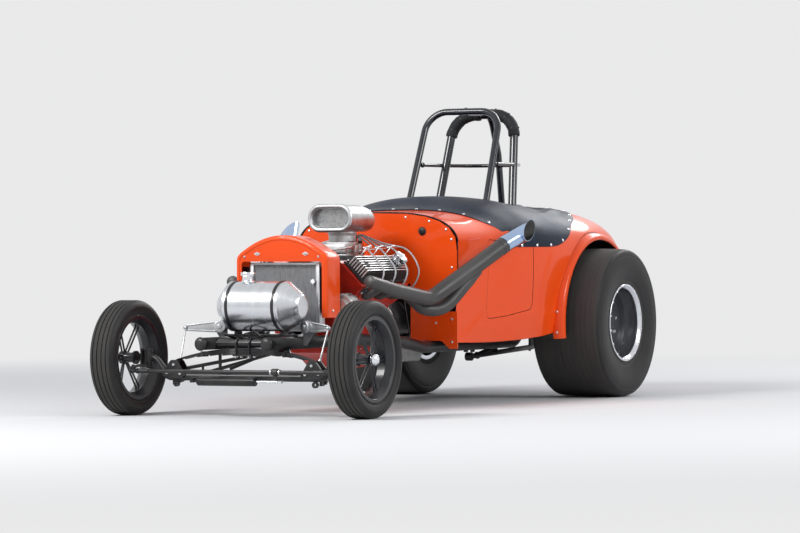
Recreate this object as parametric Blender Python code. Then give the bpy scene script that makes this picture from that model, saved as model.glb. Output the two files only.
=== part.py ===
"""A drag racing car: an open roadster body on a tube frame, with an exposed V8, narrow steered front
wheels and wide slicks, built from its separate pieces.

+X is the car's left, -Y is forward and +Z is up. The origin is on the floor under the middle of the car.
Lengths are in metres. A place along the car is written as its distance behind the front axle.
"""

import math

import bmesh
import bpy
from mathutils import Matrix, Vector

# Driving dimensions
wheelbase = 2.70
front_track = 1.30
rear_track = 1.19
tail_overhang = 0.66
seat_gap = 0.0003
pin_gap = 0.0004
run_gap = 0.006

# Front wheels and tyres
front_tyre_radius = 0.279
front_tyre_width = 0.132
front_bead_width = 0.094
front_rim_wall = 0.006
spoke_pairs = 6
spoke_radius = 0.0045
front_hub_radius = 0.034
front_hub_length = 0.09
hub_cap_radius = 0.036
hub_cap_length = 0.030

# Rear wheels and tyres
rear_tyre_radius = 0.394
rear_tyre_width = 0.395
rear_bead_width = 0.345
rear_rim_wall = 0.008
dish_depth = 0.235
rear_hub_radius = 0.075
rear_web = 0.010
nose_radius = 0.028
sleeve_radius = 0.046
sleeve_length = 0.045

# Both rims
bead_radius = 0.1935
flange_height = 0.012
flange_width = 0.007

# Frame
rail_radius = 0.030
rail_nose = 0.117
rail_front_x = 0.181
rail_mid_x = 0.27
rail_rear_x = 0.30
rail_front_z = 0.350
rail_mid_z = 0.330
rail_rear_z = 0.300
rail_kick_z = 0.500
rail_straight_end = 0.80
rail_mid_back = 1.10
rail_rear_back = 1.27
rail_tail = 0.20
kick_ahead = 0.210
kick_length = 0.16
brace_radius = 0.020

# Front axle, steering and spring
axle_radius = 0.020
axle_z = 0.190
axle_flat_x = 0.428
axle_end_x = 0.499
axle_end_radius = 0.015
kingpin_x = 0.540
boss_radius = 0.021
boss_height = 0.062
ear_thickness = 0.014
yoke_wall = 0.011
spindle_radius = 0.012
steer_arm_reach = 0.145
tie_rod_z = 0.220
tie_rod_radius = 0.009
rod_end_radius = 0.017
rod_end_height = 0.020
steer_arm_height = 0.012
spring_z = 0.3295
spring_width = 0.045
leaf_thickness = 0.0065
leaf_spans = (0.385, 0.33, 0.26, 0.19, 0.12)
spring_drop = 0.060
u_bolt_x = 0.036
u_bolt_radius = 0.0042
clamp_plate = 0.008
spring_clip_x = 0.225
spring_clip_width = 0.016
perch_thickness = 0.008
perch_height = 0.082
damper_tube_radius = 0.022
damper_rod_radius = 0.006
damper_z = 0.172
damper_ahead = 0.100
damper_fixed_x = -0.235
damper_tube_end_x = 0.115
damper_eye_x = 0.247
damper_eye_radius = 0.013
damper_eye_height = 0.014

# Fuel tank and its cradle
tank_back = 0.155
tank_z = 0.526
tank_radius = 0.121
tank_half_barrel = 0.150
tank_half_length = 0.235
tank_end_radius = 0.055
filler_x = -0.07
filler_radius = 0.028
filler_height = 0.026
cap_radius = 0.036
cap_height = 0.018
strap_x = 0.127
strap_width = 0.014
strap_thickness = 0.003
cradle_bar_height = 0.012
cradle_bar_width = 0.050

# Radiator and its shell
shell_back = 0.353
shell_depth = 0.137
shell_half_width = 0.255
shell_bottom_z = 0.467
shell_side_z = 0.745
shell_crown_z = 0.868
shell_shoulder_x = 0.215
shell_shoulder_z = 0.795
shell_wall = 0.008
moulding_inset = 0.0175
moulding_radius = 0.004
grille_half_width = 0.224
grille_top_z = 0.740
core_half_width = 0.175
core_tank_width = 0.020
core_back = 0.388
core_depth = 0.055
core_bottom_z = 0.400
core_top_z = 0.735

# Engine
engine_front = 0.60
engine_length = 0.50
crank_z = 0.420
cover_length = 0.455
cover_height = 0.060
cover_width = 0.150
cover_fins = 7
bank_low = (0.315, 0.620)
bank_high = (0.190, 0.745)
valley = (0.090, 0.645)
sump_z = 0.205
carb_back = 0.98
scoop_back = 0.845
scoop_length = 0.320
scoop_half_width = 0.122
scoop_height = 0.135
scoop_z = 0.952
scoop_wall = 0.006
scoop_lip = 0.004

# Headers and tips
header_radius_front = 0.030
header_radius_rear = 0.041
tip_radius = 0.043
tip_wall = 0.003

# Gearbox and propeller shaft
gearbox_length = 0.95
bell_radius = 0.175
case_radius = 0.115
tail_radius = 0.058
shaft_radius = 0.034

# Rear axle
axle_tube_radius = 0.040
diff_radius = 0.125
ladder_x = 0.235
ladder_radius = 0.014
ladder_z = 0.233
coil_radius = 0.034
coil_x = 0.150
coil_behind = 0.165

# Body
firewall_back = 1.350
firewall_thickness = 0.006
floor_thickness = 0.004
floor_half_width = 0.360
riser_ahead = 0.270
shelf_height = 0.590
body_wall = 0.010
arch_clearance = 0.046
arch_lip_out = 0.037
arch_band = 0.040
tub_clearance = 0.0255
tub_wall = 0.008
opening_z = 0.832
cover_overlap = 0.028
cover_thickness = 0.006
section_power = 2.8
side_tuck = 0.035
door_front = 1.617
door_length = 0.378
door_low_z = 0.452
door_high_z = 0.838
door_gap = 0.004
door_gap_depth = 0.004

# Roll cage, seat and steering wheel
hoop_radius = 0.018
foot_rise = 0.014
main_hoop_radius = 0.0225
pad_thickness = 0.009
cage_top_z = 1.522
seat_half_width = 0.195
seat_wall = 0.022
wheel_rim_radius = 0.150
wheel_rim_tube = 0.012
column_radius = 0.012

# How finely round pieces are divided
front_tyre_steps = 36
rear_tyre_steps = 40
front_rim_steps = front_tyre_steps // 2
rear_rim_steps = rear_tyre_steps // 2
tank_steps = 24
pin_steps = 16

# Values that follow from those above
overall_length = front_tyre_radius + wheelbase + tail_overhang
front_axle_y = front_tyre_radius - overall_length / 2
flange_radius = bead_radius + flange_height
arch_radius = rear_tyre_radius + arch_clearance
arch_lip_x = rear_track / 2 + arch_lip_out
tub_x = rear_track / 2 - rear_tyre_width / 2 - tub_clearance
rail_top_z = rail_front_z + rail_radius
floor_z = rail_rear_z + rail_radius + seat_gap
floor_top_z = floor_z + floor_thickness
engine_rear = engine_front + engine_length
gearbox_rear = engine_rear + gearbox_length
SIDES = (("l", 1), ("r", -1))

# Finishes: name, colour, roughness, metallic
FINISHES = (
    ("orange_paint", (0.80, 0.09, 0.02), 0.25, 0.0),
    ("black_paint", (0.02, 0.02, 0.022), 0.40, 0.0),
    ("engine_red", (0.62, 0.06, 0.02), 0.45, 0.0),
    ("bare_aluminium", (0.72, 0.73, 0.74), 0.30, 1.0),
    ("polished_metal", (0.85, 0.86, 0.88), 0.12, 1.0),
    ("coated_black", (0.05, 0.05, 0.052), 0.60, 0.0),
    ("tyre_rubber", (0.035, 0.035, 0.036), 0.75, 0.0),
    ("black_vinyl", (0.02, 0.02, 0.025), 0.50, 0.0),
    ("foam_sleeve", (0.025, 0.025, 0.028), 0.80, 0.0),
    ("seat_fabric", (0.03, 0.03, 0.035), 0.85, 0.0),
    ("sheet_steel", (0.30, 0.31, 0.32), 0.50, 1.0),
)


def at(x, back, z):
    """The point x to the left, back behind the front axle and z above the floor."""
    return Vector((x, front_axle_y + back, z))


def clear_scene():
    for item in list(bpy.data.objects):
        bpy.data.objects.remove(item, do_unlink=True)


def make_finishes():
    for name, colour, roughness, metallic in FINISHES:
        material = bpy.data.materials.new(name)
        material.use_nodes = True
        shader = material.node_tree.nodes["Principled BSDF"]
        shader.inputs["Base Color"].default_value = (*colour, 1.0)
        shader.inputs["Roughness"].default_value = roughness
        shader.inputs["Metallic"].default_value = metallic


def shape_of(bm):
    """An object with the bmesh's faces turned outwards."""
    bmesh.ops.remove_doubles(bm, verts=bm.verts, dist=1e-6)
    bmesh.ops.recalc_face_normals(bm, faces=bm.faces)
    mesh = bpy.data.meshes.new("shape")
    bm.to_mesh(mesh)
    bm.free()
    shape = bpy.data.objects.new("shape", mesh)
    bpy.context.scene.collection.objects.link(shape)
    return shape


def part(name, shape, finish, origin=None):
    """Names a finished shape, gives it its finish and puts its origin on its joint's axis."""
    centre = origin if origin is not None else Vector()
    shape.name = name
    shape.data.name = name
    shape.data.transform(Matrix.Translation(-centre))
    shape.location = centre
    shape.data.materials.clear()
    shape.data.materials.append(bpy.data.materials[finish])
    shape.data.shade_smooth()
    shape.data.set_sharp_from_angle(angle=math.radians(35))
    return shape


def boolean(base, others, operation):
    """Adds, cuts or keeps what the other shapes cover, and deletes them."""
    for other in others:
        modifier = base.modifiers.new("boolean", "BOOLEAN")
        modifier.operation = operation
        modifier.solver = "EXACT"
        modifier.object = other
    bpy.context.view_layer.update()
    graph = bpy.context.evaluated_depsgraph_get()
    mesh = bpy.data.meshes.new_from_object(base.evaluated_get(graph))
    base.modifiers.clear()
    tidy = bmesh.new()
    tidy.from_mesh(mesh)
    bmesh.ops.remove_doubles(tidy, verts=tidy.verts, dist=2e-5)
    bmesh.ops.dissolve_degenerate(tidy, dist=1e-5, edges=tidy.edges)
    tidy.to_mesh(mesh)
    tidy.free()
    base.data = mesh
    for other in others:
        bpy.data.objects.remove(other, do_unlink=True)
    return base


def join(base, *others):
    return boolean(base, others, "UNION")


def cut(base, *others):
    return boolean(base, others, "DIFFERENCE")


def box(low, high):
    bm = bmesh.new()
    low = Vector(low)
    high = Vector(high)
    size = Matrix.Diagonal((high - low).to_4d())
    size[3][3] = 1.0
    bmesh.ops.create_cube(bm, size=1.0, matrix=Matrix.Translation((low + high) / 2) @ size)
    return shape_of(bm)


def prism(outline, axis, start, stop):
    """An outline pushed along an axis: (y, z) along X, (x, z) along Y or (x, y) along Z."""
    place = {
        "X": lambda p: Vector((start, p[0], p[1])),
        "Y": lambda p: Vector((p[0], start, p[1])),
        "Z": lambda p: Vector((p[0], p[1], start)),
    }[axis]
    push = {"X": Vector((1, 0, 0)), "Y": Vector((0, 1, 0)), "Z": Vector((0, 0, 1))}[axis]
    bm = bmesh.new()
    face = bm.faces.new([bm.verts.new(place(p)) for p in outline])
    moved = bmesh.ops.extrude_face_region(bm, geom=[face])["geom"]
    verts = [item for item in moved if isinstance(item, bmesh.types.BMVert)]
    bmesh.ops.translate(bm, verts=verts, vec=push * (stop - start))
    return shape_of(bm)


def beside(axis):
    """The upward direction square to an axis, or the car's left for an upright axis."""
    up = Vector((0, 0, 1)) if abs(axis.z) < 0.9 else Vector((1, 0, 0))
    return (up - axis * axis.dot(up)).normalized()


def turned(outline, centre, axis, steps):
    """A profile of (along, radius) points spun about an axis; it closes on itself or on the axis."""
    axis = Vector(axis).normalized()
    side = beside(axis)
    bm = bmesh.new()
    verts = [bm.verts.new(centre + axis * along + side * radius) for along, radius in outline]
    edges = [bm.edges.new(pair) for pair in zip(verts, verts[1:])]
    if outline[0][1] > 0 and outline[-1][1] > 0:
        edges.append(bm.edges.new((verts[-1], verts[0])))
    turn = 2 * math.pi
    bmesh.ops.spin(bm, geom=verts + edges, cent=centre, axis=axis, angle=turn, steps=steps)
    bmesh.ops.remove_doubles(bm, verts=bm.verts, dist=1e-5)
    return shape_of(bm)


def rod(start, end, radius, sides=8):
    span = end - start
    return turned(((0, 0), (0, radius), (span.length, radius), (span.length, 0)), start, span, sides)


def disc(centre, axis, radius, thickness, sides=10):
    """A flat round plate with its middle at the centre."""
    half = Vector(axis).normalized() * thickness / 2
    return rod(centre - half, centre + half, radius, sides)


def bore_for(radius, steps=pin_steps):
    """The bore whose flats clear a turning pin by the pin gap."""
    return (radius + pin_gap) / math.cos(math.pi / steps)


def ring(centre, axis, bore, radius, thickness, sides=12):
    half = thickness / 2
    profile = ((-half, bore), (-half, radius), (half, radius), (half, bore))
    return turned(profile, centre, axis, sides)


def ball(centre, radius, rows=5, steps=8):
    angles = [math.pi * i / rows for i in range(rows + 1)]
    profile = [(-radius * math.cos(a), radius * math.sin(a)) for a in angles]
    profile[0] = (-radius, 0.0)
    profile[-1] = (radius, 0.0)
    return turned(profile, centre, (0, 0, 1), steps)


def bent(points, radius, steps=3):
    """A route whose corners are rounded to a bend radius."""
    route = [points[0]]
    for before, corner, after in zip(points, points[1:], points[2:]):
        to_start = (before - corner).normalized()
        to_end = (after - corner).normalized()
        half = to_start.angle(to_end) / 2
        room = 0.48 * min((before - corner).length, (after - corner).length)
        length = min(radius / math.tan(half), room)
        centre = corner + (to_start + to_end).normalized() * length / math.cos(half)
        first = corner + to_start * length - centre
        last = corner + to_end * length - centre
        for i in range(steps + 1):
            route.append(centre + first.slerp(last, i / steps) * first.length)
    route.append(points[-1])
    return route


def tube(route, radius, sides=8, bore=0.0, radii=None, keep=None):
    """A round tube along a route, solid or with a bore; radii gives each point's own radius.

    Where keep holds two indices, only the stretch between those points of the route is made.
    """
    tangents = []
    for i, point in enumerate(route):
        before = (point - route[i - 1]).normalized() if i else Vector()
        after = (route[i + 1] - point).normalized() if i + 1 < len(route) else Vector()
        tangents.append((before + after).normalized())
    side = beside(tangents[0])
    bm = bmesh.new()
    outer = []
    inner = []
    for i, (point, tangent) in enumerate(zip(route, tangents)):
        side = (side - tangent * side.dot(tangent)).normalized()
        across = tangent.cross(side)
        if keep and not keep[0] <= i <= keep[1]:
            continue
        size = radii[i] if radii else radius
        spokes = [
            side * math.cos(2 * math.pi * k / sides) + across * math.sin(2 * math.pi * k / sides)
            for k in range(sides)
        ]
        outer.append([bm.verts.new(point + spoke * size) for spoke in spokes])
        if bore:
            inner.append([bm.verts.new(point + spoke * (size - radius + bore)) for spoke in spokes])
    for rings in (outer, inner):
        for one, two in zip(rings, rings[1:]):
            for k in range(sides):
                j = (k + 1) % sides
                bm.faces.new((one[k], one[j], two[j], two[k]))
    for end in (0, -1):
        if bore:
            for k in range(sides):
                j = (k + 1) % sides
                bm.faces.new((outer[end][k], outer[end][j], inner[end][j], inner[end][k]))
        else:
            bm.faces.new(outer[end])
    return shape_of(bm)


def lofted(rings):
    """A solid through closed rings of equally many points."""
    bm = bmesh.new()
    rows = [[bm.verts.new(p) for p in points] for points in rings]
    count = len(rows[0])
    for one, two in zip(rows, rows[1:]):
        for k in range(count):
            j = (k + 1) % count
            bm.faces.new((one[k], one[j], two[j], two[k]))
    bm.faces.new(rows[0])
    bm.faces.new(rows[-1])
    return shape_of(bm)


def sheet(outer, inner, closed_tail):
    """A wall between two grids of points with open edges, closed at its last row where asked."""
    bm = bmesh.new()
    grids = [[[bm.verts.new(p) for p in row] for row in grid] for grid in (outer, inner)]
    for grid in grids:
        for one, two in zip(grid, grid[1:]):
            for k in range(len(one) - 1):
                bm.faces.new((one[k], one[k + 1], two[k + 1]))
                bm.faces.new((one[k], two[k + 1], two[k]))
    out, inn = grids
    for end in (0, -1):
        for i in range(len(out) - 1):
            bm.faces.new((out[i][end], out[i + 1][end], inn[i + 1][end], inn[i][end]))
    for k in range(len(out[0]) - 1):
        bm.faces.new((out[0][k], out[0][k + 1], inn[0][k + 1], inn[0][k]))
    if closed_tail:
        bm.faces.new(out[-1])
        bm.faces.new(inn[-1])
        bm.faces.new((out[-1][0], out[-1][-1], inn[-1][-1], inn[-1][0]))
    else:
        for k in range(len(out[-1]) - 1):
            bm.faces.new((out[-1][k], out[-1][k + 1], inn[-1][k + 1], inn[-1][k]))
    return shape_of(bm)


def arc(centre, radius, start, stop, steps):
    """Points on an arc, angles in degrees."""
    turn = math.radians(stop - start)
    angles = [math.radians(start) + turn * i / steps for i in range(steps + 1)]
    return [(centre[0] + radius * math.cos(a), centre[1] + radius * math.sin(a)) for a in angles]


# Body sections: distance behind the front axle, half width, sill, belt and crown heights
def body_table():
    front = firewall_back + firewall_thickness + seat_gap
    cabin = wheelbase - front
    tail = wheelbase + tail_overhang
    deck = rear_tyre_radius + arch_radius + arch_band
    return (
        (front, 0.455, 0.325, 0.780, 0.978),
        (front + 0.2186 * cabin, 0.502, 0.320, 0.780, 0.990),
        (front + 0.4419 * cabin, 0.560, 0.328, deck - 0.109, deck + 0.181),
        (front + 0.6279 * cabin, 0.590, 0.350, deck - 0.119, deck + 0.158),
        (front + 0.8512 * cabin, 0.600, 0.400, deck - 0.119, deck + 0.141),
        (wheelbase + 0.15 * tail_overhang, 0.598, 0.450, deck - 0.119, deck + 0.131),
        (wheelbase + 0.515 * tail_overhang, 0.560, 0.475, deck - 0.134, deck + 0.091),
        (wheelbase + 0.803 * tail_overhang, 0.480, 0.490, deck - 0.174, deck + 0.016),
        (tail, 0.340, 0.510, deck - 0.234, deck - 0.114),
    )


def station(back, table):
    """A body section's four sizes at a place, smoothly between the table's rows."""
    rows = list(table)
    i = max(k for k in range(len(rows) - 1) if rows[k][0] <= back + 1e-9)
    one, two = rows[i], rows[i + 1]
    span = two[0] - one[0]
    t = min(max((back - one[0]) / span, 0.0), 1.0)
    before = rows[i - 1] if i else one
    after = rows[i + 2] if i + 2 < len(rows) else two
    sizes = []
    for c in range(1, len(one)):
        slope_in = (two[c] - before[c]) / max(two[0] - before[0], 1e-9) * span
        slope_out = (after[c] - one[c]) / max(after[0] - one[0], 1e-9) * span
        sizes.append(
            one[c] * (2 * t**3 - 3 * t**2 + 1)
            + slope_in * (t**3 - 2 * t**2 + t)
            + two[c] * (3 * t**2 - 2 * t**3)
            + slope_out * (t**3 - t**2)
        )
    return sizes


def section(back, table, offset, side_rows=2, crown_rows=6):
    """A body section from the left sill over the crown to the right sill, moved out by an offset."""
    half_width, sill, belt, crown = station(back, table)
    wide = half_width + offset
    rise = crown + offset - belt
    half = []
    for i in range(side_rows):
        share = i / side_rows
        half.append((wide - side_tuck * (1 - share) ** 2, sill + (belt - sill) * share))
    for i in range(crown_rows + 1):
        angle = math.pi / 2 * i / crown_rows
        x = wide * max(math.cos(angle), 0.0) ** (2 / section_power)
        half.append((x if i < crown_rows else 0.0, belt + rise * math.sin(angle) ** (2 / section_power)))
    return half + [(-x, z) for x, z in reversed(half[:-1])]


def body_stations():
    rows = body_table()
    places = []
    for one, two in zip(rows, rows[1:]):
        places += [one[0], (one[0] + two[0]) / 2]
    return places + [rows[-1][0]]


def opening_outline(grow):
    """The cockpit's edge from above, front to back, made larger all round by a margin."""
    front = firewall_back + 0.31
    rear = wheelbase + 0.15
    long = rear - front
    out = rear_track / 2 + 0.085
    half = (
        (0.00, front - grow),
        (0.28 + grow / 2, front - 0.005 - grow),
        (0.40 + grow, front + 0.025 - grow),
        (0.48 + grow, front + 0.095 - grow / 2),
        (out, front + 0.286 * long),
        (out, rear - 0.521 * long),
        (0.52 + grow, rear - 0.336 * long),
        (0.47 + grow, rear - 0.24 + grow / 2),
        (0.36 + grow, rear - 0.11 + grow),
        (0.19 + grow / 2, rear - 0.03 + grow),
        (0.00, rear + grow),
    )
    right = [(-x, back) for x, back in reversed(half[1:-1])]
    return [(x, front_axle_y + back) for x, back in list(half) + right]


def door_outline(grow):
    """The door from the side, made larger all round by a margin, as points of Y and Z."""
    front = door_front - grow
    rear = door_front + door_length + grow
    corner = 0.026 + grow
    low = door_low_z - grow
    points = arc((front + corner, low + corner), corner, 180, 270, 3)
    points += arc((rear - corner, low + 0.030 + corner), corner, 290, 360, 3)
    points += [(rear, door_high_z - 0.012), (front, door_high_z + grow)]
    return [(front_axle_y + back, z) for back, z in points]


def build_body():
    table = body_table()
    places = body_stations()
    tail = places[-1]
    outer = [[at(x, b, z) for x, z in section(b, table, 0.0)] for b in places]
    inner_places = places[:-1] + [tail - body_wall]
    inner = [
        [at(x, b, z) for x, z in section(min(b, tail), table, -body_wall)] for b in inner_places
    ]
    shell = sheet(outer, inner, closed_tail=True)
    high = cage_top_z
    shell = cut(shell, prism(opening_outline(0.0), "Z", opening_z, high))
    hub = at(0, wheelbase, rear_tyre_radius)
    wells = [
        rod(
            hub + Vector((side * tub_x, 0, 0)),
            hub + Vector((side * 0.8, 0, 0)),
            arch_radius + arch_band + seat_gap,
            40,
        )
        for _, side in SIDES
    ]
    # Shut lines of the doors, a shallow groove that follows the skin
    near_door = [b for b in places if b < door_front + door_length + 0.35]
    over = [[at(x, b, z) for x, z in section(b, table, 0.004)] for b in near_door]
    under = [[at(x, b, z) for x, z in section(b, table, -door_gap_depth)] for b in near_door]
    layer = sheet(over, under, closed_tail=False)
    span = rear_track
    frame_of_door = cut(
        prism(door_outline(door_gap / 2), "X", -span, span),
        prism(door_outline(-door_gap / 2), "X", -span * 1.1, span * 1.1),
    )
    groove = boolean(layer, [frame_of_door], "INTERSECT")
    part("body_shell", cut(shell, *wells, groove), "orange_paint")


def build_tonneau():
    """The cover lies on the body's skin and is open over the seat and round the cage's legs."""
    table = body_table()
    places = [b for b in body_stations() if firewall_back + 0.1 < b < wheelbase + 0.3]
    grids = []
    for offset in (seat_gap * 2 + cover_thickness, seat_gap * 2):
        rows = []
        for b in places:
            points = section(b, table, offset)[2:-2]
            rows.append([at(x, b, z) for x, z in points])
        grids.append(rows)
    cover = sheet(grids[0], grids[1], closed_tail=False)
    edge = prism(opening_outline(cover_overlap), "Z", opening_z - cover_overlap, cage_top_z)
    cover = boolean(cover, [edge], "INTERSECT")
    low = opening_z
    hole = [(x, front_axle_y + b) for x, b in rounded_rectangle(0.0, wheelbase - 0.395, 0.175, 0.175, 0.07)]
    cutters = [prism(hole, "Z", low, cage_top_z)]
    room = 0.008
    for _, side in SIDES:
        knee, leg = cage_front_leg(side)[:2]
        foot, mid = cage_main_leg(side)[:2]
        cutters.append(rod(*through(knee, leg, low), hoop_radius + room, 14))
        cutters.append(rod(*through(foot, mid, low), main_hoop_radius + room, 14))
    top, bottom = cage_spine()[-2:]
    cutters.append(rod(*through(bottom, top, low), hoop_radius + room, 14))
    part("tonneau_cover", cut(cover, *cutters), "black_vinyl")


def rounded_rectangle(x, y, half_x, half_y, corner, steps=4):
    points = []
    for start, sx, sy in ((0, 1, 1), (90, -1, 1), (180, -1, -1), (270, 1, -1)):
        centre = (x + sx * (half_x - corner), y + sy * (half_y - corner))
        points += arc(centre, corner, start, start + 90, steps)
    return points


def through(one, two, low_z):
    """The line through two points, from just under a height to well above it."""
    slope = (two - one) / (two.z - one.z)
    return one + slope * (low_z - one.z), one + slope * (cage_top_z - 0.25 - one.z)


def build_firewall():
    table = body_table()
    rim = section(table[0][0], table, 0.0, side_rows=1)
    left = [(x, z) for x, z in rim if x >= 0 and z > table[0][3] - 0.01]
    right = [(x, z) for x, z in rim if x < 0 and z > table[0][3] - 0.01]
    notch_x = 0.365
    edge_x = table[0][1]
    tunnel_x = 0.190
    lower = (
        (-edge_x, 0.560),
        (-notch_x, 0.560),
        (-notch_x, 0.478),
        (-edge_x, 0.478),
        (-edge_x, 0.290),
        (-edge_x + 0.045, 0.290),
        (-notch_x, floor_z),
        (-tunnel_x, floor_z),
        (-tunnel_x, 0.620),
    )
    bottom = list(lower) + [(-x, z) for x, z in reversed(lower)]
    face = prism(
        left + right + bottom,
        "Y",
        front_axle_y + firewall_back,
        front_axle_y + firewall_back + firewall_thickness,
    )
    rear_face = front_axle_y + firewall_back + firewall_thickness
    bearing = column_point_at(rear_face + 0.055)
    bore = bore_for(column_radius)
    collar = ring(bearing, column_axis(), bore, column_radius + 0.012, 0.030, pin_steps)
    ribs = [
        box(
            (side * 0.0175 - 0.0025, rear_face - 0.002, bearing.z - 0.006),
            (side * 0.0175 + 0.0025, bearing.y, bearing.z + 0.006),
        )
        for _, side in SIDES
    ]
    part("firewall", join(face, collar, *ribs), "orange_paint")


def build_floor():
    """Floor sheet with a tunnel that narrows towards the rear, a riser and a shelf over the axle."""
    start = firewall_back + firewall_thickness + seat_gap
    riser = wheelbase - riser_ahead
    plate = floor_thickness

    def profile(half, top):
        under = [(floor_half_width, floor_z), (half, floor_z), (half * 0.75, top)]
        over = [
            (half * 0.75 + plate, top + plate),
            (half + plate, floor_top_z),
            (floor_half_width, floor_top_z),
        ]
        return under + [(-x, z) for x, z in reversed(under)] + [(-x, z) for x, z in over[::-1]] + over

    sheet_metal = lofted(
        (
            [at(x, start, z) for x, z in profile(0.185, 0.600)],
            [at(x, gearbox_rear, z) for x, z in profile(0.090, 0.490)],
            [at(x, riser, z) for x, z in profile(0.080, 0.462)],
        )
    )
    shelf_x = tub_x - 0.004
    step = box(at(-shelf_x, riser - plate, floor_z), at(shelf_x, riser, shelf_height))
    shelf = box(
        at(-shelf_x, riser - plate / 2, shelf_height - plate),
        at(shelf_x, wheelbase + 0.30, shelf_height),
    )
    shaft_way = box(at(-0.076, riser - 0.03, floor_z - 0.01), at(0.076, riser + 0.03, 0.460))
    top, bottom = cage_spine()[-2:]
    brace_way = rod(bottom, top, hoop_radius + run_gap, 12)
    part("floor_pan", cut(join(sheet_metal, step, shelf), shaft_way, brace_way), "sheet_steel")


def build_fender(tag, side):
    """Flared arch band and the inner tub behind it, in one moulding, spun about the rear axle."""
    hub = at(0, wheelbase, rear_tyre_radius)
    outer = arch_radius + arch_band
    profile = (
        (tub_x, 0.17),
        (tub_x + tub_wall, 0.17),
        (tub_x + tub_wall, arch_radius + 0.004),
        (arch_lip_x - 0.03, arch_radius + 0.004),
        (arch_lip_x - 0.012, arch_radius),
        (arch_lip_x, arch_radius),
        (arch_lip_x, arch_radius + 0.012),
        (arch_lip_x - 0.022, outer),
        (arch_lip_x - 0.060, outer),
        (arch_lip_x - 0.060, arch_radius + 0.004 + tub_wall),
        (tub_x, arch_radius + 0.004 + tub_wall),
    )
    steps = 20
    first, last = -9.0, 171.0
    rings = []
    for i in range(steps + 1):
        angle = math.radians(first + (last - first) * i / steps)
        out = Vector((0, -math.cos(angle), math.sin(angle)))
        rings.append([hub + Vector((side * x, 0, 0)) + out * r for x, r in profile])
    part("rear_fender_" + tag, lofted(rings), "orange_paint")


def cage_front_leg(side):
    """Front hoop's foot, knee and shoulder on one side."""
    rear = wheelbase
    return (
        at(side * 0.290, rear - 0.94, floor_top_z + seat_gap + foot_rise),
        at(side * 0.229, rear - 0.573, 1.000),
        at(side * 0.213, rear - 0.350, cage_top_z),
    )


def cage_main_leg(side):
    rear = wheelbase
    return (
        at(side * 0.290, rear - 0.345, floor_top_z + seat_gap + foot_rise),
        at(side * 0.222, rear - 0.235, 1.000),
        at(side * 0.178, rear - 0.105, cage_top_z - 0.012),
    )


def cage_spine():
    rear = wheelbase
    return (
        at(0, rear - 0.350, cage_top_z),
        at(0, rear - 0.04, cage_top_z),
        at(0, rear + 0.055, 1.30),
        at(0, rear + coil_behind, rail_kick_z + brace_radius + seat_gap + 0.002),
    )


def hoop_route(leg, bend_radius):
    left = leg(1)
    right = leg(-1)
    return bent(list(left) + list(reversed(right)), bend_radius, 3)


def main_hoop_route():
    """The main hoop's middle line, with a point where each foam sleeve starts and stops."""
    route = hoop_route(cage_main_leg, 0.130)
    half = len(route) // 2
    left = route[:half]
    low = cage_main_leg(1)
    start = low[1].lerp(low[2], 0.60)
    stop = Vector((hoop_radius + 0.006, left[-1].y, left[-1].z))
    below = [p for p in left if p.z < start.z]
    above = [p for p in left if p.z >= start.z]
    left = below + [start] + above + [stop]
    marks = (len(below), len(left) - 1)
    right = [Vector((-p.x, p.y, p.z)) for p in reversed(left)]
    return left + right, marks


def build_cage():
    foot_plate = (0.040, 0.040, 0.002)
    front = tube(hoop_route(cage_front_leg, 0.115), hoop_radius)
    main = tube(main_hoop_route()[0], main_hoop_radius)
    spine = tube(bent(cage_spine(), 0.12, 3), hoop_radius)
    rear = wheelbase
    bar_z = 1.240
    bar = [
        at(0.219, rear - 0.434, bar_z),
        at(0.215, rear - 0.20, bar_z),
        at(0.150, rear + 0.030, bar_z),
        at(-0.150, rear + 0.030, bar_z),
        at(-0.215, rear - 0.20, bar_z),
        at(-0.219, rear - 0.434, bar_z),
    ]
    head_bar = tube(bent(bar, 0.12, 2), 0.010, 6)
    feet = []
    for leg in (cage_front_leg, cage_main_leg):
        for _, side in SIDES:
            foot = leg(side)[0]
            low = foot - Vector(foot_plate)
            high = foot + Vector(foot_plate)
            low.z = foot.z - foot_rise
            feet.append(box(low, high))
    part("roll_cage", join(front, main, spine, head_bar, *feet), "black_paint")


def build_padding():
    """Foam sleeve over the top of the main hoop, round the tube with a hair's gap."""
    route, marks = main_hoop_route()
    outer = main_hoop_radius + pad_thickness
    left_half = tube(route, outer, bore=main_hoop_radius + 1.5 * seat_gap, keep=marks)
    right_half = mirrored(left_half)
    part("hoop_pad_l", left_half, "foam_sleeve")
    part("hoop_pad_r", right_half, "foam_sleeve")


def mirrored(shape):
    """A copy on the car's other side."""
    copy = bpy.data.objects.new("shape", shape.data.copy())
    bpy.context.scene.collection.objects.link(copy)
    copy.data.transform(Matrix.Diagonal((-1, 1, 1, 1)))
    copy.data.flip_normals()
    return copy


def column_axis():
    return Vector((0, 0.62, 0.26)).normalized()


def wheel_centre():
    return at(0, wheelbase - 0.74, 0.865)


def column_point_at(y):
    centre = wheel_centre()
    axis = column_axis()
    return centre + axis * ((y - centre.y) / axis.y)


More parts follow.
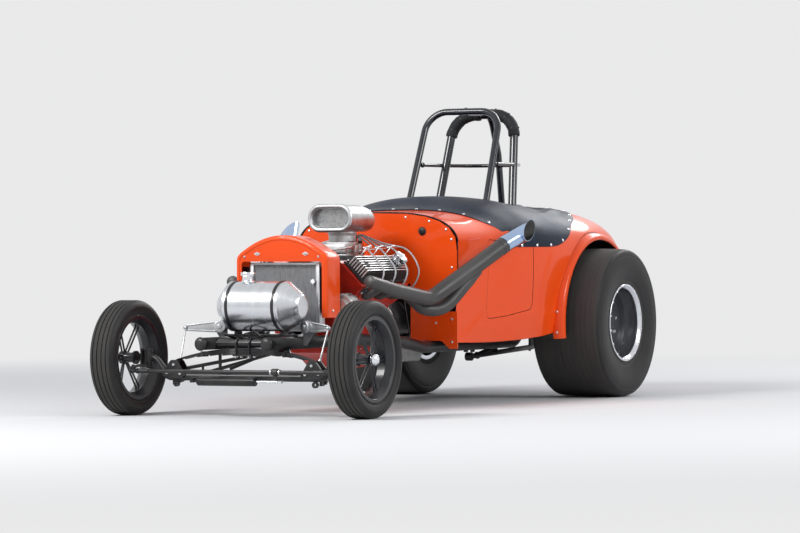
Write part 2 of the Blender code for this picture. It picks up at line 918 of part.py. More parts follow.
def build_steering_wheel():
    centre = wheel_centre()
    axis = column_axis()
    side = axis.orthogonal().normalized()
    across = axis.cross(side)
    profile = arc((0, wheel_rim_radius), wheel_rim_tube, 0, 300, 5)
    rim = turned(profile, centre, axis, 20)
    spokes = []
    for k in range(3):
        angle = 2 * math.pi * k / 3 + math.pi / 2
        tip = centre + (side * math.cos(angle) + across * math.sin(angle)) * wheel_rim_radius
        spokes.append(rod(centre, tip, 0.006, 8))
    hub = disc(centre, axis, 0.028, 0.024)
    end = column_point_at(front_axle_y + firewall_back + firewall_thickness + 0.030)
    shaft = rod(end, centre, column_radius, pin_steps)
    part("steering_wheel", join(hub, rim, shaft, *spokes), "black_paint", centre)


def build_seat():
    """Bucket seat: a bent tray with raised sides on two runners."""
    rear = wheelbase
    shape = [
        (front_axle_y + rear + d, z)
        for d, z in (
            (-0.76, 0.528), (-0.76, 0.630), (-0.58, 0.650), (-0.44, 0.765), (-0.40, 0.955),
            (-0.30, 0.965), (-0.345, 0.505), (-0.62, 0.510),
        )
    ]
    hollow = [
        (front_axle_y + rear + d, z)
        for d, z in (
            (-0.80, 0.560), (-0.80, 0.70), (-0.62, 0.72), (-0.48, 1.00), (-0.340, 1.00),
            (-0.380, 0.550), (-0.60, 0.540),
        )
    ]
    shell = prism(shape, "X", -seat_half_width, seat_half_width)
    inside = prism(hollow, "X", -seat_half_width + seat_wall, seat_half_width - seat_wall)
    runners = [
        box(
            at(side * 0.155 - 0.015, rear - 0.70, floor_top_z + seat_gap),
            at(side * 0.155 + 0.015, rear - 0.42, 0.530),
        )
        for _, side in SIDES
    ]
    part("seat", join(cut(shell, inside), *runners), "seat_fabric")


def rail_route(side):
    rear = wheelbase
    return [
        at(side * rail_front_x, -rail_nose + 0.03, rail_front_z),
        at(side * rail_front_x, rail_straight_end, rail_front_z),
        at(side * rail_mid_x, rail_mid_back, rail_mid_z),
        at(side * rail_rear_x, rail_rear_back, rail_rear_z),
        at(side * rail_rear_x, rear - kick_ahead, rail_rear_z),
        at(side * rail_rear_x, rear - kick_ahead + kick_length, rail_kick_z),
        at(side * rail_rear_x, rear + rail_tail, rail_kick_z),
    ]


def build_frame():
    pieces = []
    for _, side in SIDES:
        body = bent(rail_route(side), 0.10, 2)
        nose = [
            at(side * rail_front_x, -rail_nose, rail_front_z),
            at(side * rail_front_x, -rail_nose + 0.008, rail_front_z),
        ]
        radii = [rail_radius * 0.55, rail_radius * 0.85] + [rail_radius] * len(body)
        pieces.append(tube(nose + body, rail_radius, 12, radii=radii))
    # Cross tubes: place behind the front axle, half length, height
    rear = wheelbase
    spring_bar = spring_z + brace_radius + seat_gap
    crosses = (
        (0.0, rail_front_x, spring_bar),
        (core_back + core_depth / 2, rail_front_x, rail_front_z),
        (gearbox_rear - 0.13, rail_rear_x, rail_rear_z),
        (rear + coil_behind, rail_rear_x, rail_kick_z),
    )
    for back, half, z in crosses:
        pieces.append(rod(at(-half, back, z), at(half, back, z), brace_radius))
    # Brackets for the ladder bars' front eyes
    for _, side in SIDES:
        x = side * ladder_x
        back = gearbox_rear - 0.13
        pieces.append(
            box(
                at(x - 0.022, back - 0.022, ladder_z + ladder_radius + 0.008 + seat_gap),
                at(x + 0.022, back + 0.022, rail_rear_z + 0.005),
            )
        )
    back = gearbox_rear - 0.13
    mount_top = crank_z - tail_radius - seat_gap
    pieces.append(box(at(-0.030, back - 0.016, rail_rear_z), at(0.030, back + 0.016, mount_top)))
    part("frame", join(*pieces), "black_paint")


def build_front_axle():
    drop = [
        at(-kingpin_x, 0, front_tyre_radius),
        at(-axle_end_x, 0, front_tyre_radius),
        at(-axle_flat_x, 0, axle_z),
        at(axle_flat_x, 0, axle_z),
        at(axle_end_x, 0, front_tyre_radius),
        at(kingpin_x, 0, front_tyre_radius),
    ]
    route = bent(drop, 0.04, 2)
    radii = [axle_end_radius if p.z > front_tyre_radius - 0.012 else axle_radius for p in route]
    beam = tube(route, axle_radius, 10, radii=radii)
    pieces = []
    for _, side in SIDES:
        pieces.append(disc(at(side * kingpin_x, 0, front_tyre_radius), (0, 0, 1), boss_radius, boss_height))
        # Perch plates either side of the spring's end
        for face in (-1, 1):
            near = face * (spring_width / 2 + seat_gap)
            far = near + face * perch_thickness
            outline = [
                (side * x, z)
                for x, z in (
                    (0.315, axle_z), (0.445, axle_z), (0.425, axle_z + 0.045),
                    (0.395, axle_z + perch_height), (0.365, axle_z + perch_height),
                )
            ]
            y = sorted((front_axle_y + near, front_axle_y + far))
            pieces.append(prism(outline, "Y", y[0], y[1]))
        foot = spring_width / 2 + seat_gap + perch_thickness
        x = sorted((side * 0.330, side * 0.430))
        pieces.append(box(at(x[0], -foot, axle_z - 0.008), at(x[1], foot, axle_z + 0.008)))
        # Eye under the beam and the bracket behind it for the radius rod
        pieces.append(ring(at(side * 0.383, 0, axle_z - 0.034), (0, 1, 0), 0.007, 0.016, 0.010))
        pieces.append(
            box(
                at(side * 0.405 - 0.004, 0.005, axle_z - 0.040),
                at(side * 0.405 + 0.004, 0.046, axle_z + 0.045),
            )
        )
    # Lug that carries the steering damper's fixed end
    lug_x = damper_fixed_x
    pieces.append(
        box(
            at(lug_x - 0.012, -damper_ahead - 0.012, damper_z + damper_eye_height / 2 + seat_gap),
            at(lug_x + 0.012, 0.0, damper_z + damper_eye_height / 2 + 0.009),
        )
    )
    part("front_axle", join(beam, *pieces), "black_paint")


# Angles of the U-bolt's arch, from one leg over to the other
U_BOLT_TURNS = tuple(math.radians(a) for a in (0, 45, 90, 135, 180))


def build_spring():
    """Transverse leaf spring: leaves of falling length, stacked under the longest one."""
    steps = 12
    top = []
    bottom = []
    span = leaf_spans[0]

    def camber(x):
        return spring_z - spring_drop * (x / span) ** 2

    for i in range(steps + 1):
        x = -span + 2 * span * i / steps
        top.append((x, camber(x)))
    for k, reach in enumerate(leaf_spans):
        bottom.append((reach, camber(reach) - (k + 1) * leaf_thickness))
        following = leaf_spans[k + 1] if k + 1 < len(leaf_spans) else 0.0
        bottom.append((following + 0.001, camber(following) - (k + 1) * leaf_thickness))
    right = [(x, z) for x, z in bottom if x > 0.002]
    left = [(-x, z) for x, z in reversed(right)]
    leaves = prism(
        top + right + left,
        "Y",
        front_axle_y - spring_width / 2,
        front_axle_y + spring_width / 2,
    )
    # Plate under the pack with two U-bolts over the cross tube, and a clip round the leaves near each end
    half_width = spring_width / 2
    plate_top = spring_z - len(leaf_spans) * leaf_thickness + 0.001
    plate_low = plate_top - clamp_plate
    bolt_y = half_width + u_bolt_radius + 0.0008
    plate = box(
        at(-u_bolt_x - 0.016, -bolt_y - 0.008, plate_low),
        at(u_bolt_x + 0.016, bolt_y + 0.008, plate_top),
    )
    fixings = [plate]
    arch_z = spring_z + seat_gap + brace_radius
    for x in (-u_bolt_x, u_bolt_x):
        over = [at(x, bolt_y * math.cos(a), arch_z + bolt_y * math.sin(a)) for a in U_BOLT_TURNS]
        legs = [at(x, bolt_y, plate_low - 0.006), *over, at(x, -bolt_y, plate_low - 0.006)]
        fixings.append(tube(legs, u_bolt_radius, 6))
    for side in (-1, 1):
        x = side * spring_clip_x
        top_z = camber(spring_clip_x + spring_clip_width) + 0.005
        low_z = camber(spring_clip_x) - 3 * leaf_thickness - 0.002
        fixings.append(
            box(
                at(x - spring_clip_width / 2, -half_width - 0.002, low_z),
                at(x + spring_clip_width / 2, half_width + 0.002, top_z),
            )
        )
    part("front_spring", join(leaves, *fixings), "black_paint")


def build_radius_rod(tag, side):
    """Hairpin of two rods that meet at a bracket under the rail."""
    x = side * 0.405
    start = 0.046 + seat_gap
    lug = 0.016
    meet = at(side * (rail_front_x + 0.004), 0.74, rail_front_z - rail_radius - 0.018 - seat_gap)
    high = at(x, start + lug / 2, axle_z + 0.030)
    low = at(x, start + lug / 2, axle_z - 0.024)
    lugs = [
        box(p - Vector((0.009, lug / 2, 0.010)), p + Vector((0.009, lug / 2, 0.010))) for p in (high, low)
    ]
    upper = rod(high, meet, 0.009)
    lower = rod(low, meet, 0.009)
    link = rod(low.lerp(meet, 0.22), high.lerp(meet, 0.22), 0.006, 6)
    eye = ball(meet, 0.018)
    part("radius_rod_" + tag, join(upper, lower, link, eye, *lugs), "black_paint")


def build_lever_damper(tag, side):
    """Bracket on the rail, polished lever arm and the thin link down to the perch."""
    pivot = at(side * 0.241, 0.175, 0.427)
    tip = at(side * 0.395, 0.109, 0.422)
    outward = (tip - pivot).normalized()
    facing = outward.cross(Vector((0, 0, 1))).normalized()
    rail_side = rail_front_x + rail_radius + seat_gap
    plate = prism(
        [
            (side * x, z)
            for x, z in (
                (rail_side, 0.335), (rail_side + 0.018, 0.335), (0.272, 0.400), (0.272, 0.455),
                (0.212, 0.455), (rail_side, 0.400),
            )
        ],
        "Y",
        pivot.y + 0.016,
        pivot.y + 0.024,
    )
    drum = disc(pivot, facing, 0.032, 0.036)
    tall = Vector((0, 0, 1))

    def hexagon(centre, size, thick):
        return [
            centre + tall * size + facing * thick,
            centre + tall * size - facing * thick,
            centre - tall * size - facing * thick,
            centre - tall * size + facing * thick,
        ]

    arm = lofted((hexagon(pivot, 0.026, 0.008), hexagon(tip, 0.009, 0.005)))
    knob = ball(tip, 0.011)
    foot = at(side * 0.385, spring_width / 2 + perch_thickness + 0.010, axle_z + perch_height - 0.004)
    link = rod(tip, foot, 0.0045, 8)
    part("lever_damper_" + tag, join(plate, drum, arm, knob, link), "polished_metal")


def build_knuckle(tag, side):
    """Yoke round the axle's boss, stub axle and steering arm."""
    pin = at(side * kingpin_x, 0, front_tyre_radius)
    half = boss_height / 2 + pin_gap
    reach = boss_radius + 0.006
    ears = []
    for face in (-1, 1):
        middle = pin + Vector((0, 0, face * (half + ear_thickness / 2)))
        ears.append(disc(middle, (0, 0, 1), boss_radius + 0.002, ear_thickness))
        ears.append(
            box(
                middle + Vector((min(0, side * (reach + yoke_wall)), -0.016, -ear_thickness / 2 + 0.001)),
                middle + Vector((max(0, side * (reach + yoke_wall)), 0.016, ear_thickness / 2 - 0.001)),
            )
        )
    inner_x = pin.x + side * reach
    outer_x = pin.x + side * (reach + yoke_wall)
    tall = half + ear_thickness - 0.002
    wall = box(
        (min(inner_x, outer_x), pin.y - 0.018, pin.z - tall),
        (max(inner_x, outer_x), pin.y + 0.018, pin.z + tall),
    )
    stub_end = side * (front_track / 2 + front_hub_length / 2 - 0.012)
    stub_start = Vector((inner_x + side * 0.004, pin.y, pin.z))
    stub = rod(stub_start, Vector((stub_end, pin.y, pin.z)), spindle_radius, pin_steps)
    arm_z = tie_rod_z + rod_end_height / 2 + pin_gap + steer_arm_height / 2
    tip = at(side * kingpin_x, -steer_arm_reach, arm_z)
    low_ear = pin - Vector((0, 0, half + ear_thickness / 2))
    arm_half = steer_arm_height / 2

    def across(centre, half_x):
        corners = ((-half_x, -arm_half), (half_x, -arm_half), (half_x, arm_half), (-half_x, arm_half))
        return [centre + Vector((x, 0, z)) for x, z in corners]

    arm = lofted((across(low_ear - Vector((0, 0.004, 0)), 0.016), across(tip, 0.011)))
    end = disc(tip, (0, 0, 1), 0.014, steer_arm_height)
    part("knuckle_" + tag, join(wall, *ears, stub, arm, end), "black_paint", pin)


def build_tie_rod():
    left = at(kingpin_x, -steer_arm_reach, tie_rod_z)
    right = at(-kingpin_x, -steer_arm_reach, tie_rod_z)
    bar = rod(right, left, tie_rod_radius)
    ends = [disc(end, (0, 0, 1), rod_end_radius, rod_end_height) for end in (left, right)]
    # Clamp that hangs over the steering damper's eye
    x = damper_eye_x
    low = damper_z + damper_eye_height / 2 + 0.001
    clamp = disc(at(x, -steer_arm_reach, tie_rod_z), (1, 0, 0), tie_rod_radius + 0.008, 0.030)
    reach = steer_arm_reach
    foot = box(at(x - 0.012, -reach - 0.006, low), at(x + 0.012, -damper_ahead + 0.012, low + 0.007))
    drop = box(at(x - 0.009, -reach - 0.004, low + 0.002), at(x + 0.009, -reach + 0.004, tie_rod_z))
    part("tie_rod", join(bar, *ends, clamp, foot, drop), "black_paint", left)


def build_steering_damper():
    fixed = at(damper_fixed_x, -damper_ahead, damper_z)
    tube_start = at(damper_fixed_x + 0.028, -damper_ahead, damper_z)
    tube_end = at(damper_tube_end_x, -damper_ahead, damper_z)
    bore = bore_for(damper_rod_radius)
    deep = (tube_end - tube_start).length - 0.02
    profile = (
        (0, 0),
        (0, damper_tube_radius),
        (deep + 0.02, damper_tube_radius),
        (deep + 0.02, bore),
        (0.02, bore),
        (0.02, 0),
    )
    barrel = turned(profile, tube_start, (1, 0, 0), pin_steps)
    neck = rod(fixed, tube_start + Vector((0.006, 0, 0)), damper_rod_radius, 8)
    eye = disc(fixed, (0, 0, 1), damper_eye_radius, damper_eye_height)
    part("steering_damper_tube", join(barrel, neck, eye), "black_paint")
    inner_end = at(damper_tube_end_x - 0.16, -damper_ahead, damper_z)
    rod_eye = at(damper_eye_x, -damper_ahead, damper_z)
    piston_rod = rod(inner_end, rod_eye, damper_rod_radius, pin_steps)
    rod_ring = disc(rod_eye, (0, 0, 1), damper_eye_radius, damper_eye_height)
    part("steering_damper_rod", join(piston_rod, rod_ring), "polished_metal", rod_eye)


def tyre_profile(radius, width, bead_width, shoulder):
    """Half profile mirrored: bead, bulging sidewall, shoulder and tread."""
    bead = bead_width / 2
    half = width / 2
    wall = radius - bead_radius
    tread_half = half - shoulder
    side = [
        (bead, bead_radius),
        (bead, bead_radius + 0.05 * wall + flange_height),
        (half - 0.004, bead_radius + 0.40 * wall),
        (half, bead_radius + 0.58 * wall),
        (half - 0.30 * shoulder, radius - 0.60 * shoulder),
        (tread_half, radius),
    ]
    return [(-x, r) for x, r in side] + [(x, r) for x, r in reversed(side)]


def build_front_wheel(tag, side):
    hub = at(side * front_track / 2, 0, front_tyre_radius)
    axis = (side, 0, 0)
    outline = tyre_profile(front_tyre_radius, front_tyre_width, front_bead_width, 0.022)
    tyre = turned(outline, hub, axis, front_tyre_steps)
    part("front_tyre_" + tag, tyre, "tyre_rubber", hub)
    half = front_bead_width / 2
    seat_radius = bead_radius - seat_gap
    well = seat_radius - 0.020
    profile = (
        (-half - seat_gap - flange_width, flange_radius),
        (-half - seat_gap, flange_radius),
        (-half - seat_gap, seat_radius),
        (-half + 0.026, well),
        (half - 0.026, well),
        (half + seat_gap, seat_radius),
        (half + seat_gap, flange_radius),
        (half + seat_gap + flange_width, flange_radius),
        (half + seat_gap + flange_width, seat_radius - front_rim_wall),
        (half - 0.026, well - front_rim_wall),
        (-half + 0.026, well - front_rim_wall),
        (-half - seat_gap - flange_width, seat_radius - front_rim_wall),
    )
    rim = turned(profile, hub, axis, front_rim_steps)
    hub_half = front_hub_length / 2
    bore = bore_for(spindle_radius)
    middle = turned(
        (
            (hub_half - 0.010, 0.0),
            (hub_half - 0.010, bore),
            (-hub_half, bore),
            (-hub_half, front_hub_radius),
            (-hub_half + 0.016, front_hub_radius * 0.72),
            (hub_half - 0.018, front_hub_radius * 0.72),
            (hub_half - 0.010, front_hub_radius),
            (hub_half, front_hub_radius),
            (hub_half, 0.0),
        ),
        hub,
        axis,
        pin_steps,
    )
    spokes = []
    out = Vector(axis)
    for k in range(spoke_pairs):
        base = 2 * math.pi * k / spoke_pairs
        for lean in (-1, 1):
            foot_angle = base + lean * 0.34
            rim_angle = base + lean * 0.07
            foot = hub + out * (hub_half - 0.016)
            foot += Vector((0, math.cos(foot_angle), math.sin(foot_angle))) * (front_hub_radius * 0.80)
            tip = hub + out * 0.008
            tip += Vector((0, math.cos(rim_angle), math.sin(rim_angle))) * (well - front_rim_wall / 2)
            spokes.append(rod(foot, tip, spoke_radius, 5))
    part("front_wheel_" + tag, join(rim, middle, *spokes), "black_paint", hub)
    cap_start = hub + out * (hub_half + seat_gap)
    cap = turned(
        (
            (0, 0),
            (0, hub_cap_radius * 0.86),
            (hub_cap_length * 0.25, hub_cap_radius * 0.86),
            (hub_cap_length * 0.55, hub_cap_radius * 0.72),
            (hub_cap_length * 0.85, hub_cap_radius * 0.42),
            (hub_cap_length, 0),
        ),
        cap_start,
        axis,
        14,
    )
    part("hub_cap_" + tag, cap, "polished_metal", hub)


def build_rear_wheel(tag, side):
    hub = at(side * rear_track / 2, wheelbase, rear_tyre_radius)
    axis = (side, 0, 0)
    outline = tyre_profile(rear_tyre_radius, rear_tyre_width, rear_bead_width, 0.045)
    tyre = turned(outline, hub, axis, rear_tyre_steps)
    part("rear_tyre_" + tag, tyre, "tyre_rubber", hub)
    half = rear_bead_width / 2
    seat_radius = bead_radius - seat_gap
    bare = seat_radius - rear_rim_wall
    lip = half + seat_gap + flange_width
    face = lip - dish_depth
    web = rear_web
    bore = bore_for(nose_radius, rear_rim_steps)
    profile = (
        (face + 0.004, 0.0),
        (face + 0.004, bore),
        (face - web - sleeve_length, bore),
        (face - web - sleeve_length, sleeve_radius),
        (face - web, sleeve_radius),
        (face - web, bare - 0.012),
        (face - web - 0.012, bare),
        (-half - seat_gap - flange_width, bare),
        (-half - seat_gap - flange_width, flange_radius),
        (-half - seat_gap, flange_radius),
        (-half - seat_gap, seat_radius),
        (half + seat_gap, seat_radius),
        (half + seat_gap, flange_radius),
        (lip, flange_radius),
        (lip, bare),
        (face + 0.012, bare),
        (face, bare - 0.012),
        (face, rear_hub_radius),
        (face + 0.028, rear_hub_radius * 0.6),
        (face + 0.028, 0.0),
    )
    wheel = turned(profile, hub, axis, rear_rim_steps)
    part("rear_wheel_" + tag, wheel, "bare_aluminium", hub)


def rear_face_x():
    """Outer side of the rear wheel's centre disc."""
    return rear_track / 2 + rear_bead_width / 2 + seat_gap + flange_width - dish_depth


def build_rear_axle():
    """Housing with its round centre, brackets and the two ladder bars welded to it."""
    centre = at(0, wheelbase, rear_tyre_radius)
    end = Vector((rear_face_x() - rear_web - sleeve_length - run_gap, 0, 0))
    tip = Vector((rear_face_x() + 0.004 - run_gap, 0, 0))
    housing = rod(centre - end, centre + end, axle_tube_radius, 12)
    noses = rod(centre - tip, centre + tip, nose_radius, rear_rim_steps)
    bowl = turned(
        (
            (-0.150, 0), (-0.150, 0.050), (-0.120, 0.075), (-0.075, 0.115), (-0.020, diff_radius),
            (0.040, diff_radius), (0.090, 0.105), (0.130, 0.060), (0.140, 0),
        ),
        centre,
        (0, 1, 0),
        14,
    )
    pieces = []
    front = gearbox_rear - 0.13
    for _, side in SIDES:
        x = side * ladder_x
        nose = at(x, front, ladder_z)
        low = at(x, wheelbase - 0.02, ladder_z + 0.03)
        high = at(x, wheelbase - 0.02, rear_tyre_radius - axle_tube_radius)
        pieces.append(rod(nose, low, ladder_radius))
        pieces.append(rod(nose.lerp(low, 0.12), high + Vector((0, 0, 0.004)), ladder_radius, 10))
        pieces.append(disc(nose, (1, 0, 0), ladder_radius + 0.008, 0.034))
        fork = nose.lerp(low, 0.12)
        for share in (0.45, 0.72):
            pieces.append(rod(nose.lerp(low, share), fork.lerp(high, share - 0.15), 0.009, 6))
        plate = [
            (centre.y - 0.060, low.z - 0.022),
            (centre.y + 0.050, rear_tyre_radius - 0.075),
            (centre.y + 0.060, rear_tyre_radius + 0.020),
            (centre.y + 0.030, rear_tyre_radius + 0.058),
            (centre.y - 0.030, rear_tyre_radius + 0.058),
            (centre.y - 0.060, rear_tyre_radius + 0.020),
        ]
        pieces.append(prism(plate, "X", x - 0.006, x + 0.006))
    # Brackets that carry the coil springs
    for _, side in SIDES:
        x = side * coil_x
        pieces.append(
            box(
                at(x - 0.030, wheelbase, rear_tyre_radius - 0.030),
                at(x + 0.030, wheelbase + coil_behind + 0.030, rear_tyre_radius - 0.018),
            )
        )
    part("rear_axle", join(housing, noses, bowl, *pieces), "black_paint")


def build_coilover(tag, side):
    """Coil spring round its damper, as one stepped shape, between the axle and the rear cross tube."""
    base = at(side * coil_x, wheelbase + coil_behind, rear_tyre_radius - 0.018 + seat_gap)
    top = rail_kick_z - brace_radius - seat_gap - base.z
    profile = (
        (0, 0),
        (0, coil_radius),
        (0.010, coil_radius),
        (0.014, coil_radius * 0.7),
        (top - 0.024, coil_radius * 0.7),
        (top - 0.020, coil_radius),
        (top - 0.010, coil_radius),
        (top, 0.018),
        (top, 0),
    )
    part("coilover_" + tag, turned(profile, base, (0, 0, 1), 12), "polished_metal")


def build_tank():
    centre = at(0, tank_back, tank_z)
    cone = tank_half_length
    profile = (
        (-cone, 0), (-cone, tank_end_radius), (-cone + 0.012, tank_end_radius + 0.012),
        (-tank_half_barrel - 0.012, tank_radius - 0.012), (-tank_half_barrel, tank_radius),
        (tank_half_barrel, tank_radius), (tank_half_barrel + 0.012, tank_radius - 0.012),
        (cone - 0.012, tank_end_radius + 0.012), (cone, tank_end_radius), (cone, 0),
    )
    barrel = turned(profile, centre, (1, 0, 0), tank_steps)
    top = tank_z + tank_radius
    neck = rod(
        at(filler_x, tank_back, top - 0.02),
        at(filler_x, tank_back, top + filler_height),
        filler_radius,
        12,
    )
    cap = rod(
        at(filler_x, tank_back, top + filler_height - 0.002),
        at(filler_x, tank_back, top + filler_height + cap_height),
        cap_radius,
        12,
    )
    part("fuel_tank", join(barrel, neck, cap), "bare_aluminium")


def build_cradle():
    """Two bands round the tank on a bar across the rails."""
    low = rail_top_z + seat_gap
    bar = box(
        at(-rail_front_x - 0.012, tank_back - cradle_bar_width / 2, low),
        at(rail_front_x + 0.012, tank_back + cradle_bar_width / 2, low + cradle_bar_height),
    )
    pieces = []
    for _, side in SIDES:
        centre = at(side * strap_x, tank_back, tank_z)
        bore = tank_radius + 2 * seat_gap
        pieces.append(ring(centre, (1, 0, 0), bore, bore + strap_thickness, strap_width, tank_steps))
        pieces.append(
            box(
                at(side * strap_x - 0.006, tank_back - 0.020, low + 0.004),
                at(side * strap_x + 0.006, tank_back + 0.020, tank_z - tank_radius - strap_thickness / 2),
            )
        )
    part("tank_cradle", join(bar, *pieces), "black_paint")


def shell_outline(inset):
    """The radiator shell's outline from the front, made smaller all round by an inset."""
    half = shell_half_width - inset
    crown = shell_crown_z - inset
    shoulder_x = shell_shoulder_x - inset * 0.6
    shoulder_z = shell_shoulder_z - inset * 0.8
    side_z = shell_side_z
    left = [(half, shell_bottom_z), (half, side_z)]
    for t in (0.35, 0.7):
        left.append((half - (half - shoulder_x) * t**1.7, side_z + (shoulder_z - side_z) * t**0.8))
    steps = 6
    for i in range(steps):
        x = shoulder_x * (1 - i / steps)
        left.append((x, crown - (crown - shoulder_z) * (x / shoulder_x) ** 2))
    left.append((0, crown))
    return left + [(-x, z) for x, z in reversed(left[:-1])]


def build_radiator_shell():
    start = front_axle_y + shell_back
    solid = prism(shell_outline(0.0), "Y", start, start + shell_depth)
    cavity = prism(
        [(x, z if z > shell_bottom_z else z - 0.05) for x, z in shell_outline(shell_wall)],
        "Y",
        start + shell_wall,
        start + shell_depth + 0.05,
    )
    corner = 0.018
    top = grille_top_z
    half = grille_half_width
    grille = [(half, shell_bottom_z - 0.05)]
    grille += arc((half - corner, top - corner), corner, 0, 90, 3)
    grille += arc((-half + corner, top - corner), corner, 90, 180, 3)
    grille += [(-half, shell_bottom_z - 0.05)]
    window = prism(grille, "Y", start - 0.05, start + shell_wall * 2)
    shell = cut(solid, cavity, window)
    # Raised moulding that follows the arch and both sides
    line = shell_outline(moulding_inset)
    line[0] = (line[0][0], shell_bottom_z + moulding_radius)
    line[-1] = (line[-1][0], shell_bottom_z + moulding_radius)
    moulding = tube([Vector((x, start, z)) for x, z in line], moulding_radius, 6)
    part("radiator_shell", join(shell, moulding), "orange_paint")


def build_radiator():
    start = front_axle_y + core_back
    core = box(
        (-core_half_width, start + 0.006, core_bottom_z + 0.02),
        (core_half_width, start + core_depth - 0.006, core_top_z - 0.004),
    )
    pieces = []
    for _, side in SIDES:
        inner = side * (core_half_width - 0.002)
        outer = side * (core_half_width + core_tank_width)
        pieces.append(
            box(
                (min(inner, outer), start, core_bottom_z + 0.012),
                (max(inner, outer), start + core_depth, core_top_z),
            )
        )
        flange = side * (shell_half_width - shell_wall - seat_gap)
        pieces.append(
            box(
                (min(outer - side * 0.002, flange), start + 0.020, shell_bottom_z + 0.02),
                (max(outer - side * 0.002, flange), start + 0.024, core_top_z - 0.02),
            )
        )
        foot_x = side * 0.14
        pieces.append(
            box(
                (foot_x - 0.015, start + 0.012, rail_front_z + brace_radius + seat_gap),
                (foot_x + 0.015, start + core_depth - 0.012, core_bottom_z + 0.02),
            )
        )
    base = box(
        (-core_half_width - 0.010, start + 0.003, core_bottom_z),
        (core_half_width + 0.010, start + core_depth - 0.003, core_bottom_z + 0.026),
    )
    part("radiator", join(core, base, *pieces), "bare_aluminium")


def build_engine():
    """Block with both heads, sump and mounts on the rails."""
    half = [
        (0.115, 0.300), (0.140, 0.320), (0.155, 0.450), (0.215, 0.520),
        bank_low, bank_high, valley,
    ]
    outline = [(x, z) for x, z in half] + [(-x, z) for x, z in reversed(half)]
    front = front_axle_y + engine_front
    block = prism(outline, "Y", front, front + engine_length)
    rear = front + engine_length
    wide = rectangle(0.110, front + 0.03, rear - 0.02)
    narrow = rectangle(0.090, front + 0.16, rear - 0.03)
    levels = ((wide, 0.305), (wide, 0.290), (narrow, sump_z))
    sump = lofted([[Vector((x, y, z)) for x, y in row] for row, z in levels])
    mounts = [
        box(
            at(side * 0.170 - 0.042, 0.66, rail_top_z + seat_gap),
            at(side * 0.170 + 0.042, 0.74, rail_top_z + 0.040),
        )
        for _, side in SIDES
    ]
    part("engine_block", join(block, sump, *mounts), "engine_red")


def rectangle(half_x, low_y, high_y):
    return ((-half_x, low_y), (half_x, low_y), (half_x, high_y), (-half_x, high_y))


def build_valve_cover(tag, side):
    """Finned cover on its head's sloping face."""
    low = Vector((side * bank_low[0], 0, bank_low[1]))
    high = Vector((side * bank_high[0], 0, bank_high[1]))
    along = (high - low).normalized()
    out = Vector((side * abs(along.z), 0, abs(along.x)))
    middle = (low + high) / 2 + out * seat_gap
    half = cover_width / 2
    profile = [
        middle + along * -half,
        middle + along * half,
        middle + along * half + out * cover_height * 0.35,
        middle + along * (half - 0.022) + out * cover_height,
        middle + along * (-half + 0.022) + out * cover_height,
        middle + along * -half + out * cover_height * 0.35,
    ]
    start = engine_front + (engine_length - cover_length) / 2
    y0 = front_axle_y + start
    shape = prism([(p.x, p.z) for p in profile], "Y", y0, y0 + cover_length)
    fins = []
    room = cover_width - 0.060
    for k in range(cover_fins):
        offset = -room / 2 + room * k / (cover_fins - 1)
        base = middle + along * offset + out * (cover_height - 0.004)
        tip = base + out * 0.010
        width = along * 0.0022
        fin = [base - width, base + width, tip + width * 0.7, tip - width * 0.7]
        fins.append(prism([(p.x, p.z) for p in fin], "Y", y0 + 0.02, y0 + cover_length - 0.02))
    part("valve_cover_" + tag, join(shape, *fins), "coated_black")


def build_intake():
    """Manifold in the valley, carburettor on top of it and the scoop's base ring."""
    front = front_axle_y + engine_front
    floor = valley[1] + seat_gap
    manifold = prism(
        [
            (-0.085, floor), (0.085, floor), (0.165, floor + 0.075),
            (0.120, floor + 0.120), (-0.120, floor + 0.120), (-0.165, floor + 0.075),
        ],
        "Y",
        front + 0.07,
        front + engine_length - 0.04,
    )
    scoop_low = scoop_z - scoop_height / 2
    carb = box(
        at(-0.080, carb_back - 0.09, floor + 0.115),
        at(0.080, carb_back + 0.10, scoop_low - 0.020),
    )
    neck = rod(at(0, carb_back, scoop_low - 0.030), at(0, carb_back, scoop_low - seat_gap), 0.075, 18)
    part("intake", join(manifold, carb, neck), "coated_black")


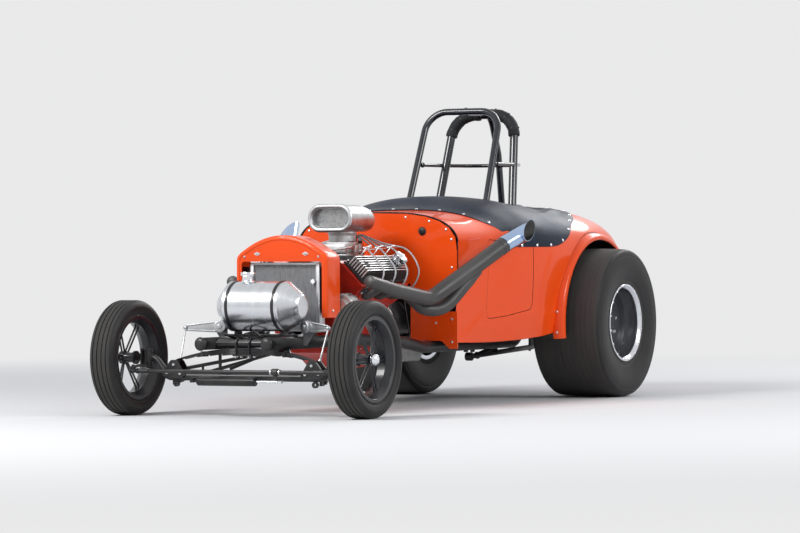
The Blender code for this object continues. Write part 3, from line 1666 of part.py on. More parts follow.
def build_scoop():
    """Oval-mouthed air scoop, hollow, open at the front and under its rear end."""

    def oval(scale_x, scale_z, back, lift=0.0, count=16):
        half_height = scoop_height / 2 * scale_z
        half_width = scoop_half_width * scale_x
        straight = max(half_width - half_height, 0.0)
        points = []
        for k in range(count):
            a = 2 * math.pi * k / count
            shift = straight if math.cos(a) >= 0 else -straight
            height = scoop_z + lift + half_height * math.sin(a)
            points.append(at(shift + half_height * math.cos(a), back, height))
        return points

    lip_x = 1 + scoop_lip / scoop_half_width
    lip_z = 1 + scoop_lip / (scoop_height / 2)
    wall_x = 1 - scoop_wall / scoop_half_width
    wall_z = 1 - scoop_wall / (scoop_height / 2)
    outside = lofted(
        (
            oval(0.99, 0.98, scoop_back),
            oval(lip_x, lip_z, scoop_back + scoop_lip),
            oval(lip_x, lip_z, scoop_back + 2.5 * scoop_lip),
            oval(1.0, 1.0, scoop_back + 4 * scoop_lip),
            oval(0.98, 0.98, scoop_back + scoop_length * 0.6),
            oval(0.86, 0.86, scoop_back + scoop_length * 0.9, -0.006),
            oval(0.62, 0.60, scoop_back + scoop_length, -0.012),
        )
    )
    inside = lofted(
        (
            oval(wall_x, wall_z, scoop_back - 0.01),
            oval(wall_x, wall_z, scoop_back + 0.02),
            oval(0.98 * wall_x, 0.98 * wall_z, scoop_back + scoop_length * 0.6),
            oval(0.80 * wall_x, 0.80 * wall_z, scoop_back + scoop_length * 0.88, -0.006),
        )
    )
    outlet = rod(
        at(0, carb_back, scoop_z - scoop_height),
        at(0, carb_back, scoop_z),
        0.060,
        12,
    )
    flat = box(
        at(-scoop_half_width, scoop_back - 0.05, scoop_z - scoop_height),
        at(scoop_half_width, scoop_back + scoop_length + 0.05, scoop_z - scoop_height / 2 + 0.0005),
    )
    part("air_scoop", cut(outside, inside, outlet, flat), "bare_aluminium")


def build_front_drive():
    """Crank and pump pulleys on their hubs, and the alternator beside them."""
    face = engine_front - seat_gap
    crank = turned(
        (
            (0, 0), (0, 0.085), (0.018, 0.085), (0.026, 0.070), (0.034, 0.085),
            (0.050, 0.085), (0.050, 0.03), (0.074, 0.03), (0.074, 0),
        ),
        at(0, face - 0.080, crank_z),
        (0, 1, 0),
        16,
    )
    pump = turned(
        (
            (0, 0), (0, 0.066), (0.016, 0.066), (0.023, 0.052), (0.030, 0.066),
            (0.040, 0.066), (0.040, 0.045), (0.080, 0.060), (0.080, 0),
        ),
        at(0, face - 0.080, 0.585),
        (0, 1, 0),
        14,
    )
    case = box(at(-0.110, face - 0.030, 0.480), at(0.110, face, 0.620))
    spine = box(at(-0.042, face - 0.026, crank_z - 0.02), at(0.042, face - 0.004, 0.600))
    alternator = turned(
        (
            (0, 0), (0, 0.034), (0.018, 0.034), (0.020, 0.056),
            (0.030, 0.060), (0.092, 0.060), (0.104, 0.048), (0.104, 0),
        ),
        at(0.235, face - 0.104, 0.540),
        (0, 1, 0),
        14,
    )
    bracket = box(at(0.080, face - 0.024, 0.520), at(0.250, face - 0.008, 0.560))
    part("front_drive", join(case, spine, crank, pump, bracket, alternator), "bare_aluminium")


def header_route(side):
    """The side pipe's middle line: along the heads, then up and outwards past the body."""
    return [
        at(side * 0.385, 0.545, 0.640),
        at(side * 0.415, 0.745, 0.597),
        at(side * 0.440, 1.080, 0.545),
        at(side * 0.560, 1.365, 0.712),
        at(side * 0.625, 1.540, 0.812),
    ]


def build_header(tag, side):
    route = bent(header_route(side), 0.14, 3)
    count = len(route)
    radii = [
        header_radius_front + (header_radius_rear - header_radius_front) * min(1.0, i / (count * 0.6))
        for i in range(count)
    ]
    pipe = tube(route, header_radius_rear, 10, radii=radii)
    stubs = []
    gap = engine_length / 4
    for k in range(4):
        back = engine_front + gap * (k + 0.5)
        share = (back - 0.545) / (1.080 - 0.545)
        end = header_route(side)[0].lerp(header_route(side)[2], share)
        start = at(side * (bank_low[0] - 0.030), back, bank_low[1] - 0.030)
        slope = Vector((side * 0.7071, 0, -0.7071))
        seat = start + slope * seat_gap
        stubs.append(tube([seat + slope * 0.004, seat + slope * 0.035, end], 0.020))
        stubs.append(disc(seat + slope * 0.005, slope, 0.032, 0.010, 8))
    part("header_" + tag, join(pipe, *stubs), "coated_black")


def build_tip(tag, side):
    """Polished tail pipe with a slanted open end, butted to the header."""
    line = header_route(side)
    start = line[-1]
    run = (line[-1] - line[-2]).normalized()
    begin = start + run * seat_gap
    end = begin + run * 0.235 + Vector((side * 0.02, 0, -0.01))
    middle = begin.lerp(end, 0.5)
    bore = tip_radius - tip_wall
    pipe = tube([begin, begin + run * 0.02, middle, end], tip_radius, 14, bore=bore)
    slant = Vector((side * 0.75, 0.45, 0.35)).normalized()
    far = tube([end - run * 0.045, end - run * 0.045 + slant * 0.3], 0.30, 4)
    part("exhaust_tip_" + tag, cut(pipe, far), "polished_metal")


def build_gearbox():
    """Bell housing, case, pan and tail housing."""
    front = at(0, engine_rear + seat_gap, crank_z)
    length = gearbox_length
    turned_case = turned(
        (
            (0, 0), (0, bell_radius), (0.025, bell_radius), (0.16, case_radius + 0.015),
            (0.19, case_radius), (0.56, case_radius), (0.60, tail_radius + 0.02),
            (0.64, tail_radius), (length - 0.02, tail_radius), (length, 0.040), (length, 0),
        ),
        front,
        (0, 1, 0),
        16,
    )
    pan = lofted(
        (
            [Vector((x, y, crank_z - 0.07)) for x, y in rectangle(0.125, front.y + 0.20, front.y + 0.55)],
            [Vector((x, y, crank_z - 0.15)) for x, y in rectangle(0.125, front.y + 0.20, front.y + 0.55)],
            [Vector((x, y, crank_z - 0.20)) for x, y in rectangle(0.105, front.y + 0.22, front.y + 0.53)],
        )
    )
    part("gearbox", join(turned_case, pan), "bare_aluminium")


def build_shaft():
    start = at(0, gearbox_rear + 0.0012, crank_z)
    end = at(0, wheelbase - 0.150 - 0.0012, rear_tyre_radius)
    span = (end - start).length
    neck = shaft_radius * 0.45
    profile = (
        (0, 0),
        (0, neck),
        (0.030, neck),
        (0.040, shaft_radius),
        (span - 0.040, shaft_radius),
        (span - 0.030, neck),
        (span, neck),
        (span, 0),
    )
    barrel = turned(profile, start, end - start, 14)
    part("propeller_shaft", barrel, "sheet_steel")


def main():
    clear_scene()
    make_finishes()
    build_frame()
    build_front_axle()
    build_spring()
    build_tie_rod()
    build_steering_damper()
    build_tank()
    build_cradle()
    build_radiator_shell()
    build_radiator()
    build_engine()
    build_intake()
    build_scoop()
    build_front_drive()
    build_gearbox()
    build_shaft()
    build_rear_axle()
    build_firewall()
    build_body()
    build_floor()
    build_tonneau()
    build_cage()
    build_padding()
    build_steering_wheel()
    build_seat()
    for tag, side in SIDES:
        build_radius_rod(tag, side)
        build_lever_damper(tag, side)
        build_knuckle(tag, side)
        build_front_wheel(tag, side)
        build_rear_wheel(tag, side)
        build_valve_cover(tag, side)
        build_header(tag, side)
        build_tip(tag, side)
        build_fender(tag, side)
        build_coilover(tag, side)


main()
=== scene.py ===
# %% [markdown]
# # Dressing a drag racing car
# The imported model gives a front-engined drag racing car as plain solids. This lesson builds the parts
# that the eye meets on top of it: tyres, spoke wheels, body, engine, pipes, cage and trim, each with a
# finish made from nodes. Lengths are in metres, +X is the car's left, -Y is forward and +Z is up.

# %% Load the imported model
import math

import bmesh
import bpy
from mathutils import Matrix, Vector
from mathutils.bvhtree import BVHTree


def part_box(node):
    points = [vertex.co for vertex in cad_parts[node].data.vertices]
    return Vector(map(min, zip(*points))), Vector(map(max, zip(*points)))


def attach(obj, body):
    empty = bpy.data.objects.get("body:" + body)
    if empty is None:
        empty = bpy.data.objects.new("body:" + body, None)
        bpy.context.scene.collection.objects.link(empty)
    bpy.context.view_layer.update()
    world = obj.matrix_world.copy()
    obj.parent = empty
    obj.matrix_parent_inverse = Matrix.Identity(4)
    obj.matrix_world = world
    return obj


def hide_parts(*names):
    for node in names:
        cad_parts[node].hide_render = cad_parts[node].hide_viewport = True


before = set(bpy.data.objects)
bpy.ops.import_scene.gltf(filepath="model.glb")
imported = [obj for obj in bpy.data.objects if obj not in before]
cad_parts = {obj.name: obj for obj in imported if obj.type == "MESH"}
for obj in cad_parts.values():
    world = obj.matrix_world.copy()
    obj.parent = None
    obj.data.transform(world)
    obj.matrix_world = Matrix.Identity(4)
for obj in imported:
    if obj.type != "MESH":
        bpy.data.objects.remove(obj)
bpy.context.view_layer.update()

# %% [markdown]
# ## Where things are
# A mechanic measures a car from its front axle, so each place here is given as its distance behind
# that axle. One small function turns such a place into the model's own coordinates.

# %% The main sizes
wheelbase = 2.70
front_track = 1.30
rear_track = 1.19
front_tyre_radius = 0.279
rear_tyre_radius = 0.394
tail_overhang = 0.66
front_axle_y = front_tyre_radius - (front_tyre_radius + wheelbase + tail_overhang) / 2
SIDES = (("l", "left", 1), ("r", "right", -1))


def at(x, back, z):
    """The point x to the left, back behind the front axle and z above the floor."""
    return Vector((x, front_axle_y + back, z))


print("front axle at Y", round(front_axle_y, 4), "and rear axle at Y", round(front_axle_y + wheelbase, 4))

# %% [markdown]
# ## The camera
# A long lens far away keeps a car's proportions true. Its three directions come from the yaw, pitch
# and roll of the view, written as the columns of a matrix, which is shorter than aiming with a target.

# %% Make the camera
yaw, pitch, roll = 0.48344, -0.00674, -0.00693
ahead = Vector((-math.sin(yaw) * math.cos(pitch), math.cos(yaw) * math.cos(pitch), math.sin(pitch)))
level = Vector((math.cos(yaw), math.sin(yaw), 0.0))
upright = level.cross(ahead)
right = level * math.cos(roll) + upright * math.sin(roll)
above = upright * math.cos(roll) - level * math.sin(roll)
camera = bpy.data.objects.new("camera", bpy.data.cameras.new("camera"))
bpy.context.scene.collection.objects.link(camera)
camera.matrix_world = Matrix.Translation(at(9.24711, -16.01373, 0.83862)) @ (
    Matrix((right, above, -ahead)).transposed().to_4x4()
)
camera.data.sensor_width = 36.0
camera.data.lens = 173.75
camera.data.clip_end = 500.0
bpy.context.scene.camera = camera
print("camera", round((camera.location - at(0, 1.35, 0.6)).length, 2), "m from the car")

# %% [markdown]
# ## A short way to write nodes
# Shader trees and geometry trees are both made of nodes with named sockets. One helper adds a node,
# sets its options and fills its sockets with either a value or a link, so a tree reads like a list.


# %% Helper for node trees
class Board:
    """A node tree with a short way to add and join its nodes."""

    def __init__(self, tree):
        self.tree = tree

    def add(self, kind, sockets=None, **options):
        node = self.tree.nodes.new(kind)
        for key, value in options.items():
            setattr(node, key, value)
        for key, value in (sockets or {}).items():
            if isinstance(value, bpy.types.NodeSocket):
                self.tree.links.new(value, node.inputs[key])
            else:
                node.inputs[key].default_value = value
        return node

    def math(self, operation, *values, clamp=False):
        sockets = dict(enumerate(values))
        return self.add("ShaderNodeMath", sockets, operation=operation, use_clamp=clamp).outputs[0]

    def remap(self, value, low, high, to_low=0.0, to_high=1.0):
        sockets = {"Value": value, "From Min": low, "From Max": high, "To Min": to_low, "To Max": to_high}
        return self.add("ShaderNodeMapRange", sockets).outputs["Result"]

    def blend(self, factor, one, two, mode="MIX"):
        sockets = {0: factor, 6: one, 7: two}
        return self.add("ShaderNodeMix", sockets, data_type="RGBA", blend_type=mode).outputs[2]


def new_group(name, kind, inputs, outputs):
    """An empty node group with named sockets, ready to be filled."""
    tree = bpy.data.node_groups.new(name, kind)
    for socket, sort, value in inputs:
        made = tree.interface.new_socket(socket, in_out="INPUT", socket_type=sort)
        if value is not None:
            made.default_value = value
    for socket, sort in outputs:
        tree.interface.new_socket(socket, in_out="OUTPUT", socket_type=sort)
    board = Board(tree)
    return board, board.add("NodeGroupInput").outputs, board.add("NodeGroupOutput").inputs


# %% [markdown]
# ## Effects that many finishes share
# Paint, metal and rubber all vary a little over a surface, gather dust where they face up and rub
# bare at their edges. Each effect is built once as a node group with named sockets, and every finish
# then asks for as much of it as it needs. The groups give out masks only, never a shader.

# %% Group: grain over a surface
board, given, made = new_group(
    "surface_grain",
    "ShaderNodeTree",
    (
        ("Stretch", "NodeSocketVector", (1.0, 1.0, 1.0)),
        ("Scale", "NodeSocketFloat", 20.0),
        ("Detail", "NodeSocketFloat", 4.0),
    ),
    (("Value", "NodeSocketFloat"),),
)
place = board.add("ShaderNodeTexCoord").outputs["Object"]
spread = board.add("ShaderNodeMapping", {"Vector": place, "Scale": given["Stretch"]}).outputs["Vector"]
cloud = board.add("ShaderNodeTexNoise",
                  {"Vector": spread, "Scale": given["Scale"], "Detail": given["Detail"]})
board.tree.links.new(board.remap(cloud.outputs["Fac"], 0.28, 0.72), made["Value"])
surface_grain = board.tree
print("group", surface_grain.name)

# %% Group: dust that settles on what faces up, and low down
board, given, made = new_group(
    "settled_dust",
    "ShaderNodeTree",
    (("Amount", "NodeSocketFloat", 0.3), ("Scale", "NodeSocketFloat", 9.0)),
    (("Mask", "NodeSocketFloat"),),
)
facing = board.add("ShaderNodeSeparateXYZ", {0: board.add("ShaderNodeNewGeometry").outputs["Normal"]})
place = board.add("ShaderNodeTexCoord").outputs["Object"]
height = board.add("ShaderNodeSeparateXYZ", {0: place}).outputs["Z"]
cloud = board.add("ShaderNodeTexNoise", {"Vector": place, "Scale": given["Scale"], "Detail": 6.0})
patches = board.remap(cloud.outputs["Fac"], 0.35, 0.75)
top = board.math("MULTIPLY", board.remap(facing.outputs["Z"], 0.1, 1.0), 0.45)
low = board.math("MULTIPLY", board.remap(height, 0.55, 0.15), 0.55)
both = board.math("MULTIPLY", board.math("ADD", top, low), patches)
board.tree.links.new(board.math("MULTIPLY", both, given["Amount"], clamp=True), made["Mask"])
settled_dust = board.tree
print("group", settled_dust.name)

# %% Group: edges rubbed bare
board, given, made = new_group(
    "edge_rub",
    "ShaderNodeTree",
    (("Width", "NodeSocketFloat", 0.002), ("Amount", "NodeSocketFloat", 0.5)),
    (("Mask", "NodeSocketFloat"),),
)
plain = board.add("ShaderNodeNewGeometry").outputs["Normal"]
round_off = board.add("ShaderNodeBevel", {"Radius": given["Width"]}, samples=4).outputs["Normal"]
along = board.add("ShaderNodeVectorMath", {0: plain, 1: round_off},
                  operation="DOT_PRODUCT").outputs["Value"]
place = board.add("ShaderNodeTexCoord").outputs["Object"]
cloud = board.add("ShaderNodeTexNoise", {"Vector": place, "Scale": 60.0, "Detail": 3.0}).outputs["Fac"]
edge = board.math("MULTIPLY", board.remap(along, 0.985, 0.80), board.remap(cloud, 0.40, 0.62))
board.tree.links.new(board.math("MULTIPLY", edge, given["Amount"], clamp=True), made["Mask"])
edge_rub = board.tree
print("group", edge_rub.name)

# %% Group: threads of a woven cloth, over and under
board, given, made = new_group(
    "cloth_weave",
    "ShaderNodeTree",
    (("Vector", "NodeSocketVector", None), ("Threads", "NodeSocketFloat", 400.0)),
    (("Height", "NodeSocketFloat"),),
)
bands = []
for direction in ("X", "Y"):
    sockets = {"Vector": given["Vector"], "Scale": given["Threads"], "Distortion": 0.4}
    wave = board.add("ShaderNodeTexWave", sockets, bands_direction=direction, wave_profile="SIN")
    bands.append(wave.outputs["Fac"])
board.tree.links.new(board.math("MULTIPLY", *bands), made["Height"])
cloth_weave = board.tree
print("group", cloth_weave.name)

# %% [markdown]
# ## One recipe for hard finishes
# Most finishes are a base colour that drifts a little, a roughness that drifts with it, a fine bump,
# some dust and some rubbed edges. A table then says how much of each a finish has, which keeps the
# whole palette in one place. Plain values such as metallic are set on the shader itself.


# %% Helper that makes a finish
def finish(name, colour, rough, metallic=0.0, coat=0.0, grain=18.0, stretch=(1, 1, 1), drift=0.10,
           bump=0.05, dust=0.25, rub=0.0, under=(0.55, 0.56, 0.58), coat_rough=0.06, shine=0.5):
    """A material of one base colour with drift, bump, dust and rubbed edges."""
    material = bpy.data.materials.new(name)
    material.use_nodes = True
    board = Board(material.node_tree)
    shader = material.node_tree.nodes["Principled BSDF"]
    drifting = board.add("ShaderNodeGroup", {"Stretch": stretch, "Scale": grain}, node_tree=surface_grain)
    value = drifting.outputs["Value"]
    dark = (*[c * (1 - drift) for c in colour], 1.0)
    light = (*[min(c * (1 + drift), 1.0) for c in colour], 1.0)
    shown = board.blend(value, dark, light)
    roughness = board.remap(value, 0.0, 1.0, rough * 0.85, min(rough * 1.18, 1.0))
    if rub:
        edge = board.add("ShaderNodeGroup", {"Amount": rub}, node_tree=edge_rub)
        shown = board.blend(edge.outputs["Mask"], shown, (*under, 1.0))
    if dust:
        settled = board.add("ShaderNodeGroup", {"Amount": dust}, node_tree=settled_dust)
        shown = board.blend(settled.outputs["Mask"], shown, (0.16, 0.145, 0.125, 1.0))
        roughness = board.math("ADD", roughness, board.math("MULTIPLY", settled.outputs["Mask"], 0.5),
                               clamp=True)
    board.tree.links.new(shown, shader.inputs["Base Color"])
    board.tree.links.new(roughness, shader.inputs["Roughness"])
    if bump:
        sockets = {"Stretch": stretch, "Scale": grain * 14}
        fine = board.add("ShaderNodeGroup", sockets, node_tree=surface_grain)
        raised = board.add("ShaderNodeBump",
                           {"Height": fine.outputs["Value"], "Strength": bump, "Distance": 0.001})
        board.tree.links.new(raised.outputs["Normal"], shader.inputs["Normal"])
    shader.inputs["Metallic"].default_value = metallic
    shader.inputs["Specular IOR Level"].default_value = shine
    shader.inputs["Coat Weight"].default_value = coat
    shader.inputs["Coat Roughness"].default_value = coat_rough
    return material

# %% [markdown]
# ## The palette
# The body is a bright red-orange enamel under a clear coat. The chassis is black and satin, the pipes
# are dull black, and the bare metals range from a spun tank to bright chrome. Rubbed edges belong on
# brackets and pipes, not on the show paint, so only those finishes ask for them.

# %% Finishes for paint and metal
orange_paint = finish("orange_body_paint", (0.93, 0.080, 0.003), 0.36, coat=0.45, grain=1.6, drift=0.035,
                      bump=0.0, dust=0.04, coat_rough=0.04, shine=0.15)
frame_black = finish("chassis_black", (0.010, 0.010, 0.012), 0.34, coat=0.15, grain=9.0, drift=0.25,
                     bump=0.04, dust=0.30, rub=0.25, under=(0.16, 0.155, 0.15), coat_rough=0.2, shine=0.4)
cage_black = finish("cage_black_gloss", (0.006, 0.008, 0.014), 0.20, coat=0.6, grain=7.0, drift=0.2,
                    bump=0.01, dust=0.05, shine=0.4)
engine_red = finish("engine_red_enamel", (0.55, 0.020, 0.006), 0.42, coat=0.3, grain=14.0, drift=0.22,
                    bump=0.12, dust=0.35, rub=0.2, under=(0.25, 0.10, 0.07), shine=0.35)
cover_black = finish("cover_wrinkle_black", (0.012, 0.011, 0.012), 0.50, grain=40.0, drift=0.3,
                     bump=0.35, dust=0.25, rub=0.4, under=(0.45, 0.45, 0.46), shine=0.45)
pipe_coating = finish("pipe_heat_coating", (0.050, 0.048, 0.047), 0.42, grain=6.0, drift=0.25,
                      bump=0.10, dust=0.15, rub=0.08, under=(0.22, 0.20, 0.18), shine=0.5)
chrome = finish("bright_chrome", (0.80, 0.82, 0.86), 0.06, metallic=1.0, grain=8.0, drift=0.03,
                bump=0.0, dust=0.05)
# The blue base colour of this chrome is a painted sky reflection on plain chrome, not a blued finish.
chrome_painted_sky_blue = finish("pipe_tip_chrome_painted_sky_blue", (0.42, 0.54, 0.76), 0.10, metallic=1.0, grain=8.0,
                      drift=0.06,
                      bump=0.0, dust=0.05)
polished = finish("polished_aluminium", (0.72, 0.74, 0.78), 0.18, metallic=1.0, grain=12.0,
                  drift=0.06, bump=0.02, dust=0.12)
satin_metal = finish("satin_aluminium", (0.55, 0.56, 0.57), 0.36, metallic=1.0, grain=26.0,
                     drift=0.10, bump=0.06, dust=0.15)
brushed_round = finish("tank_spun_aluminium", (0.66, 0.68, 0.71), 0.25, metallic=1.0, grain=4.0,
                       stretch=(7.0, 0.5, 0.5), drift=0.05, bump=0.012, dust=0.10)
cast_metal = finish("cast_aluminium", (0.52, 0.52, 0.52), 0.48, metallic=1.0, grain=30.0, drift=0.18,
                    bump=0.35, dust=0.35)
zinc = finish("zinc_screws", (0.72, 0.73, 0.74), 0.28, metallic=1.0, grain=60.0, drift=0.1, bump=0.03,
              dust=0.05)
sheet_steel = finish("floor_sheet_steel", (0.16, 0.16, 0.17), 0.50, metallic=1.0, grain=6.0,
                     stretch=(1.0, 4.0, 1.0), drift=0.2, bump=0.10, dust=0.5)
dark_wheel = finish("wheel_centre_dark", (0.016, 0.017, 0.021), 0.36, metallic=0.2, grain=10.0,
                    drift=0.2, bump=0.06, dust=0.2, shine=0.4)
spoke_black = finish("spoke_wheel_black", (0.008, 0.009, 0.013), 0.28, coat=0.3, grain=12.0, drift=0.2,
                     bump=0.02, dust=0.25, shine=0.4)
foam = finish("foam_sleeve_black", (0.010, 0.011, 0.014), 0.60, grain=90.0, drift=0.25, bump=0.5, dust=0.10,
              shine=0.35)
hose_rubber = finish("hose_rubber", (0.010, 0.010, 0.010), 0.42, grain=50.0, drift=0.2, bump=0.08,
                     dust=0.25, shine=0.4)
lead_grey = finish("spark_lead_sleeve", (0.46, 0.46, 0.47), 0.50, grain=200.0, drift=0.25, bump=0.3,
                   dust=0.15)
filter_grey = finish("filter_screen_grey", (0.40, 0.40, 0.39), 0.75, grain=160.0, drift=0.30, bump=0.5,
                     dust=0.1)
print(len(bpy.data.materials), "finishes so far")

# %% [markdown]
# ## Tyre rubber
# A tyre is matt black with a brown-grey bloom, and its tread is greyer than its wall where the road
# has scuffed it. The scuffs run round the tyre, so they follow a UV map that goes round with the rubber
# instead of the car's own axes.


# %% Finish for tyres
def rubber(name, colour, rough, streaks, scuff):
    material = bpy.data.materials.new(name)
    material.use_nodes = True
    board = Board(material.node_tree)
    shader = material.node_tree.nodes["Principled BSDF"]
    wrap = board.add("ShaderNodeUVMap", uv_map="wrap").outputs["UV"]
    long = board.add("ShaderNodeMapping", {"Vector": wrap, "Scale": streaks}).outputs["Vector"]
    lines = board.add("ShaderNodeTexNoise", {"Vector": long, "Scale": 6.0, "Detail": 5.0}).outputs["Fac"]
    patchy = board.add("ShaderNodeGroup", {"Scale": 7.0}, node_tree=surface_grain)
    worn = board.math("MULTIPLY", board.remap(lines, 0.40, 0.70), scuff)
    shade = board.blend(worn, (*colour, 1.0), (0.085, 0.080, 0.074, 1.0))
    shade = board.blend(board.math("MULTIPLY", patchy.outputs["Value"], 0.35), shade,
                        (*[c * 1.9 for c in colour], 1.0))
    settled = board.add("ShaderNodeGroup", {"Amount": 0.22}, node_tree=settled_dust)
    shade = board.blend(settled.outputs["Mask"], shade, (0.11, 0.10, 0.09, 1.0))
    board.tree.links.new(shade, shader.inputs["Base Color"])
    board.tree.links.new(board.remap(lines, 0.3, 0.7, rough * 0.85, min(1.0, rough * 1.15)),
                         shader.inputs["Roughness"])
    pores = board.add("ShaderNodeGroup", {"Scale": 260.0}, node_tree=surface_grain)
    height = board.math("ADD", board.math("MULTIPLY", lines, 0.6),
                        board.math("MULTIPLY", pores.outputs["Value"], 0.4))
    raised = board.add("ShaderNodeBump", {"Height": height, "Strength": 0.16, "Distance": 0.0015})
    board.tree.links.new(raised.outputs["Normal"], shader.inputs["Normal"])
    shader.inputs["Specular IOR Level"].default_value = 0.3
    return material


tread_rubber = rubber("tyre_tread_rubber", (0.026, 0.025, 0.024), 0.78, (2.0, 90.0, 1.0), 0.60)
wall_rubber = rubber("tyre_wall_rubber", (0.009, 0.009, 0.010), 0.50, (1.5, 60.0, 1.0), 0.12)
slick_rubber = rubber("slick_tread_rubber", (0.034, 0.033, 0.032), 0.74, (1.0, 40.0, 1.0), 0.55)
print("tyre finishes", tread_rubber.name, wall_rubber.name, slick_rubber.name)

# %% [markdown]
# ## Soft finishes
# The cockpit cover is a grained black vinyl whose bluish gloss is a painted sky reflection, set in its
# blue-tinted base colours and blue specular tint, and the bucket's cushions are a woven cloth.
# Vinyl grain is a net of small cells, made with a Voronoi texture. The weave is two crossed waves that
# are multiplied, so its threads pass over and under each other.

# %% Finish for the vinyl cover
vinyl = bpy.data.materials.new("cover_vinyl")
vinyl.use_nodes = True
board = Board(vinyl.node_tree)
shader = vinyl.node_tree.nodes["Principled BSDF"]
place = board.add("ShaderNodeTexCoord").outputs["Object"]
cells = board.add("ShaderNodeTexVoronoi", {"Vector": place, "Scale": 420.0}, feature="DISTANCE_TO_EDGE")
folds = board.add("ShaderNodeTexNoise", {"Vector": place, "Scale": 5.0, "Detail": 3.0}).outputs["Fac"]
# Both base colours are tinted blue as a painted sky reflection; the noise called folds only varies this
# painted tint and the roughness in loose patches.
shade = board.blend(board.remap(folds, 0.3, 0.7), (0.003, 0.006, 0.014, 1.0), (0.008, 0.015, 0.032, 1.0))
settled = board.add("ShaderNodeGroup", {"Amount": 0.10}, node_tree=settled_dust)
shade = board.blend(settled.outputs["Mask"], shade, (0.05, 0.05, 0.055, 1.0))
board.tree.links.new(shade, shader.inputs["Base Color"])
board.tree.links.new(board.remap(folds, 0.3, 0.7, 0.34, 0.46), shader.inputs["Roughness"])
grain_height = board.remap(cells.outputs["Distance"], 0.0, 0.25)
raised = board.add("ShaderNodeBump", {"Height": grain_height, "Strength": 0.25, "Distance": 0.0006})
board.tree.links.new(raised.outputs["Normal"], shader.inputs["Normal"])
shader.inputs["Specular IOR Level"].default_value = 0.20
# The blue specular tint paints a sky reflection into the vinyl's gloss.
shader.inputs["Specular Tint"].default_value = (0.45, 0.68, 1.0, 1.0)
print("vinyl grain", round(1000 / 420, 1), "mm cells")

# %% Finish for the cushion's cloth
woven_cloth = bpy.data.materials.new("cushion_cloth")
woven_cloth.use_nodes = True
board = Board(woven_cloth.node_tree)
shader = woven_cloth.node_tree.nodes["Principled BSDF"]
place = board.add("ShaderNodeTexCoord").outputs["Object"]
threads = board.add("ShaderNodeGroup", {"Vector": place, "Threads": 260.0}, node_tree=cloth_weave)
shade = board.blend(threads.outputs["Height"], (0.012, 0.012, 0.014, 1.0), (0.050, 0.050, 0.056, 1.0))
board.tree.links.new(shade, shader.inputs["Base Color"])
raised = board.add("ShaderNodeBump",
                   {"Height": threads.outputs["Height"], "Strength": 0.5, "Distance": 0.0008})
board.tree.links.new(raised.outputs["Normal"], shader.inputs["Normal"])
shader.inputs["Roughness"].default_value = 0.9
shader.inputs["Sheen Weight"].default_value = 0.3
print("cloth", woven_cloth.name)

# %% [markdown]
# ## Floor and light
# The floor is pale and matt, so it keeps the car's shadow. Far from the car it turns into plain white,
# the same white that the camera sees in the world, so that no horizon shows. Two large soft lamps and
# a third behind give long clean reflections along the paint, as in a photographer's studio.

# %% Floor
floor_mesh = bpy.data.meshes.new("studio_floor")
floor_mesh.from_pydata([(-90, -90, 0), (90, -90, 0), (90, 90, 0), (-90, 90, 0)], [], [(0, 1, 2, 3)])
studio_floor = bpy.data.objects.new("studio_floor", floor_mesh)
bpy.context.scene.collection.objects.link(studio_floor)
pale = bpy.data.materials.new("floor_pale")
pale.use_nodes = True
board = Board(pale.node_tree)
matt = pale.node_tree.nodes["Principled BSDF"]
matt.inputs["Base Color"].default_value = (0.80, 0.80, 0.79, 1.0)
matt.inputs["Roughness"].default_value = 0.9
matt.inputs["Specular IOR Level"].default_value = 0.1
place = board.add("ShaderNodeTexCoord").outputs["Object"]
away = board.add("ShaderNodeVectorMath", {0: place}, operation="LENGTH").outputs["Value"]
white = board.add("ShaderNodeEmission", {"Color": (0.82, 0.82, 0.825, 1.0), "Strength": 1.0})
fade = board.add("ShaderNodeMapRange", {"Value": away, "From Min": 3.2, "From Max": 9.0},
                 interpolation_type="SMOOTHSTEP")
rays = board.add("ShaderNodeLightPath").outputs
seen = board.math("MAXIMUM", rays["Is Camera Ray"],
                  board.math("MAXIMUM", rays["Is Glossy Ray"], rays["Is Transmission Ray"]))
share = board.math("MULTIPLY", fade.outputs["Result"], seen)
mixed = board.add("ShaderNodeMixShader", {0: share, 1: matt.outputs["BSDF"], 2: white.outputs["Emission"]})
board.tree.links.new(mixed.outputs["Shader"], pale.node_tree.nodes["Material Output"].inputs["Surface"])
floor_mesh.materials.append(pale)
print("floor", studio_floor.name)

# %% World and lamps
world = bpy.data.worlds.new("studio_world")
bpy.context.scene.world = world
world.use_nodes = True
board = Board(world.node_tree)
height = board.add("ShaderNodeSeparateXYZ",
                   {0: board.add("ShaderNodeTexCoord").outputs["Generated"]}).outputs["Z"]
sky = board.blend(board.remap(height, -0.15, 0.55), (0.16, 0.16, 0.165, 1.0), (0.34, 0.36, 0.41, 1.0))
rays = board.add("ShaderNodeLightPath").outputs
seen = board.math("MAXIMUM", rays["Is Camera Ray"],
                  board.math("MAXIMUM", rays["Is Glossy Ray"], rays["Is Transmission Ray"]))
shown = board.blend(seen, sky, (0.82, 0.82, 0.825, 1.0))
backdrop = world.node_tree.nodes["Background"]
board.tree.links.new(shown, backdrop.inputs["Color"])
backdrop.inputs["Strength"].default_value = 1.0
LAMPS = (
    ("key_lamp", (-3.0, -7.5, 6.0), 4.0, 2.5, 640.0),
    ("side_lamp", (7.5, -1.0, 4.2), 5.0, 2.0, 250.0),
    ("back_lamp", (1.0, 8.0, 5.0), 5.0, 2.0, 230.0),
)
for name, where, wide, tall, power in LAMPS:
    lamp = bpy.data.lights.new(name, "AREA")
    lamp.shape = "RECTANGLE"
    lamp.size = wide
    lamp.size_y = tall
    lamp.energy = power
    shining = bpy.data.objects.new(name, lamp)
    bpy.context.scene.collection.objects.link(shining)
    shining.location = where
    shining.rotation_mode = "QUATERNION"
    shining.rotation_quaternion = (Vector((0, 0, 0.5)) - Vector(where)).to_track_quat("-Z", "Y")
bpy.context.scene.view_settings.view_transform = "Standard"
print(len(LAMPS), "lamps")

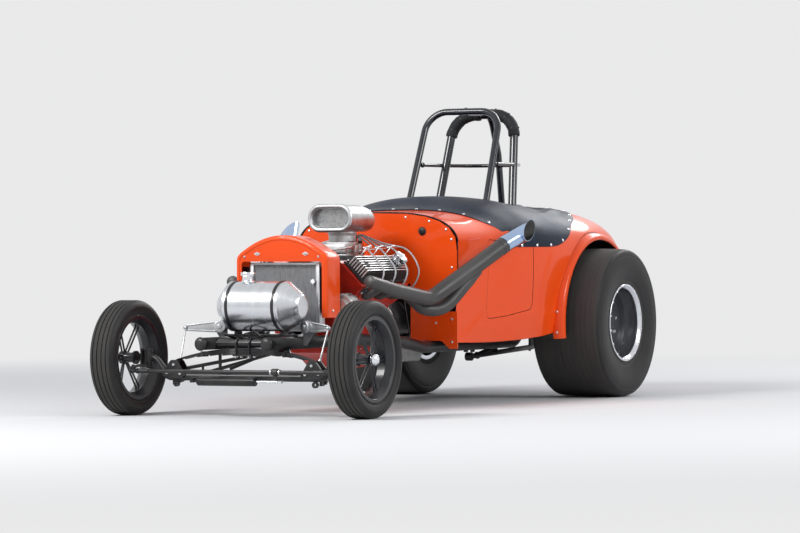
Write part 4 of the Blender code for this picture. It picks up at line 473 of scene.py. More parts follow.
# %% [markdown]
# ## Building pieces in mesh code
# Round bars, turned parts, plates and boxes make up most of a car. The class below collects them in
# one mesh, remembers which finish each face takes, and lays a UV map that goes round and along each
# tube or turned part. Joined tubes simply run into each other, as welded ones do.


# %% Small helpers for lines and directions
def beside(axis):
    """The upward direction square to an axis, or the car's left for an upright axis."""
    up = Vector((0, 0, 1)) if abs(axis.z) < 0.9 else Vector((1, 0, 0))
    return (up - axis * axis.dot(up)).normalized()


def bent(points, radius, steps=8):
    """A route whose corners are rounded to a bend radius."""
    route = [points[0]]
    for before, corner, after in zip(points, points[1:], points[2:]):
        to_start = (before - corner).normalized()
        to_end = (after - corner).normalized()
        half = to_start.angle(to_end) / 2
        room = 0.48 * min((before - corner).length, (after - corner).length)
        length = min(radius / math.tan(half), room)
        centre = corner + (to_start + to_end).normalized() * length / math.cos(half)
        first = corner + to_start * length - centre
        last = corner + to_end * length - centre
        for i in range(steps + 1):
            route.append(centre + first.slerp(last, i / steps) * first.length)
    route.append(points[-1])
    return route


def smooth(points, steps=6):
    """A curve that passes through every point; the points may have 2 or 3 coordinates."""
    rows = [Vector(p) for p in points]
    curve = []
    for i in range(len(rows) - 1):
        before = rows[max(i - 1, 0)]
        one, two = rows[i], rows[i + 1]
        after = rows[min(i + 2, len(rows) - 1)]
        for k in range(steps):
            t = k / steps
            slope_in = (two - before) / 2
            slope_out = (after - one) / 2
            curve.append(
                one * (2 * t**3 - 3 * t**2 + 1) + slope_in * (t**3 - 2 * t**2 + t)
                + two * (3 * t**2 - 2 * t**3) + slope_out * (t**3 - t**2)
            )
    return curve + [rows[-1]]


def eased(outline, size, steps=3):
    """An outline of 2-D points with each inner corner rounded off."""
    points = [Vector((*p, 0.0)) for p in outline]
    kept = [points[0]]
    for before, corner, after in zip(points, points[1:], points[2:]):
        turn = (corner - before).angle(after - corner, 0.0)
        if turn < 0.15:
            kept.append(corner)
            continue
        room = min(size, 0.45 * (before - corner).length, 0.45 * (after - corner).length)
        start = corner + (before - corner).normalized() * room
        stop = corner + (after - corner).normalized() * room
        for i in range(steps + 1):
            t = i / steps
            kept.append(start * (1 - t) ** 2 + corner * 2 * t * (1 - t) + stop * t**2)
    kept.append(points[-1])
    return [(p.x, p.y) for p in kept]


def arc(centre, radius, start, stop, steps):
    """Points on an arc, angles in degrees."""
    angles = [math.radians(start + (stop - start) * i / steps) for i in range(steps + 1)]
    return [(centre[0] + radius * math.cos(a), centre[1] + radius * math.sin(a)) for a in angles]


# %% The class that collects a piece's faces
class Shape:
    """Faces of one piece, each with the number of its finish and a wrapped UV place."""

    def __init__(self):
        self.bm = bmesh.new()
        self.wrap = self.bm.loops.layers.uv.new("wrap")
        self.finish = 0

    def skin(self, rows, around=True, ends=(True, True)):
        """Faces between rows of equally many points; a row of one point is a pole."""
        grid = [[self.bm.verts.new(p) for p in row] for row in rows]
        wide = max(len(row) for row in rows)
        for i, (one, two) in enumerate(zip(grid, grid[1:])):
            for k in range(wide if around else wide - 1):
                j = k + 1
                corners = ((one, k, i), (one, j, i), (two, j, i + 1), (two, k, i + 1))
                found = []
                places = []
                for row, c, r in corners:
                    vert = row[c % len(row)]
                    if vert not in found:
                        found.append(vert)
                        places.append((c / wide, r / max(len(rows) - 1, 1)))
                if len(found) < 3:
                    continue
                face = self.bm.faces.new(found)
                face.material_index = self.finish
                for loop, spot in zip(face.loops, places):
                    loop[self.wrap].uv = spot
        for end, row in zip(ends, (grid[0], grid[-1])):
            if end and len(row) > 2:
                self.bm.faces.new(row).material_index = self.finish
        return self

    def tube(self, route, radius, sides=14, radii=None, bore=0.0, ends=(True, True)):
        """A round bar along a route, or a pipe if it has a bore."""
        tangents = []
        for i, point in enumerate(route):
            before = (point - route[i - 1]).normalized() if i else Vector()
            after = (route[i + 1] - point).normalized() if i + 1 < len(route) else Vector()
            tangents.append((before + after).normalized())
        side = beside(tangents[0])
        outer, inner = [], []
        for i, (point, tangent) in enumerate(zip(route, tangents)):
            side = (side - tangent * side.dot(tangent)).normalized()
            across = tangent.cross(side)
            size = radii[i] if radii else radius
            spokes = [side * math.cos(2 * math.pi * k / sides) + across * math.sin(2 * math.pi * k / sides)
                      for k in range(sides)]
            outer.append([point + spoke * size for spoke in spokes])
            inner.append([point + spoke * (size - radius + bore) for spoke in spokes])
        if bore:
            return self.skin(outer + inner[::-1] + outer[:1], ends=(False, False))
        return self.skin(outer, ends=ends)

    def rod(self, start, end, radius, sides=12):
        return self.turned(eased([(0, 0), (0, radius), ((end - start).length, radius),
                                  ((end - start).length, 0)], radius * 0.15, 2), start, end - start, sides)

    def turned(self, outline, centre, axis, steps=32, closed=False, ends=True):
        """A profile of (along, radius) points spun about an axis."""
        axis = Vector(axis).normalized()
        side = beside(axis)
        across = axis.cross(side)
        rows = []
        for along, radius in list(outline) + (list(outline[:1]) if closed else []):
            middle = centre + axis * along
            if radius < 1e-7:
                rows.append([middle])
                continue
            angles = [2 * math.pi * k / steps for k in range(steps)]
            rows.append([middle + (side * math.cos(a) + across * math.sin(a)) * radius for a in angles])
        return self.skin(rows, ends=(ends and not closed, ends and not closed))

    def ball(self, centre, radius, steps=12):
        half = [(-radius * math.cos(math.pi * i / 8), radius * math.sin(math.pi * i / 8)) for i in range(9)]
        half[0], half[-1] = (-radius, 0.0), (radius, 0.0)
        return self.turned(half, centre, (0, 0, 1), steps)

    def block(self, low, high, ease=0.002):
        """A box with eased edges."""
        low, high = Vector(low), Vector(high)
        for i in range(3):
            if low[i] > high[i]:
                low[i], high[i] = high[i], low[i]
        size = Matrix.Diagonal((*(high - low), 1.0))
        made = bmesh.ops.create_cube(self.bm, size=1.0, matrix=Matrix.Translation((low + high) / 2) @ size)
        return self.ease(made["verts"], min(ease, 0.3 * min(high - low)))

    def ease(self, verts, size):
        """Rounds the edges between the given points and gives their faces the finish in use."""
        for face in dict.fromkeys(face for vert in verts for face in vert.link_faces):
            face.material_index = self.finish
        if size > 0:
            around = dict.fromkeys(edge for vert in verts for edge in vert.link_edges)
            edges = [edge for edge in around if edge.calc_face_angle(0.0) > 0.3]
            bmesh.ops.bevel(self.bm, geom=edges, offset=size, segments=2, profile=0.5,
                            affect="EDGES", clamp_overlap=True, material=-1)
        return self

    def slab(self, outline, axis, start, stop, ease=0.002):
        """An outline pushed along X as (y, z), along Y as (x, z) or along Z as (x, y)."""
        order = {"X": (2, 0, 1), "Y": (0, 2, 1), "Z": (0, 1, 2)}[axis]
        rows = []
        for depth in (start, stop):
            rows.append([Vector([(*p, depth)[order[i]] for i in range(3)]) for p in outline])
        before = set(self.bm.verts)
        self.skin(rows)
        return self.ease([v for v in self.bm.verts if v not in before], ease)

    def make(self, name, finishes, body, slot=None, stands_for=(), sharp=35.0, closed=True):
        """Turns the faces into an object that rides on a body and stands for CAD nodes."""
        bmesh.ops.remove_doubles(self.bm, verts=self.bm.verts, dist=1e-6)
        bmesh.ops.dissolve_degenerate(self.bm, dist=1e-7, edges=self.bm.edges)
        if closed:
            bmesh.ops.recalc_face_normals(self.bm, faces=self.bm.faces)
        mesh = bpy.data.meshes.new(name)
        self.bm.to_mesh(mesh)
        self.bm.free()
        return settle(name, mesh, finishes, body, stands_for, sharp)


def settle(name, mesh, finishes, body, stands_for=(), sharp=35.0):
    """Gives a mesh its finishes, shades it smooth and puts it on its body."""
    numbers = [polygon.material_index for polygon in mesh.polygons]
    mesh.materials.clear()
    for material in finishes:
        mesh.materials.append(material)
    mesh.polygons.foreach_set("material_index", numbers)
    mesh.shade_smooth()
    mesh.set_sharp_from_angle(angle=math.radians(sharp))
    piece = bpy.data.objects.new(name, mesh)
    bpy.context.scene.collection.objects.link(piece)
    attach(piece, body)
    if stands_for:
        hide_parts(*stands_for)
    mesh.calc_loop_triangles()
    print(name, "has", len(mesh.loop_triangles), "triangles")
    return piece


# %% [markdown]
# ## Screws, snaps and nuts by Geometry Nodes
# A car is held together by hundreds of small fasteners. Modelling one and scattering it over points is
# how a node tree does it: each point carries a direction, and the tree turns a copy of the head to it.
# The same tree makes round heads, flat snaps and, with six sides, nuts.

# %% Tree that puts a head on every point
board, given, made = new_group(
    "heads_on_points",
    "GeometryNodeTree",
    (
        ("Geometry", "NodeSocketGeometry", None),
        ("Head Radius", "NodeSocketFloat", 0.005),
        ("Head Height", "NodeSocketFloat", 0.003),
        ("Top Share", "NodeSocketFloat", 0.5),
        ("Sides", "NodeSocketInt", 12),
        ("Finish", "NodeSocketMaterial", None),
    ),
    (("Geometry", "NodeSocketGeometry"),),
)
skirt = board.add("GeometryNodeMeshCone", {
    "Vertices": given["Sides"], "Radius Bottom": given["Head Radius"],
    "Radius Top": board.math("MULTIPLY", given["Head Radius"], 0.94),
    "Depth": board.math("MULTIPLY", given["Head Height"], 0.5)}, fill_type="NONE").outputs["Mesh"]
cap = board.add("GeometryNodeMeshCone", {
    "Vertices": given["Sides"], "Radius Bottom": board.math("MULTIPLY", given["Head Radius"], 0.94),
    "Radius Top": board.math("MULTIPLY", given["Head Radius"], given["Top Share"]),
    "Depth": board.math("MULTIPLY", given["Head Height"], 0.5)}).outputs["Mesh"]
lift = board.add("ShaderNodeCombineXYZ",
                 {"Z": board.math("MULTIPLY", given["Head Height"], 0.5)}).outputs[0]
cap = board.add("GeometryNodeTransform", {"Geometry": cap, "Translation": lift}).outputs["Geometry"]
head = board.add("GeometryNodeJoinGeometry", {0: cap})
board.tree.links.new(skirt, head.inputs[0])
facing = board.add("GeometryNodeInputNamedAttribute", {"Name": "facing"},
                   data_type="FLOAT_VECTOR").outputs[0]
turn = board.add("FunctionNodeAlignRotationToVector", {"Vector": facing}, axis="Z").outputs["Rotation"]
heads = board.add("GeometryNodeInstanceOnPoints", {
    "Points": given["Geometry"], "Instance": head.outputs["Geometry"],
    "Rotation": turn}).outputs["Instances"]
real = board.add("GeometryNodeRealizeInstances", {"Geometry": heads}).outputs["Geometry"]
done = board.add("GeometryNodeSetMaterial",
                 {"Geometry": real, "Material": given["Finish"]}).outputs["Geometry"]
board.tree.links.new(done, made["Geometry"])
heads_on_points = board.tree
print("tree", heads_on_points.name)


# %% Run a tree and keep its result as a plain mesh
def grown(tree, points, facings=None, edges=(), **values):
    """The mesh that a geometry tree makes from points, with the tree's inputs set by name."""
    seed = bpy.data.meshes.new("seed")
    seed.from_pydata([tuple(p) for p in points], list(edges), [])
    if facings:
        facing = seed.attributes.new("facing", "FLOAT_VECTOR", "POINT")
        for item, direction in zip(facing.data, facings):
            item.vector = direction
    holder = bpy.data.objects.new("holder", seed)
    bpy.context.scene.collection.objects.link(holder)
    modifier = holder.modifiers.new("grow", "NODES")
    modifier.node_group = tree
    sockets = {item.name: item.identifier for item in tree.interface.items_tree if item.in_out == "INPUT"}
    for name, value in values.items():
        modifier[sockets[name.replace("_", " ")]] = value
    bpy.context.view_layer.update()
    graph = bpy.context.evaluated_depsgraph_get()
    mesh = bpy.data.meshes.new_from_object(holder.evaluated_get(graph))
    holder.modifiers.clear()
    bpy.data.objects.remove(holder)
    return mesh


def fasteners(name, spots, radius, height, top, sides, material, body):
    """Heads on (point, direction) pairs, as one piece."""
    mesh = grown(heads_on_points, [p for p, _ in spots], [d for _, d in spots], Head_Radius=radius,
                 Head_Height=height, Top_Share=top, Sides=sides, Finish=material)
    return settle(name, mesh, [material], body)

# %% [markdown]
# ## Front tyres
# A front tyre of such a car is narrow and ribbed, with four grooves round a nearly flat tread. A tyre is
# a profile spun about its axle, so the whole of it is in the profile: bead, a wall that bulges, a round
# shoulder and the ribs. Tread and wall take different finishes.

# %% Front tyres
bead_radius = 0.1935
front_bead_half = 0.047
front_half = 0.066
groove_depth = 0.005


def tyre(name, half, hub, body, stands_for, tread_from, finishes):
    """A tyre from half its profile, with the tread's finish inside a distance from its middle."""
    made = Shape()
    made.turned(half + [(-along, radius) for along, radius in reversed(half)], hub, (1, 0, 0), 112,
                closed=True)
    for face in made.bm.faces:
        middle = face.calc_center_median() - hub
        if abs(middle.x) > tread_from or middle.yz.length < bead_radius + 0.01:
            face.material_index = 1
    return made.make(name, finishes, body, "tyre_rubber", (stands_for,))


tall = front_tyre_radius - bead_radius
front_profile = [tuple(p) for p in smooth((
    (front_bead_half, bead_radius), (front_bead_half + 0.004, bead_radius + 0.018),
    (front_half - 0.006, bead_radius + 0.30 * tall), (front_half, bead_radius + 0.56 * tall),
    (front_half - 0.002, front_tyre_radius - 0.024), (front_half - 0.010, front_tyre_radius - 0.009),
    (front_half - 0.020, front_tyre_radius - 0.0018)), 5)]
for centre in (0.036, 0.0125):
    for across, deep in ((0.0034, 0.0002), (0.0022, groove_depth), (-0.0022, groove_depth),
                         (-0.0034, 0.0002)):
        front_profile.append((centre + across, front_tyre_radius - deep))
for tag, word, side in SIDES:
    hub = at(side * front_track / 2, 0, front_tyre_radius)
    tyre("front_tyre_skin_" + tag, front_profile, hub, word + "_front_wheel", "front_tyre_" + tag,
         front_half - 0.014, (tread_rubber, wall_rubber))

# %% [markdown]
# ## Front wheels
# The front wheels are black wire-like spoke wheels: a narrow rim, a barrel hub and six pairs of spokes
# that start wide apart on the hub and meet on the rim. The rim and hub are spun profiles. The spokes
# repeat round the axle, so a node tree draws one spoke and turns copies of it.

# %% Tree that sets spokes round a hub
board, given, made = new_group(
    "spokes_round_hub",
    "GeometryNodeTree",
    (
        ("Geometry", "NodeSocketGeometry", None),
        ("Count", "NodeSocketInt", 6),
        ("Foot Turn", "NodeSocketFloat", 0.34),
        ("Foot Radius", "NodeSocketFloat", 0.027),
        ("Foot Out", "NodeSocketFloat", 0.03),
        ("Tip Turn", "NodeSocketFloat", 0.07),
        ("Tip Radius", "NodeSocketFloat", 0.17),
        ("Tip Out", "NodeSocketFloat", 0.008),
        ("Spoke Radius", "NodeSocketFloat", 0.0045),
        ("Finish", "NodeSocketMaterial", None),
    ),
    (("Geometry", "NodeSocketGeometry"),),
)
ends = {}
for end in ("Foot", "Tip"):
    turn = given[end + " Turn"]
    ends[end] = board.add("ShaderNodeCombineXYZ", {
        "X": given[end + " Out"],
        "Y": board.math("MULTIPLY", board.math("COSINE", turn), given[end + " Radius"]),
        "Z": board.math("MULTIPLY", board.math("SINE", turn), given[end + " Radius"])}).outputs[0]
spoke = board.add("GeometryNodeCurvePrimitiveLine", {"Start": ends["Foot"], "End": ends["Tip"]}).outputs[0]
round_bar = board.add("GeometryNodeCurvePrimitiveCircle",
                      {"Resolution": 10, "Radius": given["Spoke Radius"]})
spoke = board.add("GeometryNodeCurveToMesh", {
    "Curve": spoke, "Profile Curve": round_bar.outputs["Curve"], "Fill Caps": True}).outputs["Mesh"]
points = board.add("GeometryNodePoints", {"Count": given["Count"]}).outputs[0]
number = board.add("GeometryNodeInputIndex").outputs[0]
step = board.math("DIVIDE", 2 * math.pi, given["Count"])
turn = board.add("ShaderNodeCombineXYZ", {"X": board.math("MULTIPLY", number, step)}).outputs[0]
turn = board.add("FunctionNodeEulerToRotation", {0: turn}).outputs[0]
spokes = board.add("GeometryNodeInstanceOnPoints", {
    "Points": points, "Instance": spoke, "Rotation": turn}).outputs["Instances"]
real = board.add("GeometryNodeRealizeInstances", {"Geometry": spokes}).outputs["Geometry"]
done = board.add("GeometryNodeSetMaterial",
                 {"Geometry": real, "Material": given["Finish"]}).outputs["Geometry"]
board.tree.links.new(done, made["Geometry"])
spokes_round_hub = board.tree
print("tree", spokes_round_hub.name)

# %% Front wheels
flange_radius = bead_radius + 0.012
lip = front_bead_half + 0.007
rim = eased([(-lip, 0.1875), (-lip, flange_radius), (-lip + 0.006, flange_radius), (-lip + 0.0075, 0.1932),
             (-0.021, 0.1735), (0.021, 0.1735), (lip - 0.0075, 0.1932), (lip - 0.006, flange_radius),
             (lip, flange_radius), (lip, 0.1875), (0.021, 0.1675), (-0.021, 0.1675), (-lip, 0.1875)],
             0.0025)
barrel = eased([(0.033, 0.0), (0.033, 0.026), (0.030, 0.033), (0.022, 0.033), (0.019, 0.0245),
                (-0.027, 0.0245),
                (-0.030, 0.033), (-0.044, 0.033), (-0.044, 0.0125), (-0.044, 0.0)], 0.002)
for tag, word, side in SIDES:
    hub = at(side * front_track / 2, 0, front_tyre_radius)
    out = (side, 0, 0)
    wheel = Shape()
    wheel.turned(rim, hub, out, 96, closed=True)
    wheel.turned(barrel, hub, out, 40)
    stem = hub + Vector((side * 0.024, 0.0, 0.162))
    wheel.rod(stem, stem + Vector((side * 0.030, 0, -0.006)), 0.0035)
    for lean in (-1, 1):
        mesh = grown(spokes_round_hub, [hub], Count=6, Foot_Turn=lean * 0.34, Foot_Out=side
                     * (0.026 + lean * 0.002),
                     Foot_Radius=0.026, Tip_Turn=lean * 0.07, Tip_Radius=0.1700, Tip_Out=side * 0.008,
                     Spoke_Radius=0.0048, Finish=spoke_black)
        mesh.transform(Matrix.Translation(hub))
        wheel.bm.from_mesh(mesh)
    wheel.make("front_wheel_spoked_" + tag, (spoke_black,), word + "_front_wheel", "black_paint",
               ("front_wheel_" + tag,))

# %% [markdown]
# ## Hub caps
# A small polished dome closes each front hub. Its profile curves over to a flat button in the middle.

# %% Hub caps
dome = [(0.0452, 0.0), (0.0452, 0.0308)] + [tuple(p) for p in smooth((
    (0.0480, 0.0312), (0.0540, 0.0300), (0.0620, 0.0262), (0.0695, 0.0180), (0.0722, 0.0100)), 5)] + [
    (0.0722, 0.0060), (0.0750, 0.0050), (0.0752, 0.0)]
for tag, word, side in SIDES:
    hub = at(side * front_track / 2, 0, front_tyre_radius)
    cap = Shape()
    cap.turned(dome, hub, (side, 0, 0), 40)
    cap.make("hub_cap_dome_" + tag, (chrome,), word + "_front_wheel", "polished_metal", ("hub_cap_" + tag,))

# %% [markdown]
# ## Rear slicks
# The rear tyres are wide slicks: no pattern, a broad tread that is almost square to its walls, and tall
# thin walls that bulge over the rim. A wall of a soft slick shows a faint step where the tread rubber
# ends and a ring above the bead. The walls themselves are plain.

# %% Rear slicks
rear_half = 0.1975
rear_bead_half = 0.1725
slick = [tuple(p) for p in smooth((
    (rear_bead_half, bead_radius), (rear_bead_half + 0.004, bead_radius + 0.020),
    (rear_half - 0.012, 0.240),
    (rear_half - 0.003, 0.285), (rear_half, 0.315), (rear_half - 0.001, 0.345), (rear_half - 0.0045, 0.367),
    (rear_half - 0.009, 0.3785), (rear_half - 0.015, 0.3850), (rear_half - 0.024, 0.3885),
    (rear_half - 0.038, 0.3900)), 6)]
ring_step = [(x - (0.0016 if 0.222 < r < 0.228 else 0.0) - (0.0014 if 0.352 < r < 0.356 else 0.0), r) for x,
             r in slick]
slope = rear_half - 0.038
slick_profile = ring_step + [(slope * (1 - k / 7), 0.3900 + 0.0040
                              * math.sin(math.pi / 2 * k / 7)) for k in range(1, 7)]
for tag, word, side in SIDES:
    hub = at(side * rear_track / 2, wheelbase, rear_tyre_radius)
    tyre("rear_slick_" + tag, slick_profile, hub, word + "_rear_wheel", "rear_tyre_" + tag,
         rear_half - 0.016, (slick_rubber, wall_rubber))

# %% [markdown]
# ## Rear wheels
# Each rear wheel is a wide polished barrel with a rolled lip, held by a ring of screws. Its centre is a
# dark dish about a hand's width inside the lip, with a turned boss and five stud nuts. Barrel and centre
# are two profiles spun about the axle, and a long sleeve carries the centre on the axle's end.

# %% Rear wheels
rear_lip = rear_bead_half + 0.0073
face_x = rear_lip - 0.110
boss_back = -0.110
axle_seat = -0.052
bare = 0.1845
barrel_profile = eased([
    (-rear_lip, bare), (-rear_lip, flange_radius), (-rear_lip + 0.007, flange_radius),
    (-rear_lip + 0.0075, 0.1928),
    (rear_lip - 0.0075, 0.1928), (rear_lip - 0.007, flange_radius),
    (rear_lip + 0.001, flange_radius + 0.0005),
    (rear_lip + 0.003, flange_radius - 0.003), (rear_lip + 0.001, bare + 0.010),
    (rear_lip - 0.006, bare + 0.002),
    (rear_lip - 0.012, bare - 0.004), (rear_lip - 0.024, bare - 0.004), (rear_lip - 0.030, bare),
    (0.040, bare), (0.034, bare - 0.003), (0.022, bare - 0.003), (0.016, bare), (-rear_lip, bare)], 0.0022)
web = eased([
    (face_x - 0.012, bare), (face_x - 0.010, bare - 0.010), (face_x - 0.010, 0.047), (boss_back, 0.046),
    (boss_back, 0.0295), (axle_seat, 0.0295), (axle_seat, 0.0), (face_x + 0.030, 0.0),
    (face_x + 0.030, 0.030), (face_x + 0.026, 0.040), (face_x + 0.010, 0.046), (face_x + 0.008, 0.080),
    (face_x, 0.092), (face_x + 0.002, bare - 0.030), (face_x + 0.012, bare - 0.008),
    (face_x + 0.020, bare)], 0.004)
for tag, word, side in SIDES:
    hub = at(side * rear_track / 2, wheelbase, rear_tyre_radius)
    out = Vector((side, 0, 0))
    wheel = Shape()
    wheel.turned(barrel_profile, hub, out, 128, closed=True)
    wheel.finish = 1
    wheel.turned(web, hub, out, 96, ends=False)
    wheel.make("rear_wheel_dish_" + tag, (polished, dark_wheel), word + "_rear_wheel", "bare_aluminium",
               ("rear_wheel_" + tag,))
    lip_spots, stud_spots = [], []
    for k in range(16):
        a = 2 * math.pi * (k + 0.5) / 16
        round_axle = Vector((0, math.cos(a), math.sin(a)))
        lip_spots.append((hub + out * (rear_lip + 0.0012) + round_axle * (flange_radius - 0.008), out))
    for k in range(5):
        a = 2 * math.pi * k / 5 + 0.4
        round_axle = Vector((0, math.cos(a), math.sin(a)))
        stud_spots.append((hub + out * (face_x + 0.008) + round_axle * 0.062, out))
    fasteners("rear_lip_screws_" + tag, lip_spots, 0.0052, 0.004, 0.55, 12, zinc, word + "_rear_wheel")
    fasteners("rear_stud_nuts_" + tag, stud_spots, 0.0115, 0.020, 0.7, 6, zinc, word + "_rear_wheel")

# %% [markdown]
# ## Solids that keep their shape
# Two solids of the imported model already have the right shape, the flat firewall and the folded floor.
# They only need a real finish, which a table gives them. The pieces made later take the place of the
# rest.

# %% Finishes for the solids that stay
KEPT = {
    orange_paint: ("firewall",),
    sheet_steel: ("floor_pan",),
}
for material, names in KEPT.items():
    for name in names:
        node = bpy.data.objects[name]
        for slot in node.material_slots:
            slot.material = material
print("finishes given to", sum(len(names) for names in KEPT.values()), "of", len(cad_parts), "solids")

# %% [markdown]
# ## The body's surface
# The body is one drawn skin: flat sides that tuck in towards the sills, a belt, and a crowned top. A
# table of cross sections, joined smoothly from front to back, gives every point of such a skin. Small
# reliefs, such as the raised cowl and the lower panel's crease, are added to it as a height.

# %% Cross sections and their smooth join
firewall_back = 1.350
tail_back = wheelbase + tail_overhang
arch_radius = rear_tyre_radius + 0.046
arch_edge = arch_radius + 0.040
tub_x = 0.372
body_front = firewall_back + 0.0063
cabin = wheelbase - body_front
SECTIONS = (
    # distance behind the front axle, half width, sill, belt and top heights
    (body_front, 0.455, 0.325, 0.780, 0.978),
    (body_front + 0.2186 * cabin, 0.502, 0.320, 0.780, 0.990),
    (body_front + 0.4419 * cabin, 0.560, 0.328, 0.765, 1.055),
    (body_front + 0.6279 * cabin, 0.590, 0.350, 0.755, 1.032),
    (body_front + 0.8512 * cabin, 0.600, 0.400, 0.755, 1.015),
    (wheelbase + 0.10, 0.598, 0.450, 0.755, 1.005),
    (wheelbase + 0.34, 0.560, 0.475, 0.740, 0.965),
    (tail_back - 0.13, 0.480, 0.490, 0.700, 0.890),
    (tail_back, 0.340, 0.510, 0.640, 0.760),
)


def section_sizes(back):
    """Half width, sill, belt and top height at a distance behind the front axle."""
    rows = SECTIONS
    i = max(k for k in range(len(rows) - 1) if rows[k][0] <= back + 1e-9 or k == 0)
    one, two = rows[i], rows[i + 1]
    span = two[0] - one[0]
    t = min(max((back - one[0]) / span, 0.0), 1.0)
    before = rows[i - 1] if i else one
    after = rows[i + 2] if i + 2 < len(rows) else two
    sizes = []
    for c in range(1, 5):
        slope_in = (two[c] - before[c]) / (two[0] - before[0]) * span
        slope_out = (after[c] - one[c]) / (after[0] - one[0]) * span
        sizes.append(one[c] * (2 * t**3 - 3 * t**2 + 1) + slope_in * (t**3 - 2 * t**2 + t)
                     + two[c] * (3 * t**2 - 2 * t**3) + slope_out * (t**3 - t**2))
    return sizes


def soft_step(value, low, high):
    t = min(max((value - low) / (high - low), 0.0), 1.0)
    return t * t * (3 - 2 * t)


def relief(back, z):
    """How far the stamped forms of the side stand out from the plain skin."""
    cowl = 0.007 * soft_step(z, 0.822, 0.836) * soft_step(back, 2.02, 1.93)
    crease_z = 0.470 - 0.115 * (1 - soft_step(back, 1.40, 1.62)) + 0.02 * (back - 1.62)
    lower = 0.006 * soft_step(z, crease_z + 0.012, crease_z - 0.012) * soft_step(back, 2.32, 2.20)
    hub_distance = math.hypot(back - wheelbase, z - rear_tyre_radius)
    quarter = 0.005 * soft_step(hub_distance, 0.66, 0.645) * soft_step(back, 2.05, 2.12) * soft_step(z,
        0.80, 0.74)
    return cowl + lower + quarter


def skin_point(back, share, offset=0.0, formed=True):
    """A point of the skin; share runs from 0 at the left sill over the top to 1 at the right sill."""
    half, sill, belt, top = section_sizes(back)
    part = min(share, 1 - share) * 2
    side = 1 if share <= 0.5 else -1
    if part < 0.42:
        up = part / 0.42
        x = half - 0.035 * (1 - up) ** 2
        z = sill + (belt - sill) * up
        out = offset + (relief(back, z) if formed else 0.0)
        return at(side * (x + out), back, z)
    angle = math.pi / 2 * (part - 0.42) / 0.58
    wide = half + offset
    rise = top + offset - belt
    x = wide * max(math.cos(angle), 0.0) ** (2 / 2.8)
    z = belt + rise * math.sin(angle) ** (2 / 2.8)
    out = (relief(back, z) if formed else 0.0) * math.cos(angle)
    return at(side * (x + out if part < 0.9999 else 0.0), back, z)


print("skin half width at the cockpit", round(section_sizes(2.2)[0], 3))


# %% Cutting a skin along lines
def trim(bm, keep):
    """Cuts a mesh where keep(point) passes through zero and drops the negative side."""
    values = {vert: keep(vert.co) for vert in bm.verts}
    cuts = []
    for edge in list(bm.edges):
        one, two = edge.verts
        a, b = values[one], values[two]
        if a * b < 0:
            _, vert = bmesh.utils.edge_split(edge, one, a / (a - b))
            values[vert] = 0.0
            cuts.append(vert)
    bmesh.ops.connect_verts(bm, verts=cuts)
    gone = [face for face in bm.faces if sum(values[vert] for vert in face.verts) < 0]
    bmesh.ops.delete(bm, geom=gone, context="FACES")
    loose = [vert for vert in bm.verts if not vert.link_faces]
    bmesh.ops.delete(bm, geom=loose, context="VERTS")


def outline_distance(x, y, outline):
    """Distance from an outline of (x, y) points, negative inside it."""
    nearest = 1e9
    inside = False
    for (x1, y1), (x2, y2) in zip(outline, outline[1:] + outline[:1]):
        dx, dy = x2 - x1, y2 - y1
        t = min(max(((x - x1) * dx + (y - y1) * dy) / (dx * dx + dy * dy + 1e-12), 0.0), 1.0)
        nearest = min(nearest, math.hypot(x - x1 - t * dx, y - y1 - t * dy))
        if (y1 > y) != (y2 > y) and x < x1 + (y - y1) / (y2 - y1) * dx:
            inside = not inside
    return -nearest if inside else nearest


def skin_rows(first, last, steps, around, offset=0.0, formed=True, low=0.0):
    """Rows of skin points from front to back."""
    rows = []
    for i in range(steps + 1):
        back = first + (last - first) * i / steps
        rows.append([skin_point(back, low + (1 - 2 * low) * k / around, offset,
                                formed) for k in range(around + 1)])
    return rows


def thicken(name, bm, thickness, finishes, body, stands_for=(), offset=-1.0, sharp=40.0):
    """Gives a sheet of faces its wall and makes a piece of it."""
    bmesh.ops.remove_doubles(bm, verts=bm.verts, dist=1e-6)
    mesh = bpy.data.meshes.new(name + "_sheet")
    bm.to_mesh(mesh)
    bm.free()
    for material in finishes:
        mesh.materials.append(material)
    holder = bpy.data.objects.new(name + "_sheet", mesh)
    bpy.context.scene.collection.objects.link(holder)
    wall = holder.modifiers.new("wall", "SOLIDIFY")
    wall.material_offset = len(finishes) - 1
    wall.thickness = thickness
    wall.offset = offset
    wall.use_even_offset = False
    bpy.context.view_layer.update()
    graph = bpy.context.evaluated_depsgraph_get()
    solid = bpy.data.meshes.new_from_object(holder.evaluated_get(graph))
    holder.modifiers.clear()
    bpy.data.objects.remove(holder)
    return settle(name, solid, finishes, body, stands_for, sharp)


# %% [markdown]
# ## Cutting out the cockpit, the wheel arches and the doors
# A body maker presses the skin whole and then trims it. The script does the same: each opening is a
# function that is positive where metal stays, and the skin is cut where it passes through zero. Two
# cuts a few millimetres apart leave a door with a real shut line round it.

# %% Lines that the skin is cut along
cockpit_front = firewall_back + 0.31
cockpit_rear = wheelbase + 0.15
long = cockpit_rear - cockpit_front


